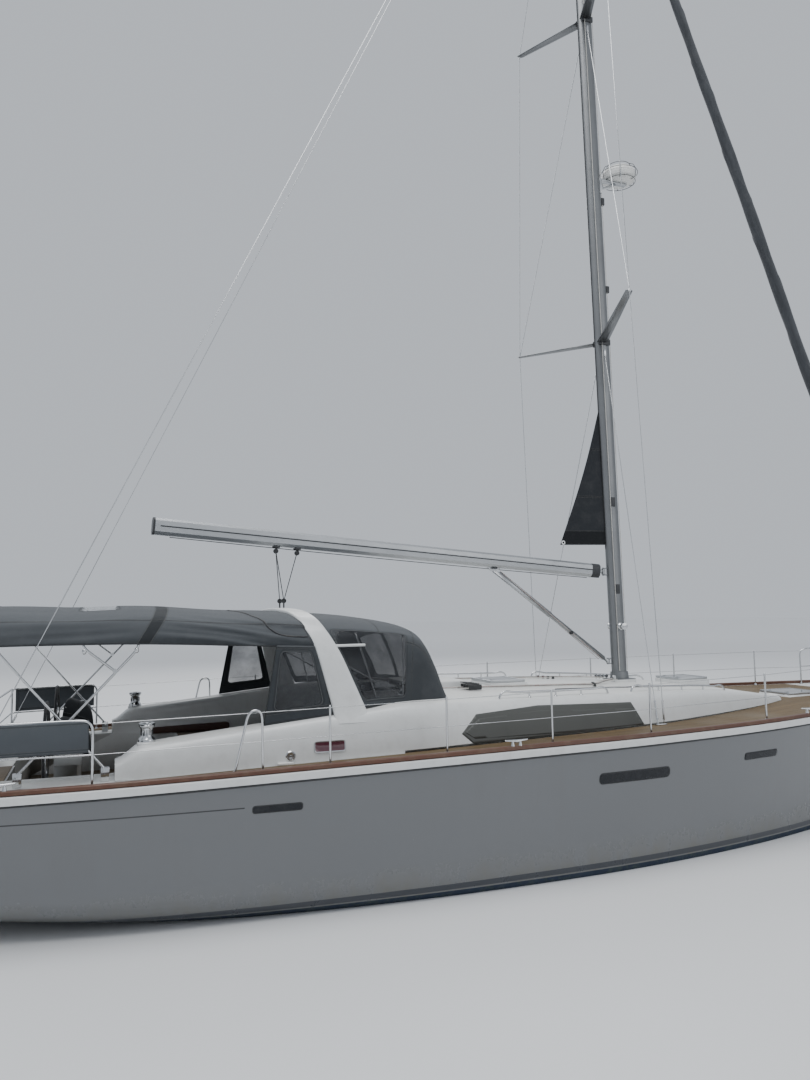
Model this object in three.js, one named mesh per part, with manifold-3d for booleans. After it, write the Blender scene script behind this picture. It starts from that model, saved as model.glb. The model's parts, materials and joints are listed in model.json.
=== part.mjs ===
// A cruising sailing yacht, hull 15 m long, afloat. Millimetres, +X to the bow, +Y to port, +Z up.
// The origin is on the waterline, amidships. Starboard pieces mirror the port ones.
import * as THREE from "three";
import { mergeVertices } from "three/addons/utils/BufferGeometryUtils.js";
import Module from "manifold-3d";

const wasm = await Module();
wasm.setup();

// Driving dimensions
const GAP = 0.3; // between faces that touch
const RUN = 0.5; // between a turning piece and what carries it
const GUNWALE_WIDE = 75;
const GUNWALE_HIGH = 98;
const DECK_THICK = 40;
const TEAK_THICK = 10;
const SOLE_Z = 950;
const WELL_AFT = -7400;
const WELL_FORE = -3080;
const WELL_HALF = 1500;
const BENCH_AFT = -5250;
const BENCH_TOP = 1390;
const BENCH_INNER = 720;
const HELM_SEAT_TOP = 1430;
const COAMING_AFT = -6060;
const HATCHWAY_HALF = 350;
const HATCHWAY_FORE = -2400;
const PLATFORM_HALF = 1000;
const PLATFORM_LOW = 260;
const MAST_X = 1000;
const MAST_FOOT_Z = 1975;
const MAST_TOP_Z = 17900;
const MAST_LONG = 122; // half fore and aft
const MAST_WIDE = 76; // half across
const RAKE = THREE.MathUtils.degToRad(1.24);
const GOOSENECK_Z = 3560;
const PIN_AFT = 62; // goose neck pin's centre behind the mast's aft face
const BOOM_LENGTH = 6480;
const BOOM_LIFT = THREE.MathUtils.degToRad(4.3);
const BOOM_SWING = THREE.MathUtils.degToRad(-5.5); // to starboard, as moored
const STAY_TACK_X = 6980;
const STAY_TACK_Z = 1790;
const STAY_TOP_Z = 17360;
const SHROUD_X = 520;
const SHROUD_Y = 1640;
const WIRE_R = 6;
const WHEEL_X = -6730;
const WHEEL_Y = 1010;
const WHEEL_Z = 1700;
const WHEEL_R = 430;
const RUDDER_X = -6500;
const LEG_X = -1900;
const SHAFT_Z = -860;

// Hull lines, with columns x, keel line z, bilge half breadth, bilge z, deck half breadth, sheer z
const HULL_LINES = [
  [-7500, 60, 1800, 430, 2100, 1360],
  [-6000, -130, 2050, 340, 2270, 1385],
  [-4000, -330, 2190, 270, 2370, 1425],
  [-2000, -470, 2230, 230, 2390, 1455],
  [0, -530, 2150, 210, 2350, 1480],
  [2000, -500, 1860, 210, 2140, 1508],
  [4000, -390, 1330, 240, 1660, 1545],
  [5500, -270, 800, 310, 1110, 1580],
  [6600, -150, 360, 430, 600, 1610],
  [7200, 40, 130, 640, 250, 1630],
  [7420, 520, 64, 960, 115, 1637],
  [7500, 1250, 38, 1420, 66, 1640],
];
const STATIONS = [
  -7500, -6900, -6300, -5600, -4800, -4000, -3080, -2200, -1200, -200, 800, 1700, 2600, 3400, 4200, 4900,
  5500, 6050, 6500, 6850, 7100, 7270, 7400, 7470, 7500,
];
const BOTTOM_STEPS = 7;
const TOPSIDE_STEPS = 3;

// Coachroof lines, with columns x, base half breadth, top z
const ROOF_LINES = [
  [-3080, 1900, 2010],
  [-2200, 1840, 2010],
  [-1000, 1740, 1995],
  [0, 1630, 1975],
  [900, 1470, 1945],
  [1700, 1240, 1895],
  [2400, 1010, 1820],
  [3000, 770, 1730],
  [3560, 480, 1640],
];
// The roof's section, with columns half breadth and height, as shares of the base and the rise
const ROOF_SECTION = [
  [1, 0],
  [0.965, 0.52],
  [0.925, 0.82],
  [0.86, 0.93],
  [0.7, 0.97],
  [0.35, 0.993],
];

// Window panes in the roof's sides, with x and z of each corner
const SIDE_WINDOW = [
  [-2330, 1650],
  [-2120, 1790],
  [-1300, 1830],
  [120, 1765],
  [235, 1560],
  [-900, 1545],
  [-2200, 1570],
];
const HULL_WINDOWS = [
  { name: "hull_window", x0: -900, x1: 100, z0: 1040, z1: 1170 },
];

// Lids on deck, hinged at their fore edge, with x and z of the plinth and half breadth
const LIDS = [
  { name: "foredeck_hatch", x0: 3900, x1: 4500, half: 300, z: 1620, on: "deck" },
  { name: "saloon_hatch", x0: -1250, x1: -750, half: 300, z: 2030, on: "roof" },
  { name: "cabin_hatch", x0: 1850, x1: 2350, half: 260, z: 1935, on: "roof" },
];
const LID_THICK = 32;

// Winches, with x, y and the drum's foot z
const WINCHES = [
  { name: "primary_winch", x: -5760, y: 1700, high: 190, r: 85 },
  { name: "cabin_winch", x: -2780, y: 1050, high: 150, r: 68 },
];

// Spreaders, with the root's z, their length and how far their tips rise
const SPREADERS = [
  { name: "lower_spreader", z: 7040, length: 1640, rise: 190 },
  { name: "upper_spreader", z: 12210, length: 1340, rise: 150 },
];
const SWEEP = THREE.MathUtils.degToRad(20.5);

const PAINT = {
  hull: [0x9a9c9e, 0.35, 0],
  white: [0xe8e8e4, 0.4, 0],
  teak: [0xa87f4e, 0.75, 0],
  glass: [0x3c4145, 0.12, 0],
  dark: [0x26282a, 0.6, 0],
  cloth: [0x4a4d50, 0.95, 0],
  steel: [0xc4c7c9, 0.2, 1],
  alloy: [0xb4b7b8, 0.35, 0.9],
  bottom: [0x22303f, 0.8, 0],
  bronze: [0xa8834a, 0.35, 1],
};

const V = (x, y, z) => new THREE.Vector3(x, y, z);

// Reads a column of a table at x, by a cubic through its rows.
function lineAt(table, x, column) {
  const last = table.length - 1;
  let i = 0;
  while (i < last - 1 && x > table[i + 1][0]) i += 1;
  const slope = (k) => {
    const lo = Math.max(0, k - 1);
    const hi = Math.min(last, k + 1);
    return (table[hi][column] - table[lo][column]) / (table[hi][0] - table[lo][0]);
  };
  const [a, b] = [table[i], table[i + 1]];
  const span = b[0] - a[0];
  const t = Math.min(1, Math.max(0, (x - a[0]) / span));
  const fromA = (2 * t ** 3 - 3 * t ** 2 + 1) * a[column] + (t ** 3 - 2 * t ** 2 + t) * span * slope(i);
  const fromB = (3 * t ** 2 - 2 * t ** 3) * b[column] + (t ** 3 - t ** 2) * span * slope(i + 1);
  return fromA + fromB;
}

// The same column, straight between the hull's stations as the solid is.
function stationAt(x, column) {
  let i = 0;
  while (i < STATIONS.length - 2 && x > STATIONS[i + 1]) i += 1;
  const [a, b] = [STATIONS[i], STATIONS[i + 1]];
  const t = (x - a) / (b - a);
  return (1 - t) * lineAt(HULL_LINES, a, column) + t * lineAt(HULL_LINES, b, column);
}
const deckHalf = (x) => stationAt(x, 4);
const sheerZ = (x) => stationAt(x, 5);
const deckTop = (x) => sheerZ(x) + GAP + DECK_THICK;
const teakTop = (x) => deckTop(x) + GAP + TEAK_THICK;
const mastX = (z) => MAST_X - (z - MAST_FOOT_Z) * Math.tan(RAKE);
const between = (x0, x1) => [x0, ...STATIONS.filter((x) => x > x0 + 1 && x < x1 - 1), x1];

// Solids

function solidOf(geometry) {
  const bare = geometry.index ? geometry.toNonIndexed() : geometry.clone();
  for (const name of Object.keys(bare.attributes)) if (name !== "position") bare.deleteAttribute(name);
  const merged = mergeVertices(bare, 1e-3);
  const triVerts = new Uint32Array(merged.index.array);
  const vertProperties = merged.attributes.position.array;
  const make = () => new wasm.Manifold(new wasm.Mesh({ numProp: 3, vertProperties, triVerts }));
  const made = make();
  if (made.volume() > 0) return made;
  for (let i = 0; i < triVerts.length; i += 3) {
    [triVerts[i + 1], triVerts[i + 2]] = [triVerts[i + 2], triVerts[i + 1]];
  }
  return make();
}

function geometryOf(solid) {
  const mesh = solid.getMesh();
  const position = new Float32Array(mesh.numVert * 3);
  for (let i = 0; i < mesh.numVert; i += 1) {
    position.set(mesh.vertProperties.subarray(i * mesh.numProp, i * mesh.numProp + 3), i * 3);
  }
  const geometry = new THREE.BufferGeometry();
  geometry.setAttribute("position", new THREE.BufferAttribute(position, 3));
  geometry.setIndex(new THREE.BufferAttribute(new Uint32Array(mesh.triVerts), 1));
  geometry.computeVertexNormals();
  return geometry;
}

const joined = (solids) => solids.reduce((a, b) => a.add(b));
const mirrored = (solid) => solid.mirror([0, 1, 0]);

function indexed(points, index) {
  const geometry = new THREE.BufferGeometry();
  geometry.setAttribute("position", new THREE.Float32BufferAttribute(points.flatMap((p) => p.toArray()), 3));
  geometry.setIndex(index);
  return solidOf(geometry);
}

function box(x0, x1, y0, y1, z0, z1) {
  const g = new THREE.BoxGeometry(x1 - x0, y1 - y0, z1 - z0);
  return solidOf(g.translate((x0 + x1) / 2, (y0 + y1) / 2, (z0 + z1) / 2));
}

// A closed skin over rings of points that each can be seen whole from their middle.
function skin(rings) {
  const n = rings[0].length;
  const points = rings.flat();
  const index = [];
  for (let i = 0; i < rings.length - 1; i += 1) {
    for (let j = 0; j < n; j += 1) {
      const k = (j + 1) % n;
      const [a, b, c, d] = [i * n + j, i * n + k, (i + 1) * n + k, (i + 1) * n + j];
      index.push(a, b, c, a, c, d);
    }
  }
  const middle = (ring) => ring.reduce((s, p) => s.add(p), V(0, 0, 0)).divideScalar(n);
  const last = (rings.length - 1) * n;
  points.push(middle(rings[0]), middle(rings[rings.length - 1]));
  for (let j = 0; j < n; j += 1) {
    const k = (j + 1) % n;
    index.push(points.length - 2, k, j);
    index.push(points.length - 1, last + j, last + k);
  }
  return indexed(points, index);
}

// A closed skin between an upper and a lower grid of points, alike in rows and columns.
function slab(upper, lower) {
  const rows = upper.length;
  const cols = upper[0].length;
  const points = [...upper.flat(), ...lower.flat()];
  const up = (i, j) => i * cols + j;
  const down = (i, j) => rows * cols + i * cols + j;
  const index = [];
  const quad = (a, b, c, d) => index.push(a, b, c, a, c, d);
  for (let i = 0; i < rows - 1; i += 1) {
    for (let j = 0; j < cols - 1; j += 1) {
      quad(up(i, j), up(i + 1, j), up(i + 1, j + 1), up(i, j + 1));
      quad(down(i, j), down(i, j + 1), down(i + 1, j + 1), down(i + 1, j));
    }
    quad(up(i, 0), down(i, 0), down(i + 1, 0), up(i + 1, 0));
    quad(up(i + 1, cols - 1), down(i + 1, cols - 1), down(i, cols - 1), up(i, cols - 1));
  }
  for (let j = 0; j < cols - 1; j += 1) {
    quad(up(0, j + 1), down(0, j + 1), down(0, j), up(0, j));
    quad(up(rows - 1, j), down(rows - 1, j), down(rows - 1, j + 1), up(rows - 1, j + 1));
  }
  return indexed(points, index);
}

// A flat outline in x and z, thick in y.
function plateXZ(corners, y0, y1) {
  const shape = new THREE.Shape(corners.map(([x, z]) => new THREE.Vector2(x, z)));
  const g = new THREE.ExtrudeGeometry(shape, { depth: y1 - y0, bevelEnabled: false, steps: 1 });
  return solidOf(g.rotateX(Math.PI / 2).translate(0, y1, 0));
}

// An outline grown by the same width all round.
function widened(corners, by) {
  const n = corners.length;
  const turn = THREE.ShapeUtils.area(corners.map(([x, z]) => new THREE.Vector2(x, z))) > 0 ? 1 : -1;
  const normal = ([ax, az], [bx, bz]) => {
    const length = Math.hypot(bx - ax, bz - az);
    return [(turn * (bz - az)) / length, (-turn * (bx - ax)) / length];
  };
  return corners.map((p, i) => {
    const [u, v] = [normal(corners[(i + n - 1) % n], p), normal(p, corners[(i + 1) % n])];
    const share = by / (1 + u[0] * v[0] + u[1] * v[1]);
    return [p[0] + share * (u[0] + v[0]), p[1] + share * (u[1] + v[1])];
  });
}

// A flat outline in x and y, thick in z.
function plateXY(corners, z0, z1) {
  const shape = new THREE.Shape(corners.map(([x, y]) => new THREE.Vector2(x, y)));
  const g = new THREE.ExtrudeGeometry(shape, { depth: z1 - z0, bevelEnabled: false, steps: 1 });
  return solidOf(g.translate(0, 0, z0));
}

function turnTo(solid, from, to) {
  const d = to.clone().sub(from).normalize();
  const turn = new THREE.Quaternion().setFromUnitVectors(V(0, 0, 1), d);
  const m = new THREE.Matrix4().makeRotationFromQuaternion(turn);
  m.setPosition(from);
  return solid.transform(m.elements);
}

// A round bar from one point to another.
function bar(from, to, r0, r1 = r0, sides = 8) {
  const g = new THREE.CylinderGeometry(r1, r0, 1, sides, 1).rotateX(Math.PI / 2).translate(0, 0, 0.5);
  return turnTo(solidOf(g).scale([1, 1, from.distanceTo(to)]), from, to);
}

// A line of points with each corner rounded.
class Rail extends THREE.Curve {
  constructor(points, bend, fine) {
    super();
    this.knots = [points[0]];
    for (let i = 1; i < points.length - 1; i += 1) {
      const [a, b, c] = [points[i - 1], points[i], points[i + 1]];
      const into = b.clone().add(a.clone().sub(b).setLength(bend));
      const out = b.clone().add(c.clone().sub(b).setLength(bend));
      const curve = new THREE.QuadraticBezierCurve3(into, b, out);
      this.knots.push(...(fine > 0 ? curve.getPoints(fine) : [b]));
    }
    this.knots.push(points[points.length - 1]);
  }
  get steps() {
    return this.knots.length - 1;
  }
  getPoint(t) {
    const k = t * this.steps;
    const i = Math.min(this.steps - 1, Math.floor(k));
    return this.knots[i].clone().lerp(this.knots[i + 1], k - i);
  }
  getPointAt(u) {
    return this.getPoint(u);
  }
  getTangentAt(u) {
    const i = Math.round(u * this.steps);
    const [a, b] = [Math.max(0, i - 1), Math.min(this.steps, i + 1)];
    return this.knots[b].clone().sub(this.knots[a]).normalize();
  }
}

// A round tube through points, with its corners bent.
function tube(points, r, bend = 80, sides = 6, fine = 3) {
  const rail = new Rail(points, bend, fine);
  const ring = [];
  for (let i = 0; i < sides; i += 1) {
    const a = (2 * Math.PI * i) / sides;
    ring.push(new THREE.Vector2(r * Math.cos(a), r * Math.sin(a)));
  }
  const options = { steps: rail.steps, bevelEnabled: false, extrudePath: rail };
  return solidOf(new THREE.ExtrudeGeometry(new THREE.Shape(ring), options));
}

// A round piece turned about its own upright axis, from columns radius and height.
function turned(profile, x, y, z, sides = 16) {
  const points = profile.map(([r, h]) => new THREE.Vector2(r, h));
  return solidOf(new THREE.LatheGeometry(points, sides).rotateX(Math.PI / 2)).translate([x, y, z]);
}

// Pieces

const parts = [];
function add(name, solid, paint) {
  parts.push({ name, solid, paint });
}
function addPair(name, port, paint) {
  add(`${name}_port`, port, paint);
  add(`${name}_starboard`, mirrored(port), paint);
}

function hullRing(x, out) {
  const [keel, bilge, bilgeZ, deck, sheer] = [1, 2, 3, 4, 5].map((column) => lineAt(HULL_LINES, x, column));
  const half = [];
  for (let i = 0; i <= BOTTOM_STEPS; i += 1) {
    const t = ((i / BOTTOM_STEPS) * Math.PI) / 2;
    const share = [Math.sin(t) ** 0.86, Math.max(0, Math.cos(t)) ** 0.86];
    half.push([(bilge + out) * share[0], bilgeZ - (bilgeZ - keel + out) * share[1]]);
  }
  for (let i = 1; i <= TOPSIDE_STEPS; i += 1) {
    const t = i / TOPSIDE_STEPS;
    half.push([bilge + out + (deck - bilge) * t ** 1.3, bilgeZ + (sheer - bilgeZ) * t]);
  }
  const port = half.slice(1).reverse();
  return [...port, half[0], ...half.slice(1).map(([y, z]) => [-y, z])].map(([y, z]) => V(x, y, z));
}
const hullSolid = (out) => skin(STATIONS.map((x) => hullRing(x, out)));

function roofRing(x, out) {
  const [half, top] = [1, 2].map((column) => lineAt(ROOF_LINES, x, column));
  const foot = deckTop(x) + GAP;
  const port = ROOF_SECTION.map(([b, h]) => [half * b + out, foot + (top - foot) * h + (h > 0 ? out : 0)]);
  const ring = [...port, [0, top + out], ...port.map(([y, z]) => [-y, z]).reverse()];
  return ring.map(([y, z]) => V(x, y, z));
}
const ROOF_STATIONS = [...between(ROOF_LINES[0][0], 3400), 3560];
const roofSolid = (out) => skin(ROOF_STATIONS.map((x) => roofRing(x, out)));

const wellCut = joined([
  box(WELL_AFT, WELL_FORE, -WELL_HALF, WELL_HALF, SOLE_Z, 2200),
  box(WELL_FORE - 5, HATCHWAY_FORE, -HATCHWAY_HALF, HATCHWAY_HALF, SOLE_Z, 2200),
  box(-7600, WELL_AFT + 5, -PLATFORM_HALF - 5, PLATFORM_HALF + 5, PLATFORM_LOW - 5, 2200),
]);

const mastRing = (z, out) => {
  const ring = [];
  for (let i = 0; i < 14; i += 1) {
    const a = (2 * Math.PI * (i + 0.5)) / 14;
    const taper = z > 15000 ? 1 - (0.35 * (z - 15000)) / (MAST_TOP_Z - 15000) : 1;
    const [long, wide] = [MAST_LONG * taper + out, MAST_WIDE * taper + out];
    ring.push(V(mastX(z) + long * Math.cos(a), wide * Math.sin(a), z));
  }
  return ring;
};
const mastSolid = (out) => skin([MAST_FOOT_Z, 15000, MAST_TOP_Z].map((z) => mastRing(z, out)));

// Hull, keel, rudder and drive

const STOCK_R = 60;
const STOCK_SIDES = 24;
const stockHoleR = (STOCK_R + GAP) / Math.cos(Math.PI / STOCK_SIDES);
const stockHole = bar(V(RUDDER_X, 0, -600), V(RUDDER_X, 0, 905), stockHoleR, stockHoleR, STOCK_SIDES);
const PLATFORM_PIN = V(-7511, 0, 248);
const barY = (c, y0, y1, r) => bar(V(c.x, y0, c.z), V(c.x, y1, c.z), r, r, 12);
const platformEars = [-760, 760].flatMap((y) => [
  barY(PLATFORM_PIN, y + 30 + RUN, y + 60, 9),
  box(-7518, -7490, y + 30 + RUN, y + 60, 190, 245),
  barY(PLATFORM_PIN, y - 60, y - 30 - RUN, 9),
  box(-7518, -7490, y - 60, y - 30 - RUN, 190, 245),
]);

let hull = joined([hullSolid(0).subtract(wellCut), ...platformEars]);
const hullGlass = HULL_WINDOWS.map(({ name, x0, x1, z0, z1 }) => {
  const r = (z1 - z0) / 2;
  const outline = (g) => [
    [x0 - g, z0 + r * 0.6],
    [x0 + r - g * 0.4, z0 - g],
    [x1 - r + g * 0.4, z0 - g],
    [x1 + g, z0 + r * 0.6],
    [x1 + g, z1 - r * 0.6],
    [x1 - r + g * 0.4, z1 + g],
    [x0 + r - g * 0.4, z1 + g],
    [x0 - g, z1 - r * 0.6],
  ];
  const pane = plateXZ(outline(0), 1000, 2600).intersect(hullSolid(3)).subtract(hullSolid(-5));
  const pocket = plateXZ(outline(GAP), 1000, 2600).subtract(hullSolid(-5 - GAP));
  hull = hull.subtract(pocket).subtract(mirrored(pocket));
  return { name, pane };
});
add("hull", hull.subtract(stockHole), "hull");
for (const { name, pane } of hullGlass) addPair(name, pane, "glass");

// A blade section in x and y, with its nose forward: chord length, thickness, nose x and z.
function foil(nose, chord, thick, z) {
  const half = [
    [0, 0],
    [0.04, 0.26],
    [0.16, 0.44],
    [0.36, 0.5],
    [0.66, 0.3],
    [1, 0.02],
  ];
  const port = half.map(([a, b]) => V(nose - a * chord, b * thick, z));
  const starboard = half.slice(1).reverse().map(([a, b]) => V(nose - a * chord, -b * thick, z));
  return [...port, ...starboard];
}

const finTop = -480;
const fin = skin([foil(850, 1750, 210, finTop), foil(760, 1500, 190, -900), foil(560, 1150, 150, -1900)]);
const bulb = skin(
  [
    [-1150, 30, 25],
    [-900, 120, 80],
    [-300, 215, 130],
    [400, 230, 140],
    [900, 160, 110],
    [1120, 50, 40],
  ].map(([x, wide, high]) => {
    const ring = [];
    for (let i = 0; i < 12; i += 1) {
      const a = (2 * Math.PI * (i + 0.5)) / 12;
      ring.push(V(x, wide * Math.cos(a), -1960 + high * Math.sin(a)));
    }
    return ring;
  }),
);
const flatBase = box(-1300, 1300, -400, 400, -2400, -2060);
add("keel", joined([fin, bulb]).subtract(flatBase).subtract(hullSolid(GAP)), "bottom");

const blade = skin([
  foil(RUDDER_X + 150, 560, 120, -130),
  foil(RUDDER_X + 140, 540, 110, -700),
  foil(RUDDER_X + 90, 420, 80, -1700),
]);
const stock = bar(V(RUDDER_X, 0, -400), V(RUDDER_X, 0, 900), STOCK_R, STOCK_R, STOCK_SIDES);
add("rudder", joined([blade, stock]), "bottom");

const leg = joined([
  skin([foil(LEG_X + 170, 330, 120, -350), foil(LEG_X + 150, 300, 100, SHAFT_Z + 40)]),
  bar(V(LEG_X + 170, 0, SHAFT_Z), V(LEG_X + 40, 0, SHAFT_Z), 25, 66, 14),
  bar(V(LEG_X + 40, 0, SHAFT_Z), V(LEG_X - 190, 0, SHAFT_Z), 66, 60, 14),
  plateXZ(
    [
      [LEG_X + 120, SHAFT_Z],
      [LEG_X - 60, SHAFT_Z],
      [LEG_X - 60, SHAFT_Z - 190],
      [LEG_X - 20, SHAFT_Z - 190],
    ],
    -12,
    12,
  ),
]);
add("drive_leg", leg.subtract(hullSolid(GAP)), "dark");

const hub = bar(V(LEG_X - 190 - RUN, 0, SHAFT_Z), V(LEG_X - 320, 0, SHAFT_Z), 58, 30, 14);
const propBlade = slab(
  [
    [V(-30, -55, 30), V(20, 55, 30)],
    [V(-40, -85, 140), V(15, 80, 140)],
    [V(-20, -40, 235), V(5, 45, 235)],
  ],
  [
    [V(-42, -55, 30), V(8, 55, 30)],
    [V(-48, -85, 140), V(7, 80, 140)],
    [V(-25, -40, 235), V(0, 45, 235)],
  ],
);
const propeller = [0, 120, 240].map((a) => propBlade.rotate([a, 0, 0]).translate([LEG_X - 245, 0, SHAFT_Z]));
add("propeller", joined([hub, ...propeller]), "bronze");

const knuckles = [-760, 760].map((y) => barY(PLATFORM_PIN, y - 30, y + 30, 9));
const tabs = [-760, 760].flatMap((y) => [
  box(-7518, -7502, y - 30, y + 30, 248, 330),
  box(-7515, -7495, y - 30, y + 30, 264, 330),
]);
const platform = joined([
  box(-7500, -7405, -PLATFORM_HALF, PLATFORM_HALF, PLATFORM_LOW, 1352),
  ...knuckles,
  ...tabs,
]);
add("bathing_platform", platform, "white");

// Deck, teak and gunwale

const strip = (x0, x1, inner, outer, z0, z1) =>
  slab(
    between(x0, x1).map((x) => [V(x, inner(x), z1(x)), V(x, outer(x), z1(x))]),
    between(x0, x1).map((x) => [V(x, inner(x), z0(x)), V(x, outer(x), z0(x))]),
  );
const deckEdge = (x) => deckHalf(x) - GUNWALE_WIDE - GAP;
const deckPlate = strip(-7500, 7100, (x) => -deckHalf(x), deckHalf, (x) => sheerZ(x) + GAP, deckTop);
const gunwale = strip(
  -7500,
  7100,
  (x) => deckHalf(x) - GUNWALE_WIDE,
  (x) => deckHalf(x) + 6,
  (x) => sheerZ(x) + GAP,
  (x) => sheerZ(x) + GUNWALE_HIGH,
);
const forePlinth = LIDS.filter(({ on }) => on === "deck").map(({ x0, x1, half, z }) =>
  box(x0 - 20, x1 + 45, -half - 20, half + 20, sheerZ(x0) + 20, z),
);
const lockerX = [5250, 5950];
const lockerZ = 1635;
const lockerPlinth = box(lockerX[0] - 25, lockerX[1] + 45, -345, 345, sheerZ(lockerX[0]) + 20, lockerZ);
const deck = joined([deckPlate, gunwale, mirrored(gunwale), ...forePlinth, lockerPlinth]);
add("deck", deck.subtract(wellCut), "white");

const teakOuter = (x) => deckEdge(x) - 25;
const teakUnder = (x) => deckTop(x) + GAP;
const teakSide = (x0, x1, inner) => strip(x0, x1, inner, teakOuter, teakUnder, teakTop);
const teakAft = teakSide(-6900, ROOF_LINES[0][0], () => 1955);
const teakMid = teakSide(ROOF_LINES[0][0], 3592, (x) => roofEdge(Math.min(x, 3560)));
function roofEdge(x) {
  let i = 0;
  while (i < ROOF_STATIONS.length - 2 && x > ROOF_STATIONS[i + 1]) i += 1;
  const [a, b] = [ROOF_STATIONS[i], ROOF_STATIONS[i + 1]];
  const t = (x - a) / (b - a);
  return (1 - t) * lineAt(ROOF_LINES, a, 1) + t * lineAt(ROOF_LINES, b, 1) + 12;
}
const teakFore = teakSide(3574, 5220, () => -10);
const hatchGap = box(3860, 4565, -340, 340, 1400, 1800);
const teakHalf = joined([teakAft, teakMid, teakFore]);
add("teak_deck", joined([teakHalf, mirrored(teakHalf)]).subtract(hatchGap), "teak");

// What stands on deck is cut to the deck's or the teak's own slope.
const deckBelow = strip(-7500, 7100, (x) => -deckHalf(x), deckHalf, () => 900, (x) => deckTop(x) + GAP);
const teakBelow = joined([teakHalf.translate([0, 0, GAP]), teakHalf.translate([0, 0, -3])]);
const floorBelow = joined([deckBelow, teakBelow, mirrored(teakBelow)]);
const settled = (solid) => solid.subtract(floorBelow);

const winchFoot = ({ x, r }) => (x < WELL_FORE ? coamingTop(x + r) + 4 : lineAt(ROOF_LINES, x, 2) + 12);
const winchPad = (row) => {
  const top = V(row.x, row.y, winchFoot(row));
  return bar(V(row.x, row.y, top.z - 60), top, row.r + 12, row.r + 8, 18);
};

// Coachroof with the companionway

const DOOR_PIN = V(-3100, 362, 0);

const garage = box(HATCHWAY_FORE - 60, -1680, -470, 470, 1900, 2105);
const runway = box(ROOF_LINES[0][0], -1690, -430, 430, 1850, 2025);
const slideSlot = box(-3200, -1720, -412, 412, 2025, 2068);
let roof = joined([roofSolid(0), garage, runway]);
for (const { x0, x1, half, z } of LIDS.filter(({ on }) => on === "roof")) {
  roof = roof.add(box(x0 - 20, x1 + 45, -half - 20, half + 20, z - 160, z));
}
const cabinPad = winchPad(WINCHES[1]);
const doorPinAt = (z0, z1) => bar(V(DOOR_PIN.x, DOOR_PIN.y, z0), V(DOOR_PIN.x, DOOR_PIN.y, z1), 9, 9, 10);
const doorEars = [1640, 1930].flatMap((z) => [
  doorPinAt(z + RUN, z + 40),
  box(-3104, -3070, 354, 370, z + RUN, z + 40),
]);
const mastStep = box(MAST_X - 190, MAST_X + 190, -150, 150, 1850, MAST_FOOT_Z - GAP);
roof = joined([roof, mastStep, cabinPad, mirrored(cabinPad)]).subtract(slideSlot).subtract(wellCut);
roof = joined([roof, ...doorEars]);
const windowPane = plateXZ(SIDE_WINDOW, 1000, 2300).intersect(roofSolid(3)).subtract(roofSolid(-5));
const windowPocket = plateXZ(widened(SIDE_WINDOW, GAP), 1000, 2300).subtract(roofSolid(-5 - GAP));
roof = roof.subtract(windowPocket).subtract(mirrored(windowPocket));
add("coachroof", roof, "white");
addPair("side_window", windowPane, "glass");

add("companionway_hatch", box(-3078, -2412, -405, 405, 2025 + RUN, 2058), "glass");
const door = joined([
  box(-3098, WELL_FORE - RUN, -346, 344, 1010, 2020),
  ...[1560, 1850].flatMap((z) => [doorPinAt(z, z + 80), box(-3104, -3088, 335, 358, z + 5, z + 75)]),
]);
add("companionway_door", door, "glass");

// Lids

for (const { name, x0, x1, half, z } of LIDS) {
  const pane = box(x0, x1, -half, half, z + RUN, z + LID_THICK);
  const hinge = box(x1 - 5, x1 + 22, -60, 60, z + RUN, z + 24);
  add(name, joined([pane, hinge]), "glass");
}
const lockerLid = box(lockerX[0], lockerX[1], -320, 320, lockerZ + RUN, lockerZ + 36);
const lockerHinge = box(lockerX[1] - 5, lockerX[1] + 22, -80, 80, lockerZ + RUN, lockerZ + 24);
add("anchor_locker_lid", lockerLid.add(lockerHinge), "white");

// Cockpit

const coamingTop = (x) => 1724 + (286 * (x - COAMING_AFT)) / (WELL_FORE - COAMING_AFT);
const coamingRing = (x) => {
  const [foot, top] = [deckTop(x) + GAP, coamingTop(x)];
  const low = x < COAMING_AFT + 1 ? 60 : 0;
  return [
    V(x, WELL_HALF + 1, foot),
    V(x, 1915, foot),
    V(x, 1880, top - 90 - low),
    V(x, 1790, top - low),
    V(x, 1600, top - low),
    V(x, 1530, top - 60 - low),
  ];
};
const coamingStations = [COAMING_AFT, COAMING_AFT + 120, ...between(-5600, WELL_FORE - GAP)];
const wellSide = [WELL_HALF - 22, WELL_HALF - GAP];
const cockpitSide = joined([
  skin(coamingStations.map(coamingRing)),
  winchPad(WINCHES[0]),
  box(WELL_AFT + GAP, WELL_FORE - GAP, ...wellSide, SOLE_Z + GAP, 1440),
  box(COAMING_AFT + 20, WELL_FORE - GAP, WELL_HALF - 22, WELL_HALF + 60, 1430, 1600),
  box(BENCH_AFT, WELL_FORE - GAP, BENCH_INNER, WELL_HALF - GAP, SOLE_Z + GAP, BENCH_TOP),
  box(BENCH_AFT, WELL_FORE - GAP, BENCH_INNER - 30, WELL_HALF - GAP, BENCH_TOP - 50, BENCH_TOP),
  box(WELL_AFT + GAP, -7060, 560, WELL_HALF - GAP, SOLE_Z + GAP, HELM_SEAT_TOP),
]);
const underDeck = strip(-7400, WELL_FORE, () => WELL_HALF - GAP, () => 2100, () => 1200, teakUnder);
addPair("cockpit_side", cockpitSide.subtract(underDeck), "white");

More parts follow.
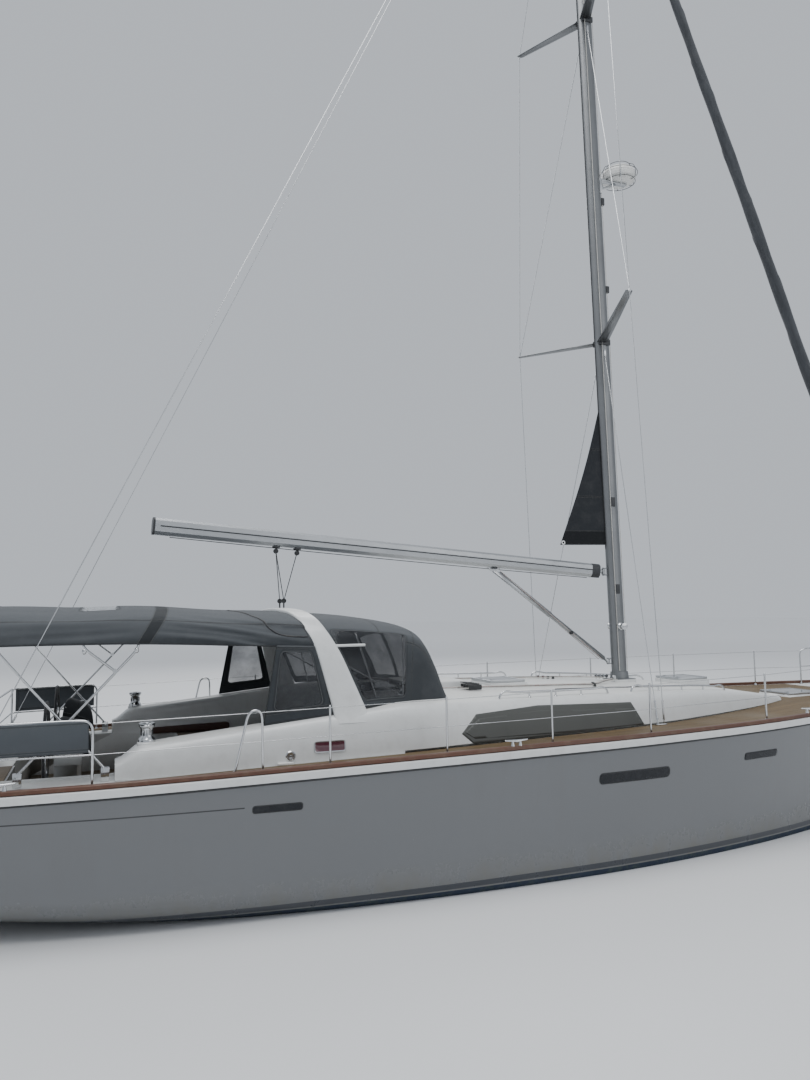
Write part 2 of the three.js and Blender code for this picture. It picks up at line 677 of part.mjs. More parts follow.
const soleOutline = [
  [WELL_AFT + 5, -555],
  [-7055, -555],
  [-7055, -1470],
  [BENCH_AFT - 5, -1470],
  [BENCH_AFT - 5, -BENCH_INNER + 5],
  [-3120, -BENCH_INNER + 5],
  [-3120, BENCH_INNER - 5],
  [BENCH_AFT - 5, BENCH_INNER - 5],
  [BENCH_AFT - 5, 1470],
  [-7055, 1470],
  [-7055, 555],
  [WELL_AFT + 5, 555],
];
const soleTop = SOLE_Z + GAP + TEAK_THICK;
add("cockpit_sole", plateXY(soleOutline, SOLE_Z + GAP, soleTop), "teak");

const hubFace = WHEEL_X + 45;
const pedestal = joined([
  box(hubFace + 40, hubFace + 260, WHEEL_Y - 130, WHEEL_Y + 130, soleTop + GAP, 1560),
  plateXZ(
    [
      [hubFace + 40, 1500],
      [hubFace + 300, 1500],
      [hubFace + 330, 1700],
      [hubFace + 60, 1890],
      [hubFace + 40, 1860],
    ],
    WHEEL_Y - 190,
    WHEEL_Y + 190,
  ),
  bar(V(hubFace, WHEEL_Y, WHEEL_Z), V(hubFace + 60, WHEEL_Y, WHEEL_Z), 40, 48, 16),
]);
addPair("helm_pedestal", pedestal, "white");

const rim = [];
for (let i = 0; i < 32; i += 1) {
  const a = (2 * Math.PI * i) / 32;
  rim.push([Math.cos(a), Math.sin(a)]);
}
const rimGrid = rim.map(([c, s]) =>
  [0, 1, 2, 3, 4, 5].map((k) => {
    const b = (Math.PI * k) / 3;
    const r = WHEEL_R + 14 * Math.cos(b);
    return V(WHEEL_X + 14 * Math.sin(b), WHEEL_Y + r * c, WHEEL_Z + r * s);
  }),
);
const rimIndex = [];
for (let i = 0; i < 32; i += 1) {
  for (let k = 0; k < 6; k += 1) {
    const [a, b] = [i * 6 + k, i * 6 + ((k + 1) % 6)];
    const [c, d] = [((i + 1) % 32) * 6 + ((k + 1) % 6), ((i + 1) % 32) * 6 + k];
    rimIndex.push(a, b, c, a, c, d);
  }
}
const spokes = [18, 90, 162, 234, 306].map((deg) => {
  const a = THREE.MathUtils.degToRad(deg);
  const end = V(WHEEL_X, WHEEL_Y + WHEEL_R * Math.cos(a), WHEEL_Z + WHEEL_R * Math.sin(a));
  return bar(V(WHEEL_X, WHEEL_Y, WHEEL_Z), end, 9, 9, 6);
});
const wheelHub = bar(V(WHEEL_X - 22, WHEEL_Y, WHEEL_Z), V(hubFace - RUN, WHEEL_Y, WHEEL_Z), 42, 34, 16);
addPair("wheel", joined([indexed(rimGrid.flat(), rimIndex), ...spokes, wheelHub]), "steel");

// Arch, dodger and bimini

const ARCH = [
  [-3680, 1790, 1990, 175, 32, 0.12],
  [-3760, 1755, 2250, 160, 32, 0.18],
  [-3880, 1690, 2600, 130, 32, 0.3],
  [-4000, 1560, 2855, 115, 32, 0.75],
  [-4060, 1340, 2985, 108, 32, 1.15],
  [-4085, 900, 3055, 105, 32, 1.42],
  [-4095, 0, 3085, 104, 32, 1.5708],
];
const archRing = ([x, y, z, long, thin, lean], side) => {
  const [ny, nz] = [Math.cos(lean), Math.sin(lean)];
  const ring = [
    [-1, -0.45],
    [-0.8, -1],
    [0.8, -1],
    [1, -0.45],
    [1, 0.45],
    [0.8, 1],
    [-0.8, 1],
    [-1, 0.45],
  ].map(([a, b]) => V(x + a * long, side * (y + b * thin * ny), z + b * thin * nz));
  return ring;
};
const archPort = ARCH.map((row) => archRing(row, 1));
const archStarboard = ARCH.slice(0, -1)
  .reverse()
  .map((row) => archRing(row, -1));
const archFootBox = (out) => box(-3870 - out, -3490 + out, 1740 - out, 1860 + out, 1860, 2010 + out);
const archFoot = archFootBox(0);
const coamingTops = (out) => {
  const ring = (x) => coamingRing(x).map((p) => V(p.x, p.y, p.z + out));
  return skin([-4800, -4000, WELL_FORE - GAP + out].map(ring));
};
const archRail = bar(V(-4240, 1672, 2660), V(-3450, 1672, 2660), 16, 16, 8);
const archBand = skin([...archPort, ...archStarboard]);
let arch = joined([archBand, ...[archFoot, archRail].flatMap((port) => [port, mirrored(port)])]);
const archClear = coamingTops(GAP);
arch = arch.subtract(archClear).subtract(mirrored(archClear));
add("arch", arch, "white");

// A cloth hood from lines across the boat, each given as x, y and z of its port half from edge to middle.
const CLOTH = 6;
function hood(lines) {
  const across = (line) => [...line, ...line.slice(0, -1).reverse().map(([x, y, z]) => [x, -y, z])];
  const outer = lines.map((line) => across(line).map(([x, y, z]) => V(x, y, z)));
  const normalAt = (i, j) => {
    const inside = (k, list) => Math.min(list.length - 1, Math.max(0, k));
    const pick = (a, b) => outer[inside(a, outer)][inside(b, outer[0])];
    const along = pick(i + 1, j).clone().sub(pick(i - 1, j));
    const over = pick(i, j + 1).clone().sub(pick(i, j - 1));
    const n = along.cross(over).normalize();
    return n.z + Math.abs(n.y) * 0.01 < 0 ? n.negate() : n;
  };
  const inner = outer.map((row, i) =>
    row.map((p, j) => {
      const n = normalAt(i, j);
      const out = n.dot(V(0, p.y, p.z - 1900)) < 0 ? n.negate() : n;
      return p.clone().sub(out.multiplyScalar(CLOTH));
    }),
  );
  return slab(outer, inner);
}

// The dodger's lines, from the foot of its side to its middle
const dodgerLines = [
  [
    [-2310, 1420, 1900], [-2330, 1370, 1960], [-2300, 1150, 1970],
    [-2280, 800, 1980], [-2265, 300, 1990], [-2265, 0, 1990],
  ],
  [
    [-2580, 1500, 1900], [-2520, 1400, 2320], [-2440, 1200, 2385],
    [-2410, 850, 2425], [-2398, 300, 2443], [-2396, 0, 2443],
  ],
  [
    [-2860, 1600, 1900], [-2760, 1450, 2605], [-2690, 1230, 2740],
    [-2650, 880, 2795], [-2636, 300, 2818], [-2634, 0, 2821],
  ],
  [
    [-3200, 1720, 1900], [-3300, 1560, 2670], [-3300, 1350, 2855],
    [-3300, 900, 2942], [-3300, 300, 2974], [-3300, 0, 2978],
  ],
  [
    [-3560, 1800, 1900], [-3860, 1640, 2690], [-3950, 1390, 2912],
    [-3968, 900, 3018], [-3968, 300, 3046], [-3968, 0, 3050],
  ],
];
const archGrown = () => {
  const grow = ([x, y, z, long, thin, lean]) => [x, y, z, long + GAP, thin + GAP, lean];
  const port = ARCH.map((row) => archRing(grow(row), 1));
  const rest = ARCH.slice(0, -1).reverse().map((row) => archRing(grow(row), -1));
  const feet = [archFootBox(GAP), mirrored(archFootBox(GAP))];
  return joined([skin([...port, ...rest]), ...feet]);
};
const hatchClear = box(-2500, -1600, -470 - GAP, 470 + GAP, 1990, 2105 + GAP);
const dodgerClear = joined([archGrown(), roofSolid(GAP), hatchClear, archClear, mirrored(archClear)]);
add("dodger", hood(dodgerLines).subtract(dodgerClear), "cloth");

// The bimini's lines, with x, how far the line is raised and how far its edges draw in
const BIMINI = [
  [-7300, 60, 0],
  [-6600, 63, 0],
  [-5700, 48, 5],
  [-4900, 20, 25],
  [-4170, -12, 75],
];
const BIMINI_EDGE = [1790, 2690];
const biminiLines = BIMINI.map(([x, up, inward]) => [
  [x, BIMINI_EDGE[0] - inward, BIMINI_EDGE[1] + up],
  [x, 1760 - inward, 2790 + up],
  [x, 1600 - inward, 2950 + up],
  [x, 1200, 3030 + up],
  [x, 600, 3070 + up],
  [x, 0, 3085 + up],
]);
add("bimini", hood(biminiLines).subtract(archGrown()), "cloth");

// A curtain on each side closes the corner between the bimini's edge, the arch and the coaming.
const curtainTop = (x) => {
  const [[x0, up0, in0], [x1, up1, in1]] = BIMINI.slice(-2);
  const t = (x - x0) / (x1 - x0);
  return V(x, BIMINI_EDGE[0] - in0 - (in1 - in0) * t, BIMINI_EDGE[1] + up0 + (up1 - up0) * t - GAP);
};
const curtainGrid = (out) =>
  [
    [V(-4600, 1792, 1810), curtainTop(-4450)],
    [V(-3800, 1792, 1870), curtainTop(-4020)],
  ].map((row) => row.map((p) => V(p.x, p.y + out, p.z)));
const curtain = slab(curtainGrid(0), curtainGrid(-CLOTH));
const underEdge = hood(biminiLines).translate([0, 0, -GAP]);
const curtainClear = joined([archGrown(), mirrored(archGrown()), archClear, underEdge, mirrored(underEdge)]);
addPair("side_curtain", curtain.subtract(curtainClear), "cloth");

const hoopLine = (x, lift) => {
  const half = [
    [1776, 2680 + lift],
    [1740, 2790 + lift],
    [1590, 2930 + lift],
    [1200, 3010 + lift],
    [600, 3050 + lift],
  ].map(([y, z]) => V(x, y, z));
  return [...half, V(x, 0, 3065 + lift), ...half.map((p) => V(p.x, -p.y, p.z)).reverse()];
};
const hoop = (x, lift, footX, footZ) => {
  const line = hoopLine(x, lift);
  return tube([V(footX, 1800, footZ), ...line, V(footX, -1800, footZ)], 12, 60, 6, 0);
};
const deckFoot = (x, side) => box(x - 40, x + 40, side * 1800 - 22, side * 1800 + 22, 1380, 1560);
const frame = joined([
  hoop(-7150, 48, -6150, 1540),
  hoop(-5850, 24, -6930, 1540),
  ...[-6150, -6930].flatMap((x) => [deckFoot(x, 1), deckFoot(x, -1)]),
]);
add("bimini_frame", settled(frame.subtract(hood(biminiLines).translate([0, 0, -GAP]))), "steel");

// Rails

const RAIL_R = 12;
const teakOr = (x) => (x > -6900 && x < 5220 ? teakTop(x) : deckTop(x));
const railY = (x) => deckEdge(x) - 70;
const railFoot = (x) => V(x, railY(x), teakOr(x) + GAP);
const STANCHIONS = [-4680, -4000, -2720, -1440, -100, 1800, 3300, 4700];
const stanchion = (x) => {
  const foot = railFoot(x);
  return joined([
    bar(foot, V(foot.x, foot.y, foot.z + 600), RAIL_R, RAIL_R, 6),
    bar(V(foot.x, foot.y, foot.z - 30), V(foot.x, foot.y, foot.z + 30), 34, 26, 8),
  ]);
};
const GATE_FOOT = -4960;
const gateLine = [
  [STANCHIONS[0], -20],
  [STANCHIONS[0] - 10, 610],
  [STANCHIONS[0] - 140, 610],
  [GATE_FOOT, -20],
].map(([x, high]) => V(x, railY(x), teakOr(x) + GAP + high));
const padAt = (x, up) => railFoot(x).add(V(0, 0, up));
const gatePad = (x) => bar(padAt(x, -30), padAt(x, 30), 34, 26, 8);
const gate = joined([tube(gateLine, RAIL_R, 100, 6, 3), gatePad(STANCHIONS[0]), gatePad(GATE_FOOT)]);
const WIRES = [585, 300];
const wireEnd = [-6250, 5450];
const wires = WIRES.map((high) => {
  const xs = [wireEnd[0], ...STANCHIONS, wireEnd[1]];
  const line = xs.map((x) => V(x, railY(x), teakOr(x) + GAP + high));
  return line.slice(1).map((p, i) => bar(line[i], p, 4, 4, 4));
});
const stanchions = STANCHIONS.slice(1).map(stanchion);
addPair("lifelines", settled(joined([gate, ...stanchions, ...wires.flat()])), "steel");

const at = (x, inset, high) => V(x, deckEdge(x) - inset, deckTop(x) + GAP + high);
const quarter = (high) => V(-7375, 640, deckTop(-7400) + high);
const pushpit = joined([
  tube([at(-6264, 70, -30), at(-6264, 70, 630), at(-7340, 70, 640), quarter(640)], RAIL_R, 110),
  tube([at(-6264, 70, 310), at(-7340, 70, 320), quarter(320)], 9, 110),
  bar(at(-7340, 110, -30), at(-7340, 110, 650), RAIL_R),
  bar(quarter(-60), quarter(650), RAIL_R),
]);
const seatBelow = box(WELL_AFT - 1, -7059, 559, WELL_HALF, SOLE_Z, HELM_SEAT_TOP + GAP);
addPair("pushpit", settled(pushpit).subtract(seatBelow), "steel");

const bowAt = (x, high) => V(x, deckEdge(x) - 40, deckTop(x) + GAP + high);
const noseTop = (x, y, high) => V(x, y, deckTop(7000) + GAP + high);
const pulpitSide = joined([
  tube([bowAt(5470, -30), bowAt(5470, 620), bowAt(6500, 640), noseTop(7290, 230, 650)], RAIL_R, 120),
  tube([bowAt(5470, 310), bowAt(6500, 330), noseTop(7150, 260, 340)], 9, 120),
  bar(bowAt(6500, -30), bowAt(6500, 640), RAIL_R),
  bar(bowAt(7000, -30), noseTop(7290, 230, 650), RAIL_R),
]);
addPair("pulpit", settled(pulpitSide), "steel");

// Bow gear

const tack = V(STAY_TACK_X, 0, STAY_TACK_Z);
const stayTop = V(mastX(STAY_TOP_Z) + 145, 0, STAY_TOP_Z);
const stayDir = stayTop.clone().sub(tack).normalize();
const onStay = (s) => tack.clone().add(stayDir.clone().multiplyScalar(s));
const stayLength = tack.distanceTo(stayTop);

const stemOuter = (x) => deckHalf(x) + 6;
const rollerCheek = [
  [6900, 1684],
  [7440, 1684],
  [7700, 1640],
  [7720, 1740],
  [7400, 1760],
  [6900, 1745],
];
const stemHead = joined([
  strip(7100 + GAP, 7500, (x) => -stemOuter(x), stemOuter, (x) => sheerZ(x) + GAP, () => 1700),
  plateXZ(rollerCheek, -75, -65),
  plateXZ(rollerCheek, 65, 75),
  box(6900, 7440, -75, 75, 1684, 1692),
  bar(V(7665, -70, 1690), V(7665, 70, 1690), 10, 10, 8),
  bar(V(7665, -60, 1690), V(7665, 60, 1690), 32, 32, 12),
  box(STAY_TACK_X - 30, STAY_TACK_X + 30, -70, 70, 1690, 1735),
  bar(onStay(-70), onStay(60 - RUN), 20, 20, 10),
]);
add("bow_fitting", stemHead, "steel");

const shank = [
  [7080, 1732],
  [7090, 1772],
  [7700, 1770],
  [7880, 1600],
  [7860, 1450],
  [7800, 1440],
  [7810, 1590],
  [7680, 1727],
];
const anchor = joined([
  plateXZ(shank, -11, 11),
  skin([
    [V(7960, -20, 1330), V(7960, 20, 1330), V(7950, 20, 1350), V(7950, -20, 1350)],
    [V(7800, -190, 1440), V(7800, 190, 1440), V(7790, 190, 1462), V(7790, -190, 1462)],
    [V(7650, -215, 1400), V(7650, 215, 1400), V(7640, 215, 1422), V(7640, -215, 1422)],
  ]),
  bar(V(7830, -12, 1450), V(7830, 12, 1450), 40, 40, 8),
]);
add("anchor", anchor.translate([0, 0, -4.8]), "steel");

const windlassZ = deckTop(6250) + GAP;
const gypsy = [
  [0, 0],
  [70, 0],
  [70, 60],
  [50, 80],
  [50, 140],
  [72, 165],
  [72, 200],
  [0, 205],
];
const windlass = joined([
  box(6150, 6400, -95, 95, windlassZ - 40, windlassZ + 60),
  turned(gypsy, 6280, 0, windlassZ + 50, 14),
]);
add("windlass", settled(windlass), "steel");

// Winches

for (const row of WINCHES) {
  const { name, x, y, high, r } = row;
  const foot = winchFoot(row) + RUN;
  const drum = turned(
    [
      [0, 0],
      [r, 0],
      [r, high * 0.16],
      [r * 0.72, high * 0.3],
      [r * 0.7, high * 0.7],
      [r * 0.95, high * 0.82],
      [r * 0.95, high * 0.92],
      [r * 0.5, high],
      [0, high],
    ],
    x,
    y,
    foot,
    18,
  );
  addPair(name, drum, "steel");
}

// Mast and what stands on it

const mastAft = (z) => mastX(z) - MAST_LONG;
const pinX = (z) => mastAft(GOOSENECK_Z) - PIN_AFT - (z - GOOSENECK_Z) * Math.tan(RAKE);
const VANG_Z = 2240;
const lug = (z) => box(pinX(z) - 16, mastX(z) - 60, -15, 15, z - 8, z + 8);
const pinSet = (z, half) =>
  joined([
    lug(z - half - 9 - RUN),
    lug(z + half + 9 + RUN),
    bar(V(pinX(z - half - 15), 0, z - half - 15), V(pinX(z + half + 15), 0, z + half + 15), 12, 12, 16),
  ]);
const crane = box(mastX(17880) - 230, mastX(17880) + 130, -30, 30, 17820, 17900);
const stayTang = box(mastX(STAY_TOP_Z), mastX(STAY_TOP_Z) + 125, -14, 14, STAY_TOP_Z - 40, STAY_TOP_Z + 40);
const radomeX = mastX(9820) + 480;
const armWeb = [
  [mastX(9500) + 80, 9460],
  [mastX(9500) + 130, 9460],
  [radomeX - 40, 9640],
  [mastX(9640) + 80, 9640],
];
const radomeArm = joined([
  box(mastX(9640) + 60, radomeX + 120, -40, 40, 9628, 9660 - GAP),
  plateXZ(armWeb, -6, 6),
]);
const mast = joined([mastSolid(0), pinSet(GOOSENECK_Z, 40), pinSet(VANG_Z, 25), crane, stayTang, radomeArm]);
add("mast", mast, "alloy");

const mastSkin = mastSolid(GAP);
const spreaderTips = SPREADERS.map(({ name, z, length, rise }) => {
  const root = mastX(z);
  const [dx, dy] = [-Math.sin(SWEEP), Math.cos(SWEEP)];
  const wing = (s, w, h) => {
    const [x, y, up] = [root + s * dx * length, s * dy * length, z + s * rise];
    return [
      V(x + w, y, up),
      V(x + w * 0.4, y, up + h),
      V(x - w * 0.6, y, up + h * 0.7),
      V(x - w, y, up),
      V(x - w * 0.6, y, up - h * 0.7),
      V(x + w * 0.4, y, up - h),
    ];
  };
  const wings = skin([wing(0, 95, 22), wing(0.5, 78, 18), wing(1, 55, 12)]);
  addPair(name, wings.subtract(mastSkin), "dark");
  return V(root + dx * length, dy * length, z + rise);
});

const chain = V(SHROUD_X, SHROUD_Y, deckTop(SHROUD_X));
const outside = (tip) => V(tip.x, tip.y + WIRE_R + 1, tip.z);
const capTop = V(mastX(17100), 30, 17100);
const shroudPath = [
  V(chain.x, chain.y, chain.z + GAP + TEAK_THICK),
  outside(spreaderTips[0]),
  outside(spreaderTips[1]),
  capTop,
];
const lowerTop = V(mastX(6880), 30, 6880);
const middleTop = V(mastX(12050), 30, 12050);
const shrouds = joined([
  ...shroudPath.slice(1).map((p, i) => bar(shroudPath[i], p, WIRE_R, WIRE_R, 6)),
  bar(shroudPath[0].clone().add(V(-70, -30, 0)), lowerTop, WIRE_R, WIRE_R, 6),
  bar(outside(spreaderTips[0]), middleTop, WIRE_R - 1, WIRE_R - 1, 6),
  box(chain.x - 110, chain.x + 40, chain.y - 45, chain.y + 15, chain.z - 20, chain.z + 40),
]);
const spreaderClear = parts.filter(({ name }) => name.includes("spreader") && name.endsWith("port"));
let shroudSet = shrouds.subtract(mastSkin);
for (const { solid } of spreaderClear) shroudSet = shroudSet.subtract(solid);
addPair("shrouds", settled(shroudSet), "steel");

const backTop = V(mastX(17860) - 215, 12, 17860);
const backFoot = V(-7420, 1990, deckTop(-7420) + GAP);
const backScrew = backFoot.clone().lerp(backTop, 350 / backFoot.distanceTo(backTop));
const backstay = joined([bar(backFoot, backTop, WIRE_R, WIRE_R, 6), bar(backFoot, backScrew, 12, 12, 8)]);
const craneClear = box(mastX(17880) - 230 - GAP, mastX(17880) + 131, -30 - GAP, 30 + GAP, 17820 - GAP, 17901);
addPair("backstay", settled(backstay.subtract(craneClear)), "steel");

const radome = turned(
  [
    [0, 0],
    [200, 0],
    [262, 50],
    [268, 110],
    [235, 190],
    [120, 240],
    [0, 250],
  ],
  radomeX,
  0,
  9660,
  22,
);
add("radome", radome, "white");

const slot = (z) => mastAft(z) + 20;
const clew = plateXZ([[60, 3950], [slot(3950), 3960], [slot(6080), 6080]], -4, 4);
add("mainsail_clew", clew.subtract(mastSkin), "cloth");

// Boom and vang, turning on the mast's pins and swung out

const onPin = (z) => V(pinX(z), 0, z);
const alongPin = (z, half, r) => bar(onPin(z - half), onPin(z + half), r, r, 16);
const boomX = pinX(GOOSENECK_Z);
const [liftCos, liftSin] = [Math.cos(BOOM_LIFT), Math.sin(BOOM_LIFT)];
const boomAt = (s, y, up) =>
  V(boomX - s * liftCos + up * liftSin, y, GOOSENECK_Z + s * liftSin + up * liftCos);
const BOOM_SECTION = [
  [0.45, 1],
  [0.9, 0.72],
  [1, 0.2],
  [0.86, -0.6],
  [0.4, -1],
];
const boomRing = (s, wide, high) => {
  const half = BOOM_SECTION.map(([a, b]) => [a * wide, b * high]);
  const all = [...half, ...half.map(([y, up]) => [-y, up]).reverse()];
  return all.map(([y, up]) => boomAt(s, y, up));
};
const boomBody = skin([boomRing(130, 66, 98), boomRing(BOOM_LENGTH, 66, 98)]);
const boomTang = skin([boomRing(16, 12, 20), boomRing(150, 24, 34)]);
const vangPadS = 1900;
const padRing = (half, up) =>
  [
    [-half, -9],
    [-half, 9],
    [half, 9],
    [half, -9],
  ].map(([along, y]) => boomAt(vangPadS + along, y, up));
const vangPad = skin([padRing(130, -90), padRing(30, -150)]);
const boomEye = alongPin(GOOSENECK_Z, 40, 30);
const boom = joined([boomEye, boomTang, boomBody, vangPad]).subtract(alongPin(GOOSENECK_Z, 99, 12 + RUN));
const vangLow = V(pinX(VANG_Z) - 85, 0, VANG_Z + 50);
const vangHigh = boomAt(vangPadS, 0, -120);
const vangMid = vangLow.clone().lerp(vangHigh, 0.5);
const vang = joined([
  alongPin(VANG_Z, 25, 28),
  bar(vangLow, vangMid, 34, 34, 12),
  bar(vangMid, vangHigh, 42, 42, 12),
  bar(V(pinX(VANG_Z) - 20, 0, VANG_Z), vangLow, 16, 20, 8),
]).subtract(alongPin(VANG_Z, 99, 12 + RUN));
const abovePad = skin(
  [vangPadS - 500, vangPadS + 500].map((along) => [
    boomAt(along, -200, -150 - GAP),
    boomAt(along, 200, -150 - GAP),
    boomAt(along, 200, 200),
    boomAt(along, -200, 200),
  ]),
);
const hinge = new THREE.Matrix4().makeTranslation(boomX, 0, GOOSENECK_Z);
hinge.multiply(new THREE.Matrix4().makeRotationAxis(V(-Math.sin(RAKE), 0, Math.cos(RAKE)), -BOOM_SWING));
hinge.multiply(new THREE.Matrix4().makeTranslation(-boomX, 0, -GOOSENECK_Z));
const swung = (solid) => solid.transform(hinge.elements);
add("boom", swung(boom), "alloy");
add("vang", swung(vang.subtract(abovePad)), "alloy");

// Headsail rolled on its stay, with the drum that turns with it

const sailRadii = [
  [420, 40],
  [700, 76],
  [2200, 92],
  [6500, 88],
  [11000, 70],
  [14600, 46],
  [15200, 20],
];
const rolled = skin(
  sailRadii.map(([s, r]) => {
    const ring = [];
    const c = onStay(s);
    const side = V(0, 1, 0);
    const fore = side.clone().cross(stayDir);
    for (let i = 0; i < 12; i += 1) {
      const a = (2 * Math.PI * i) / 12;
      const across = side.clone().multiplyScalar(r * Math.cos(a));
      const ahead = fore.clone().multiplyScalar(r * Math.sin(a));
      ring.push(c.clone().add(across).add(ahead));
    }
    return ring;
  }),
);
const foilTube = bar(onStay(250 + GAP), onStay(stayLength - 120), 16, 16, 8);
add("rolled_headsail", joined([rolled, foilTube]), "cloth");
const drumProfile = [
  [0, 60],
  [105, 60],
  [105, 72],
  [60, 78],
  [60, 190],
  [105, 196],
  [105, 208],
  [30, 215],
  [26, 250],
  [0, 250],
];
const drum = turned(drumProfile, 0, 0, 0, 18);
add("furler_drum", turnTo(drum, tack, stayTop), "dark");
const group = new THREE.Group();
for (const { name, solid, paint } of parts) {
  const [color, roughness, metalness] = PAINT[paint];
  const finish = new THREE.MeshStandardMaterial({ color, roughness, metalness });
  const mesh = new THREE.Mesh(geometryOf(solid), finish);
  mesh.name = name;
  group.add(mesh);
}
export default group;
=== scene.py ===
"""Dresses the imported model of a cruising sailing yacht: finishes, canvas, deck gear, rigging and stage."""

import json
import math

import bmesh
import bpy
from mathutils import Matrix, Vector
from mathutils.noise import noise as noise_value

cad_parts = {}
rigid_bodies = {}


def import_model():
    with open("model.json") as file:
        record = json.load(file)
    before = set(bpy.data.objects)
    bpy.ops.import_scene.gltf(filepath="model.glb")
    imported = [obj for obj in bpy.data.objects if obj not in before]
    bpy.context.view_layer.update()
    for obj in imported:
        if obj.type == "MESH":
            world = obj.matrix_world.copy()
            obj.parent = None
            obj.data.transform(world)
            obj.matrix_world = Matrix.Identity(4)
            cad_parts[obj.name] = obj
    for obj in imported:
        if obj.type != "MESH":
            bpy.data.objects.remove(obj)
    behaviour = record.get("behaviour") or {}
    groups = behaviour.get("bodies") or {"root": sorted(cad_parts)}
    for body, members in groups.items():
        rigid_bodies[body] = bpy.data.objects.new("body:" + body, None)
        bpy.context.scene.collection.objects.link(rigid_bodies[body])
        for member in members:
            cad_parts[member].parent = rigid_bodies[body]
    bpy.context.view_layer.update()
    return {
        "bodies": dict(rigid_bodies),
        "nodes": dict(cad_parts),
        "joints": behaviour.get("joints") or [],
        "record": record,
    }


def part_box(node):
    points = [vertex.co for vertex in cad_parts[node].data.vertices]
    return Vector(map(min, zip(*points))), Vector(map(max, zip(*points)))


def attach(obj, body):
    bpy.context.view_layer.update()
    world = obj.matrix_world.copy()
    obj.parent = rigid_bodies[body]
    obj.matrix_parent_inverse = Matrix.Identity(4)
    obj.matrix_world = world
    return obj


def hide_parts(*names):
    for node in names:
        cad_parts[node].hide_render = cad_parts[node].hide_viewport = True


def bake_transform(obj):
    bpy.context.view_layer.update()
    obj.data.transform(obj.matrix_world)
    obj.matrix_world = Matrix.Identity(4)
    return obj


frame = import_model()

bl_info = {
    "name": "Sailing yacht dressing",
    "version": (1, 0, 0),
    "blender": (4, 5, 0),
    "location": "3D View > Sidebar > Yacht",
    "description": "Builds the finishes, canvas, deck gear and rigging of a cruising sailing yacht",
    "category": "Object",
}

BOAT = "yacht"
STEEL, WHITE, BLACK = "polished stainless", "white gelcoat", "black moulding"


def node(name):
    return frame["nodes"][name]


def corners(name):
    """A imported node's low corner and high corner."""
    return [Vector(p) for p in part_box(name)]


def upward(height):
    return Vector((0, 0, height))


# Sizes that the pieces share, in metres

MAST_FOOT = Vector((1.0, 0, 1.975))
MAST_RAKE = math.radians(1.24)
PIN_X = 0.7817
GOOSENECK_Z = 3.56
BOOM_LIFT = math.radians(4.3)
BOOM_SWING = math.radians(5.5)
STAY_TACK = Vector((6.98, 0, 1.79))
STAY_TOP = Vector((0.812, 0, 17.36))
GUNWALE_HIGH = 0.098
HULL_LENGTH = 15.0
DECK_RISE = 0.0506  # the teak's top above the sheer
RAIL_INSET = 0.145  # the stanchions' distance from the deck's edge
RAIL_RADIUS, LOW_RAIL_RADIUS = 0.0125, 0.0095
STAY_RADIUS, LIFELINE_RADIUS = 0.0055, 0.0035
COACHROOF_AFT, COACHROOF_LENGTH = -3.08, 6.64
COAMING_LENGTH = 2.98
PANE_THICKNESS = 0.006
HULL_ROWS = (  # x, bilge half breadth, bilge z, deck half breadth, sheer z, keel line z
    (-7.50, 1.800, 0.430, 2.100, 1.360, 0.06),
    (-6.00, 2.050, 0.340, 2.270, 1.385, -0.13),
    (-4.00, 2.190, 0.270, 2.370, 1.425, -0.33),
    (-2.00, 2.230, 0.230, 2.390, 1.455, -0.47),
    (0.00, 2.150, 0.210, 2.350, 1.480, -0.53),
    (2.00, 1.860, 0.210, 2.140, 1.508, -0.50),
    (4.00, 1.330, 0.240, 1.660, 1.545, -0.39),
    (5.50, 0.800, 0.310, 1.110, 1.580, -0.27),
    (6.60, 0.360, 0.430, 0.600, 1.610, -0.15),
    (7.20, 0.130, 0.640, 0.250, 1.630, 0.04),
    (7.42, 0.064, 0.960, 0.115, 1.637, 0.52),
    (7.50, 0.038, 1.420, 0.066, 1.640, 1.25),
)
ROOF_SECTION = (  # half breadth and height, as shares of the coachroof's
    (1.0, 0.0),
    (0.965, 0.52),
    (0.925, 0.82),
    (0.86, 0.93),
    (0.7, 0.97),
    (0.35, 0.993),
    (0.0, 1.0),
)
COAMING_SECTION = (  # half breadth, and height as a share, where the coachroof meets the coamings
    (1.915, 0.0),
    (1.897, 0.52),
    (1.872, 0.84),
    (1.800, 0.975),
    (1.620, 1.0),
    (0.800, 1.0),
    (0.0, 1.0),
)
COAMING_AFT = -6.06
ROOF_ROWS = (  # x, base half breadth, top z
    (-3.08, 1.900, 2.010),
    (-2.2, 1.840, 2.010),
    (-1.0, 1.740, 1.995),
    (0.0, 1.630, 1.975),
    (0.9, 1.470, 1.945),
    (1.7, 1.240, 1.895),
    (2.4, 1.010, 1.820),
    (3.0, 0.770, 1.730),
    (3.56, 0.480, 1.640),
)


def row_at(rows, x, column):
    """Reads a column of rows at x, along a smooth curve through them."""
    last = len(rows) - 1
    i = 0
    while i < last - 1 and x > rows[i + 1][0]:
        i += 1

    def slope(k):
        lo, hi = max(0, k - 1), min(last, k + 1)
        return (rows[hi][column] - rows[lo][column]) / (rows[hi][0] - rows[lo][0])

    a, b = rows[i], rows[i + 1]
    span = b[0] - a[0]
    t = min(1.0, max(0.0, (x - a[0]) / span))
    start = (2 * t**3 - 3 * t**2 + 1) * a[column] + (t**3 - 2 * t**2 + t) * span * slope(i)
    end = (3 * t**2 - 2 * t**3) * b[column] + (t**3 - t**2) * span * slope(i + 1)
    return start + end


def deck_half(x):
    return row_at(HULL_ROWS, x, 3)


def sheer_z(x):
    return row_at(HULL_ROWS, x, 4)


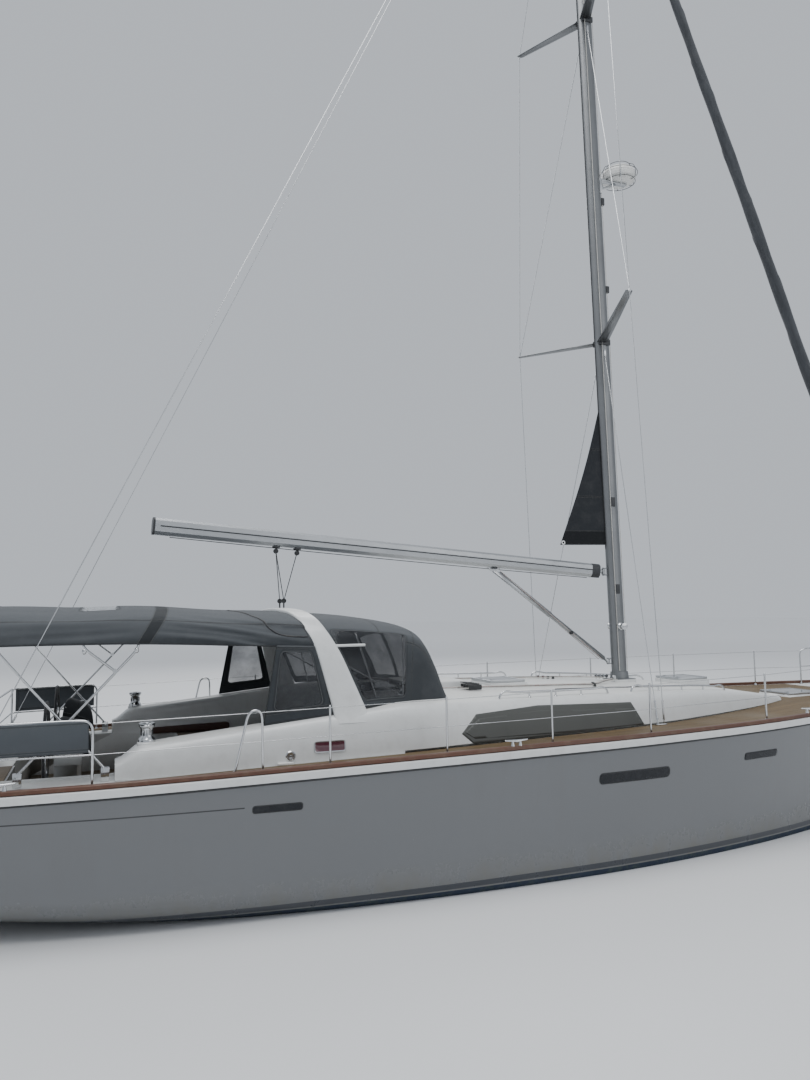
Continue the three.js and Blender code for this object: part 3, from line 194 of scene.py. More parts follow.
def hull_y(x, z):
    """How far out the topsides stand at a place."""
    bilge, low, deck, high = (row_at(HULL_ROWS, x, column) for column in (1, 2, 3, 4))
    return bilge + (deck - bilge) * max(0.0, (z - low) / (high - low)) ** 1.3


def hull_point(x, t):
    """A point of the hull's section, with t from the keel line (0) past the bilge (1) to the sheer (2)."""
    bilge, low, deck, high, keel = (row_at(HULL_ROWS, x, column) for column in (1, 2, 3, 4, 5))
    if t <= 1:
        y, fall = math.sin(t * math.pi / 2) ** 0.86, max(0.0, math.cos(t * math.pi / 2)) ** 0.86
        return Vector((x, bilge * y, low - (low - keel) * fall))
    return Vector((x, bilge + (deck - bilge) * (t - 1) ** 1.3, low + (high - low) * (t - 1)))


def deck_z(x):
    return sheer_z(x) + DECK_RISE


def rail_y(x):
    return deck_half(x) - RAIL_INSET


def roof_z(x):
    return row_at(ROOF_ROWS, x, 2)


def eased(t):
    t = min(1.0, max(0.0, t))
    return t * t * (3 - 2 * t)


def roof_half(x):
    """Half of the coachroof's section, foot to middle, widening aft into the coamings."""
    half, foot = row_at(ROOF_ROWS, x, 1), deck_z(x) - 0.006
    rise = roof_z(x) - foot
    aft = eased((-2.05 - x) / 1.03)
    section = []
    for (b, h), (wide, high) in zip(ROOF_SECTION, COAMING_SECTION):
        section.append(
            Vector((x, half * b * (1 - aft) + wide * aft, foot + rise * (h * (1 - aft) + high * aft)))
        )
    return section


def roof_y(x, z):
    """How far out the coachroof's side stands at a height."""
    half = roof_half(x)
    lo, hi = 0.0, 0.6
    for _ in range(18):
        middle = (lo + hi) / 2
        if along(half, middle).z < z:
            lo = middle
        else:
            hi = middle
    return along(half, lo).y


def mast_x(z):
    return MAST_FOOT.x - (z - MAST_FOOT.z) * math.tan(MAST_RAKE)


def boom_point(along, across, up):
    """A point beside the boom's axis, as the boom lies swung out."""
    x = -along * math.cos(BOOM_LIFT) + up * math.sin(BOOM_LIFT)
    z = along * math.sin(BOOM_LIFT) + up * math.cos(BOOM_LIFT)
    turn = Matrix.Rotation(BOOM_SWING, 3, Vector((-math.sin(MAST_RAKE), 0, math.cos(MAST_RAKE))))
    return Vector((PIN_X, 0, GOOSENECK_Z)) + turn @ Vector((x, across, z))


def stay_point(along, out=0.0, turn=0.0):
    """A point along the forestay, at a distance out from it."""
    line = (STAY_TOP - STAY_TACK).normalized()
    side = Vector((0, 1, 0))
    fore = side.cross(line)
    return STAY_TACK + line * along + side * (out * math.cos(turn)) + fore * (out * math.sin(turn))


# Mesh tools


def dressed(piece, material, body, slot):
    """Gives a piece its material and its body. A finish's name brings its own slot, which is looked up but
    not applied.
    """
    if isinstance(material, str):
        slot = slot or FINISHES[material][0]
        material = finish_called(material)
    piece.data.materials.append(material)
    if body:
        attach(piece, body)
    return piece


def finish(name, bm, material, body=BOAT, slot=None, smooth=40.0):
    """Turns a bmesh into an object in its finish, riding on a body."""
    mesh = bpy.data.meshes.new(name)
    bm.to_mesh(mesh)
    bm.free()
    piece = bpy.data.objects.new(name, mesh)
    bpy.context.scene.collection.objects.link(piece)
    mesh.shade_smooth()
    mesh.set_sharp_from_angle(angle=math.radians(smooth))
    return dressed(piece, material, body, slot)


def soften(piece, width, segments=2):
    """Rounds a piece's edges with a live bevel."""
    bevel = piece.modifiers.new("rounded edges", "BEVEL")
    bevel.width = width
    bevel.segments = segments
    bevel.limit_method = "ANGLE"
    bevel.angle_limit = math.radians(35)
    even = piece.modifiers.new("flat faces stay flat", "WEIGHTED_NORMAL")
    even.keep_sharp = True
    return piece


def bevel_all(bm, verts, width, segments=2):
    """Rounds every edge at some corners."""
    edges = list({e for v in verts for e in v.link_edges})
    bmesh.ops.bevel(
        bm, geom=edges, offset=width, offset_type="OFFSET", affect="EDGES", segments=segments, profile=0.5,
        material=-1, clamp_overlap=True,
    )


def bar_matrix(a, b):
    line = Vector(b) - Vector(a)
    turn = line.to_track_quat("Z", "Y").to_matrix().to_4x4()
    return Matrix.Translation((Vector(a) + Vector(b)) / 2) @ turn, line.length


def add_cone(bm, place, r0, r1, length, sides):
    """A closed cone or cylinder about the middle and the z axis of place."""
    bmesh.ops.create_cone(
        bm, cap_ends=True, cap_tris=False, segments=sides, radius1=r0, radius2=r1, depth=length, matrix=place
    )


def add_bar(bm, a, b, r0, r1=None, sides=12):
    """A round bar from a to b."""
    place, length = bar_matrix(a, b)
    add_cone(bm, place, r0, r0 if r1 is None else r1, length, sides)


def add_block(bm, lo, hi, bevel=0.0, segments=2, turn=None):
    """A block between two corners, with rounded edges."""
    lo, hi = Vector(lo), Vector(hi)
    size = hi - lo
    place = Matrix.Translation((lo + hi) / 2)
    if turn is not None:
        place = place @ turn
    made = bmesh.ops.create_cube(bm, size=1.0, matrix=place @ Matrix.Diagonal((size.x, size.y, size.z, 1)))
    if bevel:
        bevel_all(bm, made["verts"], bevel, segments)
    return made["verts"]


def add_block_about(bm, centre, half, bevel):
    """A block about its centre, from half its size."""
    return add_block(bm, centre - Vector(half), centre + Vector(half), bevel)


def add_foot(bm, base, thick, high, flange, low, top):
    """A rail's foot: a round flange, and a collar on it that narrows from low to top."""
    add_bar(bm, base, base + upward(thick), flange, sides=20)
    add_bar(bm, base + upward(thick), base + upward(high), low, top, 18)


def add_ball(bm, centre, radius, squash=(1, 1, 1), u=14, v=8):
    place = Matrix.Translation(Vector(centre)) @ Matrix.Diagonal((*squash, 1))
    return bmesh.ops.create_uvsphere(bm, u_segments=u, v_segments=v, radius=radius, matrix=place)["verts"]


def add_turned(bm, profile, place, steps=24):
    """Spins a profile of radius and height about the z axis of place, which is a matrix or a point."""
    verts = [bm.verts.new((r, 0, h)) for r, h in profile]
    edges = [bm.edges.new(pair) for pair in zip(verts, verts[1:])]
    before = set(bm.verts)
    bmesh.ops.spin(
        bm, geom=verts + edges, cent=(0, 0, 0), axis=(0, 0, 1), dvec=(0, 0, 0), angle=2 * math.pi,
        steps=steps, use_merge=True, use_duplicate=False,
    )
    mine = list((set(bm.verts) - before) | set(verts))
    bmesh.ops.remove_doubles(bm, verts=mine, dist=1e-6)
    mine = [v for v in mine if v.is_valid]
    faces = list({f for v in mine for f in v.link_faces})
    bmesh.ops.recalc_face_normals(bm, faces=faces)
    matrix = place if isinstance(place, Matrix) else Matrix.Translation(place)
    bmesh.ops.transform(bm, matrix=matrix, verts=mine)
    return mine


def add_sheet(bm, rows, columns, point):
    """A grid whose every corner is placed by point(u, v), both from 0 to 1."""
    made = bmesh.ops.create_grid(bm, x_segments=columns, y_segments=rows, size=0.5)
    for v in made["verts"]:
        v.co = Vector(point(v.co.x + 0.5, v.co.y + 0.5))
    return made["verts"]


def add_loft(bm, columns, rows, point):
    """A tube through point(u, v), closed around v, with its two ends filled."""
    verts = add_sheet(bm, rows, columns, point)
    bmesh.ops.remove_doubles(bm, verts=verts, dist=1e-6)
    verts = [v for v in verts if v.is_valid]
    rims = list({e for v in verts for e in v.link_edges if e.is_boundary})
    if rims:
        bmesh.ops.holes_fill(bm, edges=rims, sides=0)
    bmesh.ops.recalc_face_normals(bm, faces=list({f for v in verts for f in v.link_faces}))
    return verts


def carved(bm, cutters):
    """The same solid with each cutter's shape taken out of it."""
    scene = bpy.context.scene

    def temporary(shape):
        mesh = bpy.data.meshes.new("temporary")
        shape.to_mesh(mesh)
        shape.free()
        made = bpy.data.objects.new("temporary", mesh)
        scene.collection.objects.link(made)
        return made

    block = temporary(bm)
    tools = []
    for fill in cutters:
        shape = bmesh.new()
        fill(shape)
        tools.append(temporary(shape))
        cut = block.modifiers.new("cut", "BOOLEAN")
        cut.operation = "DIFFERENCE"
        cut.solver = "EXACT"
        cut.object = tools[-1]
    result = bmesh.new()
    left = bpy.data.meshes.new_from_object(block.evaluated_get(bpy.context.evaluated_depsgraph_get()))
    result.from_mesh(left)
    bpy.data.meshes.remove(left)
    for made in (block, *tools):
        mesh = made.data
        bpy.data.objects.remove(made)
        bpy.data.meshes.remove(mesh)
    return result


def box_cutter(lo, hi):
    return lambda bm: add_block(bm, lo, hi)


def rounded_outline(x0, x1, z0, z1, corner):
    """The x and z of a rectangle with round corners, all the way around."""
    outline = []
    for x, z, start in (
        (x1 - corner, z1 - corner, 0),
        (x0 + corner, z1 - corner, 90),
        (x0 + corner, z0 + corner, 180),
        (x1 - corner, z0 + corner, 270),
    ):
        for k in range(6):
            turn = math.radians(start + 18 * k)
            outline.append((x + corner * math.cos(turn), z + corner * math.sin(turn)))
    return outline


def fitted_pane(outline, segments, surface, sign, out, shrink):
    """A grid cut to a convex outline of x and z, and laid on a side of the boat."""
    corners = [Vector((x, 0, z)) for x, z in outline]
    lo = Vector((min(c.x for c in corners), 0, min(c.z for c in corners)))
    hi = Vector((max(c.x for c in corners), 0, max(c.z for c in corners)))
    middle = (lo + hi) / 2
    bm = bmesh.new()
    bmesh.ops.create_grid(bm, x_segments=segments[0], y_segments=segments[1], size=0.51)
    for v in bm.verts:
        v.co = (middle.x + v.co.x * (hi.x - lo.x), 0, middle.z + v.co.y * (hi.z - lo.z))
    for a, b in zip(corners, corners[1:] + corners[:1]):
        edge = (b - a).normalized()
        inward = Vector((-edge.z, 0, edge.x))
        if inward.dot(middle - a) < 0:
            inward.negate()
        bmesh.ops.bisect_plane(
            bm, geom=[*bm.verts, *bm.edges, *bm.faces], dist=1e-6, plane_co=a + inward * shrink,
            plane_no=-inward, clear_outer=True, clear_inner=False,
        )
    for v in bm.verts:
        v.co.y = sign * (surface(v.co.x, v.co.z) + out)
    bmesh.ops.recalc_face_normals(bm, faces=bm.faces)
    if sum(f.normal.y for f in bm.faces) * sign < 0:
        bmesh.ops.reverse_faces(bm, faces=bm.faces)
    return bm


def laid_pane(name, outline, segments, surface, sign, out, shrink, material):
    """A pane of some thickness, laid on a side of the boat."""
    piece = finish(name, fitted_pane(outline, segments, surface, sign, out, shrink), material)
    wall = piece.modifiers.new("pane thickness", "SOLIDIFY")
    wall.thickness = PANE_THICKNESS
    return piece


def trim_faces(piece, outer):
    """Takes the faces off a piece whose middle is outer."""
    bm = bmesh.new()
    bm.from_mesh(piece.data)
    faces = [f for f in bm.faces if outer(f.calc_center_median())]
    bmesh.ops.delete(bm, geom=faces, context="FACES")
    bm.to_mesh(piece.data)
    bm.free()


def around(k, count):
    """The level direction of the k-th of some even steps around."""
    a = 2 * math.pi * k / count
    return Vector((math.cos(a), math.sin(a), 0))


def sampled(point, steps, u=None, v=None):
    """A line of points of a sheet point(u, v), along the share that isn't given."""
    shares = [k / steps for k in range(steps + 1)]
    return [point(t, v) if u is None else point(u, t) for t in shares]


def curve_piece(name, lines, radius, material, body=BOAT, resolution=2, smooth=False):
    """Round rods, wires or ropes along lines of points."""
    data = bpy.data.curves.new(name, "CURVE")
    data.dimensions = "3D"
    data.bevel_depth = radius
    data.bevel_resolution = resolution
    data.use_fill_caps = True
    for line in lines:
        spline = data.splines.new("BEZIER" if smooth else "POLY")
        points = spline.bezier_points if smooth else spline.points
        points.add(len(line) - 1)
        for target, p in zip(points, line):
            if smooth:
                target.co = Vector(p)
                target.handle_left_type = target.handle_right_type = "AUTO"
            else:
                target.co = (*p, 1)
        spline.resolution_u = 6
    shape = bpy.data.objects.new(name, data)
    bpy.context.scene.collection.objects.link(shape)
    mesh = bpy.data.meshes.new_from_object(shape.evaluated_get(bpy.context.evaluated_depsgraph_get()))
    bpy.data.objects.remove(shape)
    mesh.name = name
    mesh.materials.clear()
    piece = bpy.data.objects.new(name, mesh)
    bpy.context.scene.collection.objects.link(piece)
    mesh.shade_smooth()
    return dressed(piece, material, body, None)


# Shader tools


def wire(tree, source, target):
    tree.links.new(source, target)


def feed(tree, socket, value):
    """Sets a socket to a number or a colour, or wires an output to it."""
    if isinstance(value, (int, float)):
        socket.default_value = value
    elif isinstance(value, tuple):
        socket.default_value = (*value, 1)
    elif value is not None:
        wire(tree, value, socket)


def math_node(tree, operation, a, b=None, clamp=False):
    made = tree.nodes.new("ShaderNodeMath")
    made.operation = operation
    made.use_clamp = clamp
    for socket, value in zip(made.inputs, (a, b)):
        feed(tree, socket, value)
    return made.outputs[0]


def plus(tree, a, b):
    return math_node(tree, "ADD", a, b)


def minus(tree, a, b):
    return math_node(tree, "SUBTRACT", a, b)


def times(tree, a, b):
    return math_node(tree, "MULTIPLY", a, b)


def size_of(tree, a):
    return math_node(tree, "ABSOLUTE", a)


def either(tree, a, b):
    """The stronger of two masks, the first of which may be missing."""
    return b if a is None else math_node(tree, "MAXIMUM", a, b)


def scaled(tree, vector, share):
    """A vector or a colour times a number."""
    made = tree.nodes.new("ShaderNodeVectorMath")
    made.operation = "SCALE"
    wire(tree, vector, made.inputs[0])
    wire(tree, share, made.inputs["Scale"])
    return made.outputs[0]


def band(tree, value, lo, hi, soft):
    """1 where value lies between lo and hi, falling off over soft."""
    up = minus(tree, value, lo)
    up = math_node(tree, "DIVIDE", up, soft, clamp=True)
    down = minus(tree, hi, value)
    down = math_node(tree, "DIVIDE", down, soft, clamp=True)
    return times(tree, up, down)


def colour_mix(tree, factor, a, b):
    made = tree.nodes.new("ShaderNodeMix")
    made.data_type = "RGBA"
    for k, value in ((0, factor), (6, a), (7, b)):
        feed(tree, made.inputs[k], value)
    return made.outputs[2]


def object_place(tree):
    return tree.nodes.new("ShaderNodeTexCoord").outputs["Object"]


def split(tree, vector):
    made = tree.nodes.new("ShaderNodeSeparateXYZ")
    wire(tree, vector, made.inputs[0])
    return made.outputs


def noise(tree, vector, scale, detail=3.0, rough=0.5, stretch=None):
    if stretch:
        mapping = tree.nodes.new("ShaderNodeMapping")
        mapping.inputs["Scale"].default_value = stretch
        wire(tree, vector, mapping.inputs["Vector"])
        vector = mapping.outputs[0]
    made = tree.nodes.new("ShaderNodeTexNoise")
    made.inputs["Scale"].default_value = scale
    made.inputs["Detail"].default_value = detail
    made.inputs["Roughness"].default_value = rough
    wire(tree, vector, made.inputs["Vector"])
    return made.outputs["Fac"]


def ramp(tree, value, lo, hi, a=0.0, b=1.0):
    made = tree.nodes.new("ShaderNodeMapRange")
    for socket, number in zip(list(made.inputs)[1:5], (lo, hi, a, b)):
        socket.default_value = number
    wire(tree, value, made.inputs[0])
    return made.outputs[0]


def bump(tree, height, strength, distance):
    made = tree.nodes.new("ShaderNodeBump")
    made.inputs["Strength"].default_value = strength
    made.inputs["Distance"].default_value = distance
    wire(tree, height, made.inputs["Height"])
    return made.outputs[0]


def new_material(name, roughness=0.5, metallic=0.0, coat=0.0, sheen=0.0, specular=0.5):
    made = bpy.data.materials.new(name)
    made.use_nodes = True
    tree = made.node_tree
    shader = tree.nodes["Principled BSDF"]
    shader.inputs["Roughness"].default_value = roughness
    shader.inputs["Metallic"].default_value = metallic
    shader.inputs["Coat Weight"].default_value = coat
    shader.inputs["Coat Roughness"].default_value = 0.08
    shader.inputs["Sheen Weight"].default_value = sheen
    shader.inputs["Specular IOR Level"].default_value = specular
    return made, tree, shader


def group(name, inputs, outputs):
    """An empty shader node group. An input's default tells its kind, and only a Colour output is a colour."""
    made = bpy.data.node_groups.new(name, "ShaderNodeTree")
    for label, default in inputs.items():
        kind = "Vector" if default is None else "Color" if isinstance(default, tuple) else "Float"
        socket = made.interface.new_socket(label, in_out="INPUT", socket_type="NodeSocket" + kind)
        if default is not None:
            socket.default_value = default
    for label in outputs:
        kind = "Color" if label == "Colour" else "Float"
        made.interface.new_socket(label, in_out="OUTPUT", socket_type="NodeSocket" + kind)
    return made, made.nodes.new("NodeGroupInput"), made.nodes.new("NodeGroupOutput")


def mottle_group():
    """Colour that drifts over a surface, with fine dirt settled in it."""
    tree, inlet, outlet = group(
        "mottle",
        {
            "Colour": (0.8, 0.8, 0.8, 1), "Drift": 0.06, "Dirt": 0.1, "Scale": 1.0,
            "Dirt Colour": (0.16, 0.15, 0.13, 1),
        },
        ["Colour", "Dirt", "Grain"],
    )
    place = object_place(tree)
    place = scaled(tree, place, inlet.outputs["Scale"])
    broad = noise(tree, place, 1.3, 4)
    fine = noise(tree, place, 38, 5, 0.6)
    drift = times(tree, minus(tree, broad, 0.5), inlet.outputs["Drift"])
    bright = plus(tree, 1.0, times(tree, drift, 2.0))
    shade = scaled(tree, inlet.outputs["Colour"], bright)
    spots = ramp(tree, noise(tree, place, 6.5, 6, 0.65), 0.48, 0.78)
    dirt = times(tree, spots, inlet.outputs["Dirt"])
    out = colour_mix(tree, dirt, shade, inlet.outputs["Dirt Colour"])
    wire(tree, out, outlet.inputs["Colour"])
    wire(tree, dirt, outlet.inputs["Dirt"])
    wire(tree, fine, outlet.inputs["Grain"])
    return tree


def weave_group():
    """The threads of woven cloth, as a height and a faint colour."""
    tree, inlet, outlet = group("weave", {"Vector": None, "Threads": 900.0}, ["Height", "Shade"])
    axes = split(tree, inlet.outputs["Vector"])

    def thread(a):
        return math_node(tree, "SINE", times(tree, a, inlet.outputs["Threads"]))

    height = times(tree, thread(axes[0]), thread(plus(tree, axes[1], axes[2])))
    wire(tree, height, outlet.inputs["Height"])
    wire(tree, ramp(tree, height, -1, 1, 0.9, 1.05), outlet.inputs["Shade"])
    return tree


def window_group():
    """How far a point of a panel's map lies outside a round-cornered window."""
    tree, inlet, outlet = group(
        "panel window",
        {"Map": None, "Middle U": 0.5, "Middle V": 0.5, "Half U": 0.3, "Half V": 0.3, "Corner": 0.05},
        ["Outside"],
    )
    axes = split(tree, inlet.outputs["Map"])
    reach = []
    for axis, letter in zip(axes, "UV"):
        off = size_of(tree, minus(tree, axis, inlet.outputs["Middle " + letter]))
        half = minus(tree, inlet.outputs["Half " + letter], inlet.outputs["Corner"])
        reach.append(minus(tree, off, half))
    squares = [math_node(tree, "POWER", math_node(tree, "MAXIMUM", r, 0.0), 2.0) for r in reach]
    far = math_node(tree, "SQRT", plus(tree, *squares))
    near = math_node(tree, "MINIMUM", math_node(tree, "MAXIMUM", *reach), 0.0)
    outside = minus(tree, plus(tree, far, near), inlet.outputs["Corner"])
    wire(tree, outside, outlet.inputs["Outside"])
    return tree


def streaks_group():
    """Long faint marks that run down an upright surface."""
    tree, inlet, outlet = group("run marks", {"Amount": 0.1}, ["Mask"])
    place = object_place(tree)
    long_marks = noise(tree, place, 1.0, 5, 0.6, stretch=(7.0, 7.0, 0.35))
    patches = noise(tree, place, 0.7, 3)
    mask = times(tree, ramp(tree, long_marks, 0.5, 0.75), ramp(tree, patches, 0.4, 0.7))
    wire(tree, times(tree, mask, inlet.outputs["Amount"]), outlet.inputs["Mask"])
    return tree


def brushed_group():
    """Fine drawn lines in metal, as a roughness drift and a height."""
    tree, inlet, outlet = group(
        "drawn metal", {"Roughness": 0.3, "Spread": 0.1}, ["Roughness", "Height", "Cloud"]
    )
    place = object_place(tree)
    lines = noise(tree, place, 30.0, 4, 0.6, stretch=(9.0, 9.0, 0.25))
    cloud = noise(tree, place, 2.2, 4, 0.6)
    drift = times(tree, minus(tree, lines, 0.5), inlet.outputs["Spread"])
    drift = plus(tree, drift, times(tree, minus(tree, cloud, 0.5), 0.12))
    wire(tree, plus(tree, inlet.outputs["Roughness"], drift), outlet.inputs["Roughness"])
    wire(tree, lines, outlet.inputs["Height"])
    wire(tree, cloud, outlet.inputs["Cloud"])
    return tree


def planks_group():
    """Planks across an axis, with caulked seams, butts and a grain along them."""
    tree, inlet, outlet = group(
        "teak planks",
        {"Across": 0.0, "Along": 0.0, "Plank": 0.05, "Seam": 0.006, "Wood": (0.35, 0.2, 0.1, 1)},
        ["Colour", "Caulk", "Height"],
    )
    steps = math_node(tree, "DIVIDE", inlet.outputs["Across"], inlet.outputs["Plank"])
    row = math_node(tree, "FLOOR", steps)
    inside = minus(tree, steps, row)
    edge = math_node(tree, "MINIMUM", inside, minus(tree, 1.0, inside))
    edge = times(tree, edge, inlet.outputs["Plank"])
    seam = math_node(tree, "LESS_THAN", edge, times(tree, inlet.outputs["Seam"], 0.5))
    joined = tree.nodes.new("ShaderNodeCombineXYZ")
    wire(tree, times(tree, inlet.outputs["Along"], 1.0), joined.inputs[0])
    wire(tree, inlet.outputs["Across"], joined.inputs[1])
    wire(tree, row, joined.inputs[2])
    grain = noise(tree, joined.outputs[0], 1.0, 6, 0.65, stretch=(3.0, 160.0, 11.3))
    broad = noise(tree, joined.outputs[0], 1.0, 3, 0.5, stretch=(0.5, 1.0, 7.7))
    shade = plus(tree, ramp(tree, grain, 0.3, 0.75, 0.72, 1.12), ramp(tree, broad, 0.3, 0.7, -0.22, 0.2))
    sun = ramp(tree, noise(tree, object_place(tree), 1.7, 5), 0.45, 0.75, 0.0, 0.45)
    bleached = colour_mix(tree, sun, scaled(tree, inlet.outputs["Wood"], shade), (0.205, 0.175, 0.130))
    wire(tree, colour_mix(tree, seam, bleached, (0.012, 0.012, 0.013)), outlet.inputs["Colour"])
    wire(tree, seam, outlet.inputs["Caulk"])
    height = minus(tree, times(tree, grain, 0.35), seam)
    wire(tree, height, outlet.inputs["Height"])
    return tree


GROUPS = {
    "mottle": mottle_group,
    "weave": weave_group,
    "panel window": window_group,
    "run marks": streaks_group,
    "drawn metal": brushed_group,
    "teak planks": planks_group,
}


def effect(tree, name, **values):
    """Places one of the shared effects in a material."""
    used = tree.nodes.new("ShaderNodeGroup")
    used.node_tree = bpy.data.node_groups.get(name) or GROUPS[name]()
    for label, value in values.items():
        feed(tree, used.inputs[label.replace("_", " ")], value)
    return used.outputs


# Materials


def colours():
    return bpy.context.scene.yacht_colours


def hull_paint(name):
    """The grey topsides with their cove line and boot top, the bottom paint and the white well."""
    made, tree, shader = new_material(name, roughness=0.3, coat=0.35)
    place = object_place(tree)
    x, y, z = split(tree, place)
    topsides = effect(tree, "mottle", Colour=tuple(colours().hull), Drift=0.035, Dirt=0.05, Scale=0.6)
    runs = effect(tree, "run marks", Amount=0.16)
    grey = colour_mix(tree, runs["Mask"], topsides["Colour"], (0.13, 0.125, 0.115))
    scum = times(
        tree, ramp(tree, z, 0.42, 0.12), ramp(tree, noise(tree, place, 5.0, 6, 0.65, (1, 1, 0.4)), 0.35, 0.7)
    )
    grey = colour_mix(tree, times(tree, scum, 0.45), grey, (0.14, 0.125, 0.075))
    cove = band(tree, z, 1.143, 1.158, 0.002)
    aft = band(tree, x, -7.475, -4.87, 0.005)
    outside = math_node(tree, "GREATER_THAN", size_of(tree, y), 1.55)
    cove = times(tree, times(tree, cove, aft), outside)
    grey = colour_mix(tree, cove, grey, (0.02, 0.021, 0.024))
    stripe = band(tree, z, 0.085, 0.15, 0.002)
    grey = colour_mix(tree, stripe, grey, (0.035, 0.04, 0.05))
    below = ramp(tree, z, 0.07, 0.066)
    bottom = effect(
        tree, "mottle", Colour=tuple(colours().bottom), Drift=0.2, Dirt=0.45, Scale=1.6,
        Dirt_Colour=(0.10, 0.13, 0.07),
    )
    paint = colour_mix(tree, below, grey, bottom["Colour"])
    well = times(tree, minus(tree, 1.0, outside), ramp(tree, z, 0.93, 0.935))
    well = times(tree, well, band(tree, x, -7.49, -2.3, 0.005))
    white = effect(tree, "mottle", Colour=tuple(colours().gelcoat), Drift=0.03, Dirt=0.1)
    wire(tree, colour_mix(tree, well, paint, white["Colour"]), shader.inputs["Base Color"])
    rough = plus(tree, ramp(tree, topsides["Grain"], 0, 1, 0.2, 0.3), times(tree, below, 0.5))
    wire(tree, plus(tree, rough, times(tree, scum, 0.2)), shader.inputs["Roughness"])
    wire(tree, times(tree, minus(tree, 1.0, below), 0.35), shader.inputs["Coat Weight"])
    waves = plus(tree, noise(tree, place, 1.1, 2), times(tree, noise(tree, place, 60.0, 3), 0.012))
    wire(tree, bump(tree, waves, 0.22, 0.02), shader.inputs["Normal"])
    return made


def gelcoat(name):
    """Glossy white mouldings, with a fine tread pattern wherever they face up."""
    made, tree, shader = new_material(name, roughness=0.35, coat=0.2)
    place = object_place(tree)
    x, y, _ = split(tree, place)
    shell = effect(tree, "mottle", Colour=tuple(colours().gelcoat), Drift=0.03, Dirt=0.14, Scale=1.2)
    runs = effect(tree, "run marks", Amount=0.22)
    white = colour_mix(tree, runs["Mask"], shell["Colour"], (0.42, 0.40, 0.35))
    facing = tree.nodes.new("ShaderNodeNewGeometry")
    up = ramp(tree, split(tree, facing.outputs["Normal"])[2], 0.955, 0.975)
    diamonds = []
    for sign in (1.0, -1.0):
        lean = plus(tree, x, times(tree, y, sign))
        diamonds.append(math_node(tree, "SINE", times(tree, lean, 620.0)))
    tread = times(tree, math_node(tree, "MAXIMUM", *diamonds), up)
    white = colour_mix(tree, times(tree, up, 0.5), white, (0.70, 0.70, 0.67))
    wire(tree, white, shader.inputs["Base Color"])
    rough = plus(tree, ramp(tree, shell["Grain"], 0, 1, 0.24, 0.42), times(tree, up, 0.3))
    wire(tree, rough, shader.inputs["Roughness"])
    peel = times(tree, noise(tree, place, 45.0, 3), 0.06)
    wire(tree, bump(tree, plus(tree, peel, times(tree, tread, 0.5)), 0.5, 0.0012), shader.inputs["Normal"])
    return made


def teak_material(name, across, grey=0.0):
    """Caulked teak planks that run along the boat, weathered to grey by a share."""
    made, tree, shader = new_material(name, roughness=0.7, specular=0.35)
    wood = tuple(c * (1 - grey) + grey * 0.25 for c in colours().teak)
    deck = effect(
        tree, "teak planks", Across=across(tree), Along=fore_and_aft(tree), Plank=sizes().plank,
        Seam=sizes().seam, Wood=wood,
    )
    wire(tree, deck["Colour"], shader.inputs["Base Color"])
    wire(tree, ramp(tree, deck["Caulk"], 0, 1, 0.72, 0.5), shader.inputs["Roughness"])
    wire(tree, bump(tree, deck["Height"], 0.6, 0.0018), shader.inputs["Normal"])
    return made


def deck_across(tree):
    """How far a point of the side deck lies in from the deck's edge."""
    x, y, _ = split(tree, object_place(tree))
    edge = tree.nodes.new("ShaderNodeFloatCurve")
    curve = edge.mapping.curves[0]
    widest = 3.0
    places = [(row[0], row[3]) for row in HULL_ROWS]
    for i, (x0, half) in enumerate(places):
        at = ((x0 + HULL_LENGTH / 2) / HULL_LENGTH, half / widest)
        if i in (0, 1):
            curve.points[i].location = at
        else:
            curve.points.new(*at)
    edge.mapping.update()
    wire(tree, math_node(tree, "DIVIDE", plus(tree, x, HULL_LENGTH / 2), HULL_LENGTH), edge.inputs["Value"])
    half = times(tree, edge.outputs[0], widest)
    return minus(tree, half, size_of(tree, y))


def straight_across(tree):
    return split(tree, object_place(tree))[1]


def fore_and_aft(tree):
    return split(tree, object_place(tree))[0]


def varnished_teak(name):
    """The toe rail's oiled red-brown wood, its grain along the boat."""
    made, tree, shader = new_material(name, roughness=0.45, coat=0.25, specular=0.4)
    place = object_place(tree)
    wood = effect(
        tree, "mottle", Colour=(0.100, 0.040, 0.023), Drift=0.24, Dirt=0.45, Scale=1.4,
        Dirt_Colour=(0.17, 0.13, 0.08),
    )
    grain = noise(tree, place, 1.0, 6, 0.6, stretch=(2.5, 120.0, 120.0))
    tone = colour_mix(tree, ramp(tree, grain, 0.42, 0.7, 0.0, 0.55), wood["Colour"], (0.055, 0.024, 0.016))
    wire(tree, tone, shader.inputs["Base Color"])
    wire(tree, ramp(tree, grain, 0.3, 0.7, 0.38, 0.6), shader.inputs["Roughness"])
    wire(tree, bump(tree, grain, 0.3, 0.0012), shader.inputs["Normal"])
    return made


def brown_vinyl(name):
    """The bolsters' dark brown coated cloth, with a fine leather grain."""
    made, tree, shader = new_material(name, roughness=0.55, sheen=0.05, specular=0.4)
    place = object_place(tree)
    field = effect(
        tree, "mottle", Colour=(0.070, 0.036, 0.029), Drift=0.15, Dirt=0.25, Scale=2.5,
        Dirt_Colour=(0.10, 0.08, 0.07),
    )
    wire(tree, field["Colour"], shader.inputs["Base Color"])
    pores = noise(tree, place, 420.0, 4, 0.6)
    wire(tree, ramp(tree, pores, 0.3, 0.7, 0.42, 0.66), shader.inputs["Roughness"])
    wire(tree, bump(tree, pores, 0.4, 0.0008), shader.inputs["Normal"])
    return made


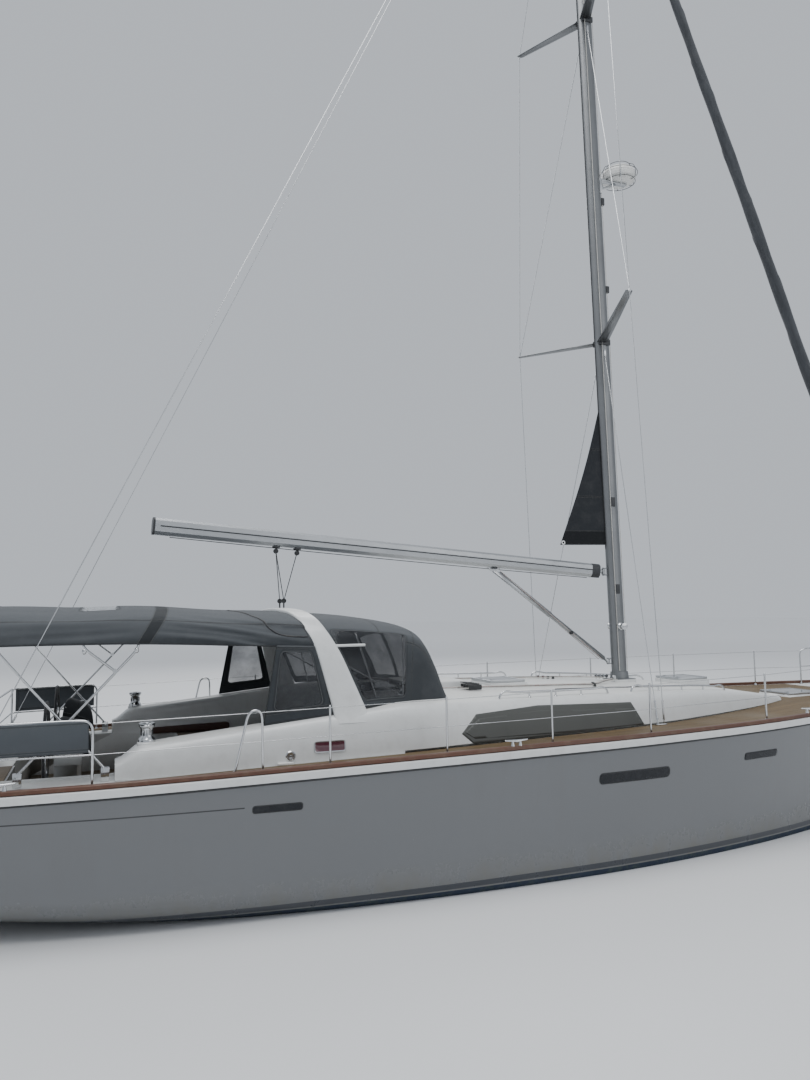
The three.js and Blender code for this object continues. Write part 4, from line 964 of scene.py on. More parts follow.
def dark_glass(name, tint, gloss=1.0):
    """Dark acrylic under a little dust; gloss is the share of its shine."""
    made, tree, shader = new_material(name, roughness=0.06, coat=0.5 * gloss, specular=0.6 * gloss)
    place = object_place(tree)
    dust = ramp(tree, noise(tree, place, 9.0, 6, 0.7), 0.5, 0.8)
    wire(
        tree, colour_mix(tree, times(tree, dust, 0.25 * gloss), tint, (0.16, 0.16, 0.155)),
        shader.inputs["Base Color"],
    )
    haze = 0.05 + 0.40 * (1 - gloss)
    wire(tree, plus(tree, haze, times(tree, dust, 0.18)), shader.inputs["Roughness"])
    wire(tree, bump(tree, noise(tree, place, 0.9, 2), 0.12, 0.02), shader.inputs["Normal"])
    return made


def metal(name, colour, roughness, spread, drawn):
    """Drawn or cast metal, clouded and specked."""
    made, tree, shader = new_material(name, roughness=roughness, metallic=1.0)
    lines = effect(tree, "drawn metal", Roughness=roughness, Spread=spread)
    place = object_place(tree)
    dull = tuple(c * 0.72 for c in colour)
    cloud = ramp(tree, lines["Cloud"], 0.42, 0.8, 0.0, 0.55)
    tone = colour_mix(tree, cloud, colour, dull)
    specks = times(tree, ramp(tree, noise(tree, place, 55.0, 4, 0.7), 0.66, 0.8), 0.35)
    wire(tree, colour_mix(tree, specks, tone, tuple(c * 0.45 for c in colour)), shader.inputs["Base Color"])
    wire(tree, lines["Roughness"], shader.inputs["Roughness"])
    wire(tree, bump(tree, lines["Height"], drawn, 0.0006), shader.inputs["Normal"])
    return made


def spar_metal(name, share, roughness, drawn):
    """The spars' alloy, in a share of their colour."""
    return metal(name, tuple(min(1.0, c * share) for c in colours().spars), roughness, 0.14, drawn)


def moulded(name, colour, roughness=0.5, grain=0.4):
    """Moulded plastic or rubber with a fine grained skin."""
    made, tree, shader = new_material(name, roughness=roughness)
    place = object_place(tree)
    skin = effect(
        tree, "mottle", Colour=tuple(colour), Drift=0.08, Dirt=0.12, Scale=3.0, Dirt_Colour=(0.2, 0.2, 0.19)
    )
    wire(tree, skin["Colour"], shader.inputs["Base Color"])
    wire(tree, ramp(tree, skin["Grain"], 0, 1, roughness - 0.1, roughness + 0.12), shader.inputs["Roughness"])
    wire(tree, bump(tree, noise(tree, place, 260.0, 3, 0.6), grain, 0.0006), shader.inputs["Normal"])
    return made


def bottom_paint(name):
    """Dull paint below the water, with a little growth."""
    made, tree, shader = new_material(name, roughness=0.8, specular=0.3)
    place = object_place(tree)
    coat = effect(
        tree, "mottle", Colour=tuple(colours().bottom), Drift=0.22, Dirt=0.5, Scale=1.6,
        Dirt_Colour=(0.10, 0.13, 0.07),
    )
    wire(tree, coat["Colour"], shader.inputs["Base Color"])
    wire(tree, ramp(tree, coat["Grain"], 0, 1, 0.7, 0.92), shader.inputs["Roughness"])
    growth = plus(tree, noise(tree, place, 28.0, 6, 0.7), coat["Dirt"])
    wire(tree, bump(tree, growth, 0.5, 0.003), shader.inputs["Normal"])
    return made


def rope(name, colour, fleck):
    """Braided line with a coloured fleck."""
    pitch = 330.0
    made, tree, shader = new_material(name, roughness=0.85, sheen=0.3, specular=0.2)
    place = object_place(tree)
    x, y, z = split(tree, place)
    lean = times(tree, plus(tree, plus(tree, x, y), z), pitch)
    other = times(tree, minus(tree, plus(tree, x, y), z), pitch)
    braid = times(tree, math_node(tree, "SINE", lean), math_node(tree, "SINE", other))
    tracer = ramp(tree, noise(tree, place, 120.0, 2), 0.58, 0.62)
    yarn = colour_mix(tree, tracer, colour, fleck)
    grubby = colour_mix(
        tree, ramp(tree, noise(tree, place, 6.0, 4), 0.45, 0.8, 0.0, 0.4), yarn, (0.16, 0.15, 0.13)
    )
    wire(tree, grubby, shader.inputs["Base Color"])
    wire(tree, bump(tree, braid, 0.6, 0.0015), shader.inputs["Normal"])
    return made


def rolled_sail(name):
    """Sailcloth rolled on itself, its colour settled in bands along the roll."""
    colour = tuple(colours().sail)
    made, tree, shader = new_material(name, roughness=0.8, sheen=0.15, specular=0.3)
    place = object_place(tree)
    field = effect(
        tree, "mottle", Colour=colour, Drift=0.16, Dirt=0.16, Scale=1.1, Dirt_Colour=(0.16, 0.16, 0.16)
    )
    folds = noise(tree, place, 1.0, 5, 0.6, stretch=(3.0, 26.0, 2.2))
    tone = colour_mix(
        tree, ramp(tree, folds, 0.4, 0.65, 0.0, 0.5), field["Colour"], tuple(c * 0.55 for c in colour)
    )
    wire(tree, tone, shader.inputs["Base Color"])
    wire(tree, ramp(tree, folds, 0.3, 0.7, 0.7, 0.88), shader.inputs["Roughness"])
    weave = effect(tree, "weave", Vector=place, Threads=2400.0)
    height = plus(tree, times(tree, folds, 3.0), times(tree, weave["Height"], 0.25))
    wire(tree, bump(tree, height, 0.45, 0.004), shader.inputs["Normal"])
    return made


def cloth(name, colour, windows=(), seams=(), bands=(), tint=(0.030, 0.034, 0.040), clear=0.42, crease=0.35):
    """Woven canopy cloth on a map in metres, with clear windows, stitched seams, darker bands and painted
    skylight where it faces up.
    """
    made, tree, shader = new_material(name, roughness=0.9, sheen=0.05, specular=0.16)
    mapped = tree.nodes.new("ShaderNodeUVMap")
    mapped.uv_map = "panel"
    chart = mapped.outputs[0]
    u, v, _ = split(tree, chart)
    place = object_place(tree)
    threads = effect(tree, "weave", Vector=chart, Threads=sizes().threads)
    field = effect(
        tree, "mottle", Colour=tuple(colour), Drift=0.13, Dirt=0.12, Scale=0.9, Dirt_Colour=(0.17, 0.17, 0.17)
    )
    facing = tree.nodes.new("ShaderNodeNewGeometry")
    # painted skylight: the cloth is lightened where it faces up, standing in for light from the sky
    sky = ramp(tree, split(tree, facing.outputs["Normal"])[2], 0.1, 0.95, 0.0, 0.75)
    tone = colour_mix(tree, sky, field["Colour"], tuple(min(1.0, c * 1.7 + 0.035) for c in colour))
    stitch = None
    for axis, at in seams:
        off = size_of(tree, minus(tree, u if axis == "u" else v, at))
        fold = math_node(tree, "LESS_THAN", off, 0.014)
        tone = colour_mix(tree, times(tree, fold, 0.55), tone, tuple(c * 0.45 for c in colour))
        run = math_node(tree, "SINE", times(tree, v if axis == "u" else u, 900.0))
        row = math_node(tree, "LESS_THAN", size_of(tree, minus(tree, off, 0.010)), 0.0012)
        one = times(tree, row, math_node(tree, "GREATER_THAN", run, -0.2))
        stitch = either(tree, stitch, one)
    for lo, hi, lean in bands:
        high = split(tree, place)[2]
        across = minus(tree, v, times(tree, minus(tree, high, 2.69), lean))
        tone = colour_mix(
            tree, times(tree, band(tree, across, lo, hi, 0.01), 0.75), tone, tuple(c * 0.35 for c in colour)
        )
        for edge in (lo + 0.012, hi - 0.012):
            row = band(tree, across, edge - 0.0012, edge + 0.0012, 0.0005)
            stitch = either(tree, stitch, row)
    pane = None
    for middle_u, middle_v, half_u, half_v, corner in windows:
        place_in = {
            "Middle_U": middle_u, "Middle_V": middle_v, "Half_U": half_u, "Half_V": half_v, "Corner": corner
        }
        out = effect(tree, "panel window", Map=chart, **place_in)["Outside"]
        inside = ramp(tree, out, 0.001, -0.001)
        rim = band(tree, out, 0.0, 0.034, 0.002)
        tone = colour_mix(tree, times(tree, rim, 0.5), tone, tuple(c * 0.5 for c in colour))
        row = band(tree, out, 0.010, 0.0125, 0.0006)
        stitch = either(tree, stitch, row)
        pane = either(tree, pane, inside)
    if stitch is not None:
        tone = colour_mix(tree, times(tree, stitch, 0.6), tone, (0.35, 0.35, 0.34))
    creases = noise(tree, place, 1.0, 4, 0.55, stretch=(1.6, 7.0, 9.0))
    folds = plus(tree, times(tree, creases, 6.0), times(tree, threads["Height"], 0.35))
    rough = ramp(tree, noise(tree, place, 30.0, 3), 0.3, 0.7, 0.82, 0.95)
    if pane is not None:
        haze = ramp(tree, noise(tree, place, 3.0, 5, 0.65), 0.35, 0.75)
        film = colour_mix(tree, times(tree, haze, 0.3), tint, (0.20, 0.21, 0.22))
        tone = colour_mix(tree, pane, tone, film)
        rough = plus(tree, times(tree, minus(tree, 1.0, pane), rough), times(tree, pane, 0.09))
        see = times(tree, pane, minus(tree, 1.0 - clear + 0.12, times(tree, haze, 0.22)))
        wire(tree, minus(tree, 1.0, see), shader.inputs["Alpha"])
        folds = times(tree, folds, ramp(tree, pane, 0, 1, 1.0, 0.35))
    wire(tree, tone, shader.inputs["Base Color"])
    wire(tree, rough, shader.inputs["Roughness"])
    wire(tree, bump(tree, folds, crease, 0.004), shader.inputs["Normal"])
    return made


# Canvas shapes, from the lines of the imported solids

BIMINI_LINES = (  # x, rise of the line, how far its edges draw in
    (-7.30, 0.060, 0.000),
    (-6.60, 0.063, 0.000),
    (-5.70, 0.048, 0.005),
    (-4.90, 0.012, 0.025),
    (-4.17, -0.034, 0.075),
)
BIMINI_PIPING = (  # shares across and along the cloth, from the middle to the fore edge
    (0.64, 0.795),
    (0.73, 0.815),
    (0.86, 0.845),
    (0.93, 0.865),
    (0.96, 0.890),
    (0.97, 0.925),
    (0.97, 0.985),
)
BIMINI_SECTION = (  # y and z of one half, from the edge to the middle
    (1.79, 2.69),
    (1.76, 2.79),
    (1.60, 2.95),
    (1.20, 3.03),
    (0.60, 3.07),
    (0.00, 3.085),
)
DODGER_LINES = (  # each line from the foot of its side to its middle, front line first
    (
        (-2.310, 1.420, 1.930), (-2.330, 1.370, 1.960), (-2.300, 1.150, 1.970),
        (-2.280, 0.800, 1.980), (-2.265, 0.300, 1.990), (-2.265, 0, 1.990),
    ),
    (
        (-2.580, 1.500, 1.960), (-2.520, 1.400, 2.320), (-2.440, 1.200, 2.385),
        (-2.410, 0.850, 2.425), (-2.398, 0.300, 2.443), (-2.396, 0, 2.443),
    ),
    (
        (-2.860, 1.580, 1.985), (-2.760, 1.450, 2.605), (-2.690, 1.230, 2.740),
        (-2.650, 0.880, 2.795), (-2.636, 0.300, 2.818), (-2.634, 0, 2.821),
    ),
    (
        (-3.200, 1.690, 1.995), (-3.300, 1.560, 2.670), (-3.300, 1.350, 2.855),
        (-3.300, 0.900, 2.942), (-3.300, 0.300, 2.974), (-3.300, 0, 2.978),
    ),
    (
        (-3.490, 1.775, 1.985), (-3.835, 1.640, 2.690), (-3.930, 1.390, 2.912),
        (-3.960, 0.900, 3.000), (-3.968, 0.300, 3.026), (-3.968, 0, 3.030),
    ),
)


def across_boat(half):
    """A line from port to starboard, from its port half."""
    return [Vector(p) for p in half] + [Vector((x, -y, z)) for x, y, z in reversed(half[:-1])]


def along(points, t):
    """A point on a smooth line through points, with t from 0 to 1."""
    spans = len(points) - 1
    k = min(int(t * spans), spans - 1)
    f = t * spans - k
    p0, p1, p2, p3 = (points[max(0, min(spans, k + d))] for d in (-1, 0, 1, 2))
    p = 2 * p1 + (p2 - p0) * f + (2 * p0 - 5 * p1 + 4 * p2 - p3) * f * f
    return 0.5 * (p + (3 * p1 - p0 - 3 * p2 + p3) * f**3)


def spread(rows, u, v):
    """A point of the smooth sheet through rows of points."""
    return along([along(row, u) for row in rows], v)


BIMINI_ROWS = [
    across_boat([(x, y - inward * (y > 1.5), z + up) for y, z in BIMINI_SECTION])
    for x, up, inward in BIMINI_LINES
]
DODGER_ROWS = [across_boat(line) for line in DODGER_LINES]


def normal_of(rows, u, v):
    """The outward normal of the sheet through rows."""
    e = 1e-3
    a = spread(rows, min(1, u + e), v) - spread(rows, max(0, u - e), v)
    b = spread(rows, u, min(1, v + e)) - spread(rows, u, max(0, v - e))
    n = a.cross(b).normalized()
    middle = spread(rows, u, v)
    return -n if n.dot(Vector((0, middle.y, middle.z - 1.9))) < 0 else n


def map_panel(piece, size, steps):
    """Gives a sheet its own map in metres, from its grid of rows and columns."""
    columns, rows = steps
    chart = piece.data.uv_layers.new(name="panel")
    stride = columns + 1
    for loop in piece.data.loops:
        row, column = divmod(loop.vertex_index, stride)
        chart.data[loop.index].uv = (size[0] * column / columns, size[1] * row / rows)


def sheet_piece(
    name, point, steps, size, material, thickness=0.003, replaced=None
):
    """A sheet of cloth through point(u, v), with its map and its thickness, hiding the part that it replaces.
    """
    bm = bmesh.new()
    add_sheet(bm, steps[1], steps[0], point)
    area = sum(f.calc_area() for f in bm.faces)
    piece = finish(name, bm, material, slot="canvas", smooth=180)
    map_panel(piece, size, steps)
    upper = piece.modifiers.new("cloth thickness", "SOLIDIFY")
    upper.thickness = thickness
    upper.offset = 0.0
    if replaced:
        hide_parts(replaced)
    return piece


def arc_length(points):
    return sum((b - a).length for a, b in zip(points, points[1:]))


def smooth_copy(name, source, material, body=BOAT, angle=40.0):
    """A merged, smooth-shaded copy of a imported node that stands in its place."""
    bm = bmesh.new()
    bm.from_mesh(node(source).data)
    bmesh.ops.remove_doubles(bm, verts=bm.verts, dist=2e-5)
    piece = finish(name, bm, material, body, smooth=angle)
    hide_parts(source)
    return piece


def paint_node(name, material):
    """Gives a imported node's own object its finish."""
    materials = node(name).data.materials
    materials.clear()
    materials.append(finish_called(material))


def mirrored_pair(make):
    """Calls make for the port side and the starboard side."""
    for side, sign in (("port", 1.0), ("starboard", -1.0)):
        make(side, sign)


# What a user would change


class YachtSizes(bpy.types.PropertyGroup):
    plank: bpy.props.FloatProperty(
        name="Plank width", description="Width of a teak deck plank", default=0.052, min=0.02, max=0.2,
        unit="LENGTH",
    )
    seam: bpy.props.FloatProperty(
        name="Caulked seam", description="Width of the seam between planks", default=0.006, min=0.001,
        max=0.02, unit="LENGTH",
    )
    threads: bpy.props.FloatProperty(
        name="Cloth threads", description="Thread turns in each metre of cloth", default=2600.0, min=100.0,
        max=9000.0,
    )
    crease: bpy.props.FloatProperty(
        name="Canopy crease", description="How far the canopy's creases stand out", default=0.017, min=0.0,
        max=0.03, unit="LENGTH",
    )
    line: bpy.props.FloatProperty(
        name="Running line", description="Radius of the running rigging", default=0.006, min=0.003, max=0.012,
        unit="LENGTH",
    )


class YachtColours(bpy.types.PropertyGroup):
    hull: bpy.props.FloatVectorProperty(
        name="Topsides", description="Colour of the hull's sides", subtype="COLOR", size=3, min=0, max=1,
        default=(0.150, 0.156, 0.163),
    )
    bottom: bpy.props.FloatVectorProperty(
        name="Bottom", description="Colour of the bottom paint", subtype="COLOR", size=3, min=0, max=1,
        default=(0.018, 0.03, 0.055),
    )
    gelcoat: bpy.props.FloatVectorProperty(
        name="Deck", description="Colour of the deck mouldings", subtype="COLOR", size=3, min=0, max=1,
        default=(0.66, 0.67, 0.665),
    )
    teak: bpy.props.FloatVectorProperty(
        name="Teak", description="Colour of the teak", subtype="COLOR", size=3, min=0, max=1,
        default=(0.150, 0.102, 0.050),
    )
    canvas: bpy.props.FloatVectorProperty(
        name="Canvas", description="Colour of the canopy cloth", subtype="COLOR", size=3, min=0, max=1,
        default=(0.045, 0.050, 0.055),
    )
    sail: bpy.props.FloatVectorProperty(
        name="Sail cover", description="Colour of the rolled sails", subtype="COLOR", size=3, min=0, max=1,
        default=(0.055, 0.060, 0.068),
    )
    spars: bpy.props.FloatVectorProperty(
        name="Spars", description="Colour of the mast and boom", subtype="COLOR", size=3, min=0, max=1,
        default=(0.50, 0.515, 0.53),
    )


def sizes():
    return bpy.context.scene.yacht_sizes


FINISHES = {  # name: the slot that it goes to, what makes it, and its numbers
    "hull paint": ("hull_paint", hull_paint),
    "bottom paint": ("antifouling", bottom_paint),
    "white gelcoat": ("gelcoat", gelcoat),
    "white moulding": ("gelcoat", moulded, (0.72, 0.72, 0.70), 0.35, 0.15),
    "black moulding": ("black_plastic", moulded, (0.022, 0.023, 0.025)),
    "black spar finish": ("black_plastic", moulded, (0.028, 0.030, 0.034), 0.38, 0.2),
    "side deck teak": ("teak", teak_material, deck_across),
    "cockpit teak": ("teak", teak_material, straight_across, 0.25),
    "varnished teak": ("teak", varnished_teak),
    "smoked acrylic": ("dark_glass", dark_glass, (0.012, 0.014, 0.017)),
    "wine smoked acrylic": ("dark_glass", dark_glass, (0.10, 0.030, 0.045)),
    "grey side window": ("dark_glass", dark_glass, (0.082, 0.085, 0.080), 0.25),
    "hull port acrylic": ("dark_glass", dark_glass, (0.006, 0.008, 0.012), 0.45),
    "polished stainless": ("stainless", metal, (0.62, 0.63, 0.64), 0.16, 0.08, 0.05),
    "galvanised steel": ("stainless", metal, (0.42, 0.43, 0.44), 0.48, 0.25, 0.4),
    "dull bronze": ("bronze", metal, (0.36, 0.24, 0.10), 0.42, 0.2, 0.3),
    "silver anodised alloy": ("mast_alloy", spar_metal, 1.0, 0.36, 0.12),
    "grey mast alloy": ("mast_alloy", spar_metal, 0.47, 0.42, 0.12),
    "pale boom alloy": ("mast_alloy", spar_metal, 0.95, 0.40, 0.10),
    "brown vinyl": ("canvas", brown_vinyl),
    "canvas hem": ("canvas", lambda name: moulded(name, tuple(c * 0.5 for c in colours().canvas), 0.85, 0.6)),
    "rolled sail cloth": ("canvas", rolled_sail),
    "white braid": ("canvas", rope, (0.62, 0.61, 0.57), (0.5, 0.49, 0.46)),
    "red fleck braid": ("canvas", rope, (0.55, 0.53, 0.50), (0.42, 0.03, 0.03)),
    "black braid": ("canvas", rope, (0.03, 0.031, 0.034), (0.09, 0.09, 0.1)),
}


def finish_called(name):
    """The material of a finish, made when it is first asked for."""
    _, maker, *numbers = FINISHES[name]
    return bpy.data.materials.get(name) or maker(name, *numbers)


# Operators


class YACHT_OT_stage(bpy.types.Operator):
    """Lays the floor at the waterline, lights it softly and sets the camera"""

    bl_idname = "yacht.stage"
    bl_label = "Stage"

    def execute(self, context):
        made, tree, shader = new_material("studio floor", roughness=0.75, specular=0.3)
        place = object_place(tree)
        far = tree.nodes.new("ShaderNodeVectorMath")
        far.operation = "LENGTH"
        wire(tree, place, far.inputs[0])
        near = colour_mix(tree, noise(tree, place, 0.2, 3), (0.70, 0.71, 0.72), (0.76, 0.765, 0.77))
        tone = colour_mix(tree, ramp(tree, far.outputs["Value"], 18.0, 70.0), near, (0.97, 0.97, 0.97))
        wire(tree, tone, shader.inputs["Base Color"])
        bm = bmesh.new()
        bmesh.ops.create_circle(bm, cap_ends=True, segments=96, radius=170.0)
        mesh = bpy.data.meshes.new("floor")
        bm.to_mesh(mesh)
        bm.free()
        mesh.materials.append(made)
        floor = bpy.data.objects.new("floor", mesh)
        context.scene.collection.objects.link(floor)
        world = bpy.data.worlds.new("studio")
        context.scene.world = world
        world.use_nodes = True
        sky = world.node_tree.nodes["Background"]
        sky.inputs["Color"].default_value = (0.80, 0.85, 0.92, 1)
        sky.inputs["Strength"].default_value = 0.72
        for name, spot, aim, size, power in (
            ("key", (-7, -7, 30), (-1, 0, 3), 22, 6600),
            ("fill", (16, -24, 12), (0, 0, 3), 16, 900),
            ("back", (4, 26, 22), (0, 0, 4), 18, 3000),
        ):
            light = bpy.data.lights.new(name, "AREA")
            light.size = size
            light.energy = power
            lamp = bpy.data.objects.new(name, light)
            lamp.location = spot
            lamp.rotation_euler = (Vector(aim) - Vector(spot)).to_track_quat("-Z", "Y").to_euler()
            context.scene.collection.objects.link(lamp)
        context.scene.camera = self.camera(context)
        return {"FINISHED"}

    def camera(self, context):
        """The camera as the photograph was taken: level heading, pitch and roll in degrees."""
        spot, heading, pitch, roll = Vector((-6.175, -10.502, 3.059)), 20.021, 4.743, -0.83
        a, t, r = (math.radians(d) for d in (heading, pitch, roll))
        ahead = Vector((math.sin(a), math.cos(a), 0))
        right = Vector((math.cos(a), -math.sin(a), 0))
        up = upward(1)
        forward = ahead * math.cos(t) + up * math.sin(t)
        raised = up * math.cos(t) - ahead * math.sin(t)
        side = right * math.cos(r) + raised * math.sin(r)
        top = raised * math.cos(r) - right * math.sin(r)
        lens = bpy.data.cameras.new("photograph")
        lens.sensor_width = 36.0
        lens.sensor_fit = "AUTO"
        lens.lens = 27.46
        lens.clip_end = 400
        shot = bpy.data.objects.new("photograph", lens)
        shot.matrix_world = Matrix.Translation(spot) @ Matrix((side, top, -forward)).transposed().to_4x4()
        context.scene.collection.objects.link(shot)
        return shot


class YACHT_OT_hull(bpy.types.Operator):
    """Finishes the hull, its strakes and windows, and everything below the water"""

    bl_idname = "yacht.hull"
    bl_label = "Hull"

    def execute(self, context):
        self.shell()
        smooth_copy("keel_ballast", "keel", "bottom paint", angle=45)
        smooth_copy("rudder_blade", "rudder", "bottom paint", "rudder", 45)
        smooth_copy("drive_strut", "drive_leg", BLACK, angle=40)
        smooth_copy("propeller_blades", "propeller", "dull bronze", "propeller", 50)
        mirrored_pair(self.side)
        return {"FINISHED"}

    def shell(self):
        """The hull's skin, cut out for the cockpit, the companionway, the platform and the rudder's stock."""
        skin_share = 0.97

        def point(u, v):
            x = -HULL_LENGTH / 2 + HULL_LENGTH * u
            if v > skin_share:
                across = 1 - 2 * (v - skin_share) / (1 - skin_share)
                return Vector((x, deck_half(x) * -across, sheer_z(x)))
            t = 4 * v / skin_share - 2
            p = hull_point(x, abs(t))
            p.y = math.copysign(p.y, -t)
            return p

        bm = bmesh.new()
        add_loft(bm, 150, 66, point)
        cockpit = box_cutter((-7.40, -1.5, 0.95), (-3.08, 1.5, 2.2))
        companionway = box_cutter((-3.085, -0.35, 0.95), (-2.4, 0.35, 2.2))
        platform = box_cutter((-7.6, -1.005, 0.255), (-7.395, 1.005, 2.2))

        def stock(tool):
            add_bar(tool, (-6.5, 0, -0.6), (-6.5, 0, 0.905), 0.0605, sides=32)

        bm = carved(bm, [cockpit, companionway, platform, stock])
        for y in (-0.76, 0.76):
            for side in (-0.0455, 0.0455):
                add_block(bm, (-7.518, y + side - 0.0135, 0.19), (-7.49, y + side + 0.0135, 0.245), 0.003)
        shell = finish("hull_shell", bm, "hull paint", smooth=30)
        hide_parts("hull")

    def side(self, side, sign):
        window = self.pane(f"hull_window_{side}", sign, -0.9, 0.1, 1.04, 1.17, 0.05)
        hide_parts(f"hull_window_{side}")
        self.strake(side, sign)
        for number, x0, x1, z0, z1 in HULL_PORTS:
            self.pane(f"hull_port_{number}_{side}", sign, x0, x1, z0, z1, 0.030)

    def strake(self, side, sign):
        """The white flange over the hull's edge, the teak toe rail on it and the rubber strip under it."""
        for name, profile, material in (
            ("gunwale_moulding", GUNWALE_PROFILE, WHITE),
            ("toe_rail", TOE_RAIL_PROFILE, "varnished teak"),
        ):
            def point(u, v):
                x = -7.495 + 14.56 * u
                out, up = profile[round(v * len(profile)) % len(profile)]
                return (x, sign * (deck_half(x) + out), sheer_z(x) + up)

            bm = bmesh.new()
            add_loft(bm, 160, len(profile), point)
            soften(finish(f"{name}_{side}", bm, material, smooth=30), 0.003)
        stations = [-7.49 + 0.16 * i for i in range(92)]
        line = [(x, sign * (hull_y(x, sheer_z(x) - 0.041) + 0.003), sheer_z(x) - 0.041) for x in stations]
        curve_piece(f"rubbing_strip_{side}", [line], 0.011, BLACK, smooth=True)

    def pane(self, name, sign, x0, x1, z0, z1, corner):
        """A fixed window set flush in the topsides, with a thin black seal around it."""
        outline = rounded_outline(x0, x1, z0, z1, corner)
        laid_pane(f"{name}_seal", outline, (40, 6), hull_y, sign, 0.002, 0.0, BLACK)
        return laid_pane(f"{name}_pane", outline, (40, 6), hull_y, sign, 0.004, 0.010, "hull port acrylic")


GUNWALE_PROFILE = (  # how far out from the deck's edge, and how far above the sheer
    (-0.079, -0.012),
    (-0.079, 0.050),
    (-0.010, 0.050),
    (0.002, 0.044),
    (0.006, 0.034),
    (0.006, -0.030),
    (-0.004, -0.030),
)
TOE_RAIL_PROFILE = (
    (-0.072, 0.0505),
    (-0.072, 0.090),
    (-0.062, 0.100),
    (-0.022, 0.100),
    (-0.008, 0.091),
    (-0.003, 0.060),
    (-0.016, 0.057),
    (-0.016, 0.0505),
)
HULL_PORTS = (  # number, x from and to, z from and to
    (1, -4.80, -4.30, 1.085, 1.165),
    (2, 1.30, 1.90, 1.120, 1.215),
    (3, 3.10, 3.60, 1.165, 1.255),
)


class YACHT_OT_deck(bpy.types.Operator):
    """Finishes the decks and coachroof and adds cleats, tracks, hatches and handrails"""

    bl_idname = "yacht.deck"
    bl_label = "Deck"

    def execute(self, context):
        self.plate()
        self.coachroof()
        paint_node("teak_deck", "side deck teak")
        for name in ("foredeck_hatch", "saloon_hatch", "cabin_hatch"):
            self.hatch(name)
        self.hatch("companionway_hatch", frame=False)
        paint_node("companionway_door", "smoked acrylic")
        smooth_copy("locker_lid_shell", "anchor_locker_lid", WHITE, "anchor locker lid")
        mirrored_pair(self.side)
        return {"FINISHED"}

    def plate(self):
        """The deck's own plate, up to the gunwales."""
        plate = smooth_copy("deck_plate", "deck", WHITE, angle=30)
        trim_faces(plate, lambda p: abs(p.y) > deck_half(p.x) - 0.120 and p.z > sheer_z(p.x) + 0.010)

    def coachroof(self):
        """The coachroof's moulding, its hatch garage and runway, the plinths and the mast's step."""
        skin_share = 0.94

        def point(u, v):
            x = COACHROOF_AFT + COACHROOF_LENGTH * u
            half = roof_half(x)
            if v > skin_share:
                across = 1 - 2 * (v - skin_share) / (1 - skin_share)
                return Vector((x, -half[0].y * across, half[0].z))
            ring = half + [Vector((p.x, -p.y, p.z)) for p in reversed(half[:-1])]
            return along(ring, v / skin_share)

        bm = bmesh.new()
        add_loft(bm, 110, 68, point)
        companionway = box_cutter((-3.2, -0.35, 0.95), (-2.4, 0.35, 2.2))
        bm = carved(bm, [companionway])
        for x0, x1, half, top in ((-1.27, -0.705, 0.32, 2.030), (1.83, 2.395, 0.28, 1.935)):
            add_block(bm, (x0, -half, top - 0.16), (x1, half, top), 0.010, 3)
        add_block(bm, (MAST_FOOT.x - 0.19, -0.15, 1.85), (MAST_FOOT.x + 0.19, 0.15, MAST_FOOT.z), 0.012, 3)
        pad = [(0, 0), (0.082, 0), (0.078, 0.056), (0.070, 0.064), (0, 0.064)]
        for sign in (1, -1):
            add_turned(bm, pad, (-2.78, 1.05 * sign, roof_z(-2.78) - 0.053), 40)
        shell = finish("coachroof_shell", bm, WHITE, smooth=34)
        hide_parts("coachroof")
        bm = bmesh.new()
        add_block(bm, (-2.46, -0.47, 1.9), (-1.68, 0.47, 2.105), 0.022, 4)
        bm = carved(bm, [box_cutter((-3.2, -0.412, 2.025), (-1.72, 0.412, 2.087))])
        finish("hatch_garage", bm, WHITE, smooth=34)
        bm = bmesh.new()
        add_block(bm, (-3.08, -0.43, 1.90), (-1.69, 0.43, 2.025), 0.010, 3)
        bm = carved(bm, [companionway])
        finish("hatch_runway", bm, WHITE, smooth=34)

    def side_window(self, side, sign):
        """The long pane in the coachroof's side, on the grey panel that frames it."""
        grey = "grey side window"
        laid_pane(f"side_window_panel_{side}", SIDE_PANEL, (64, 10), roof_y, sign, 0.003, 0.0, grey)
        pane = laid_pane(f"side_window_pane_{side}", SIDE_WINDOW, (64, 10), roof_y, sign, 0.006, 0.004, grey)
        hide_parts(f"side_window_{side}")

    def hatch(self, name, frame=True):
        """A lid's pane in its metal frame, with hinges and handles."""
        body = name.replace("_", " ")
        lo, hi = corners(name)
        pane = smooth_copy(name + "_pane", name, "smoked acrylic", body)
        soften(pane, 0.004)
        bm = bmesh.new()
        if frame:
            fore = hi.x - 0.022
            for a, b in (
                ((lo.x - 0.012, lo.y - 0.012), (fore + 0.012, lo.y + 0.022)),
                ((lo.x - 0.012, hi.y - 0.022), (fore + 0.012, hi.y + 0.012)),
                ((lo.x - 0.012, lo.y + 0.023), (lo.x + 0.022, hi.y - 0.023)),
                ((fore - 0.022, lo.y + 0.023), (fore + 0.012, hi.y - 0.023)),
            ):
                add_block(bm, (*a, lo.z + 0.002), (*b, hi.z + 0.005), 0.004)
            for y in (-0.5, 0.5):
                middle = (lo.y + hi.y) / 2 + y * (hi.y - lo.y) * 0.6
                add_bar(bm, (lo.x + 0.07, middle, hi.z), (lo.x + 0.07, middle, hi.z + 0.012), 0.022, sides=18)
        else:
            for y in (-0.2, 0.2):
                add_bar(
                    bm, (lo.x + 0.05, y - 0.06, hi.z + 0.014), (lo.x + 0.05, y + 0.06, hi.z + 0.014), 0.007,
                    sides=10,
                )
                for foot in (-0.055, 0.055):
                    add_bar(
                        bm, (lo.x + 0.05, y + foot, hi.z - 0.002), (lo.x + 0.05, y + foot, hi.z + 0.016),
                        0.006, sides=10,
                    )
        finish(name + "_frame", bm, "silver anodised alloy", body, smooth=30)

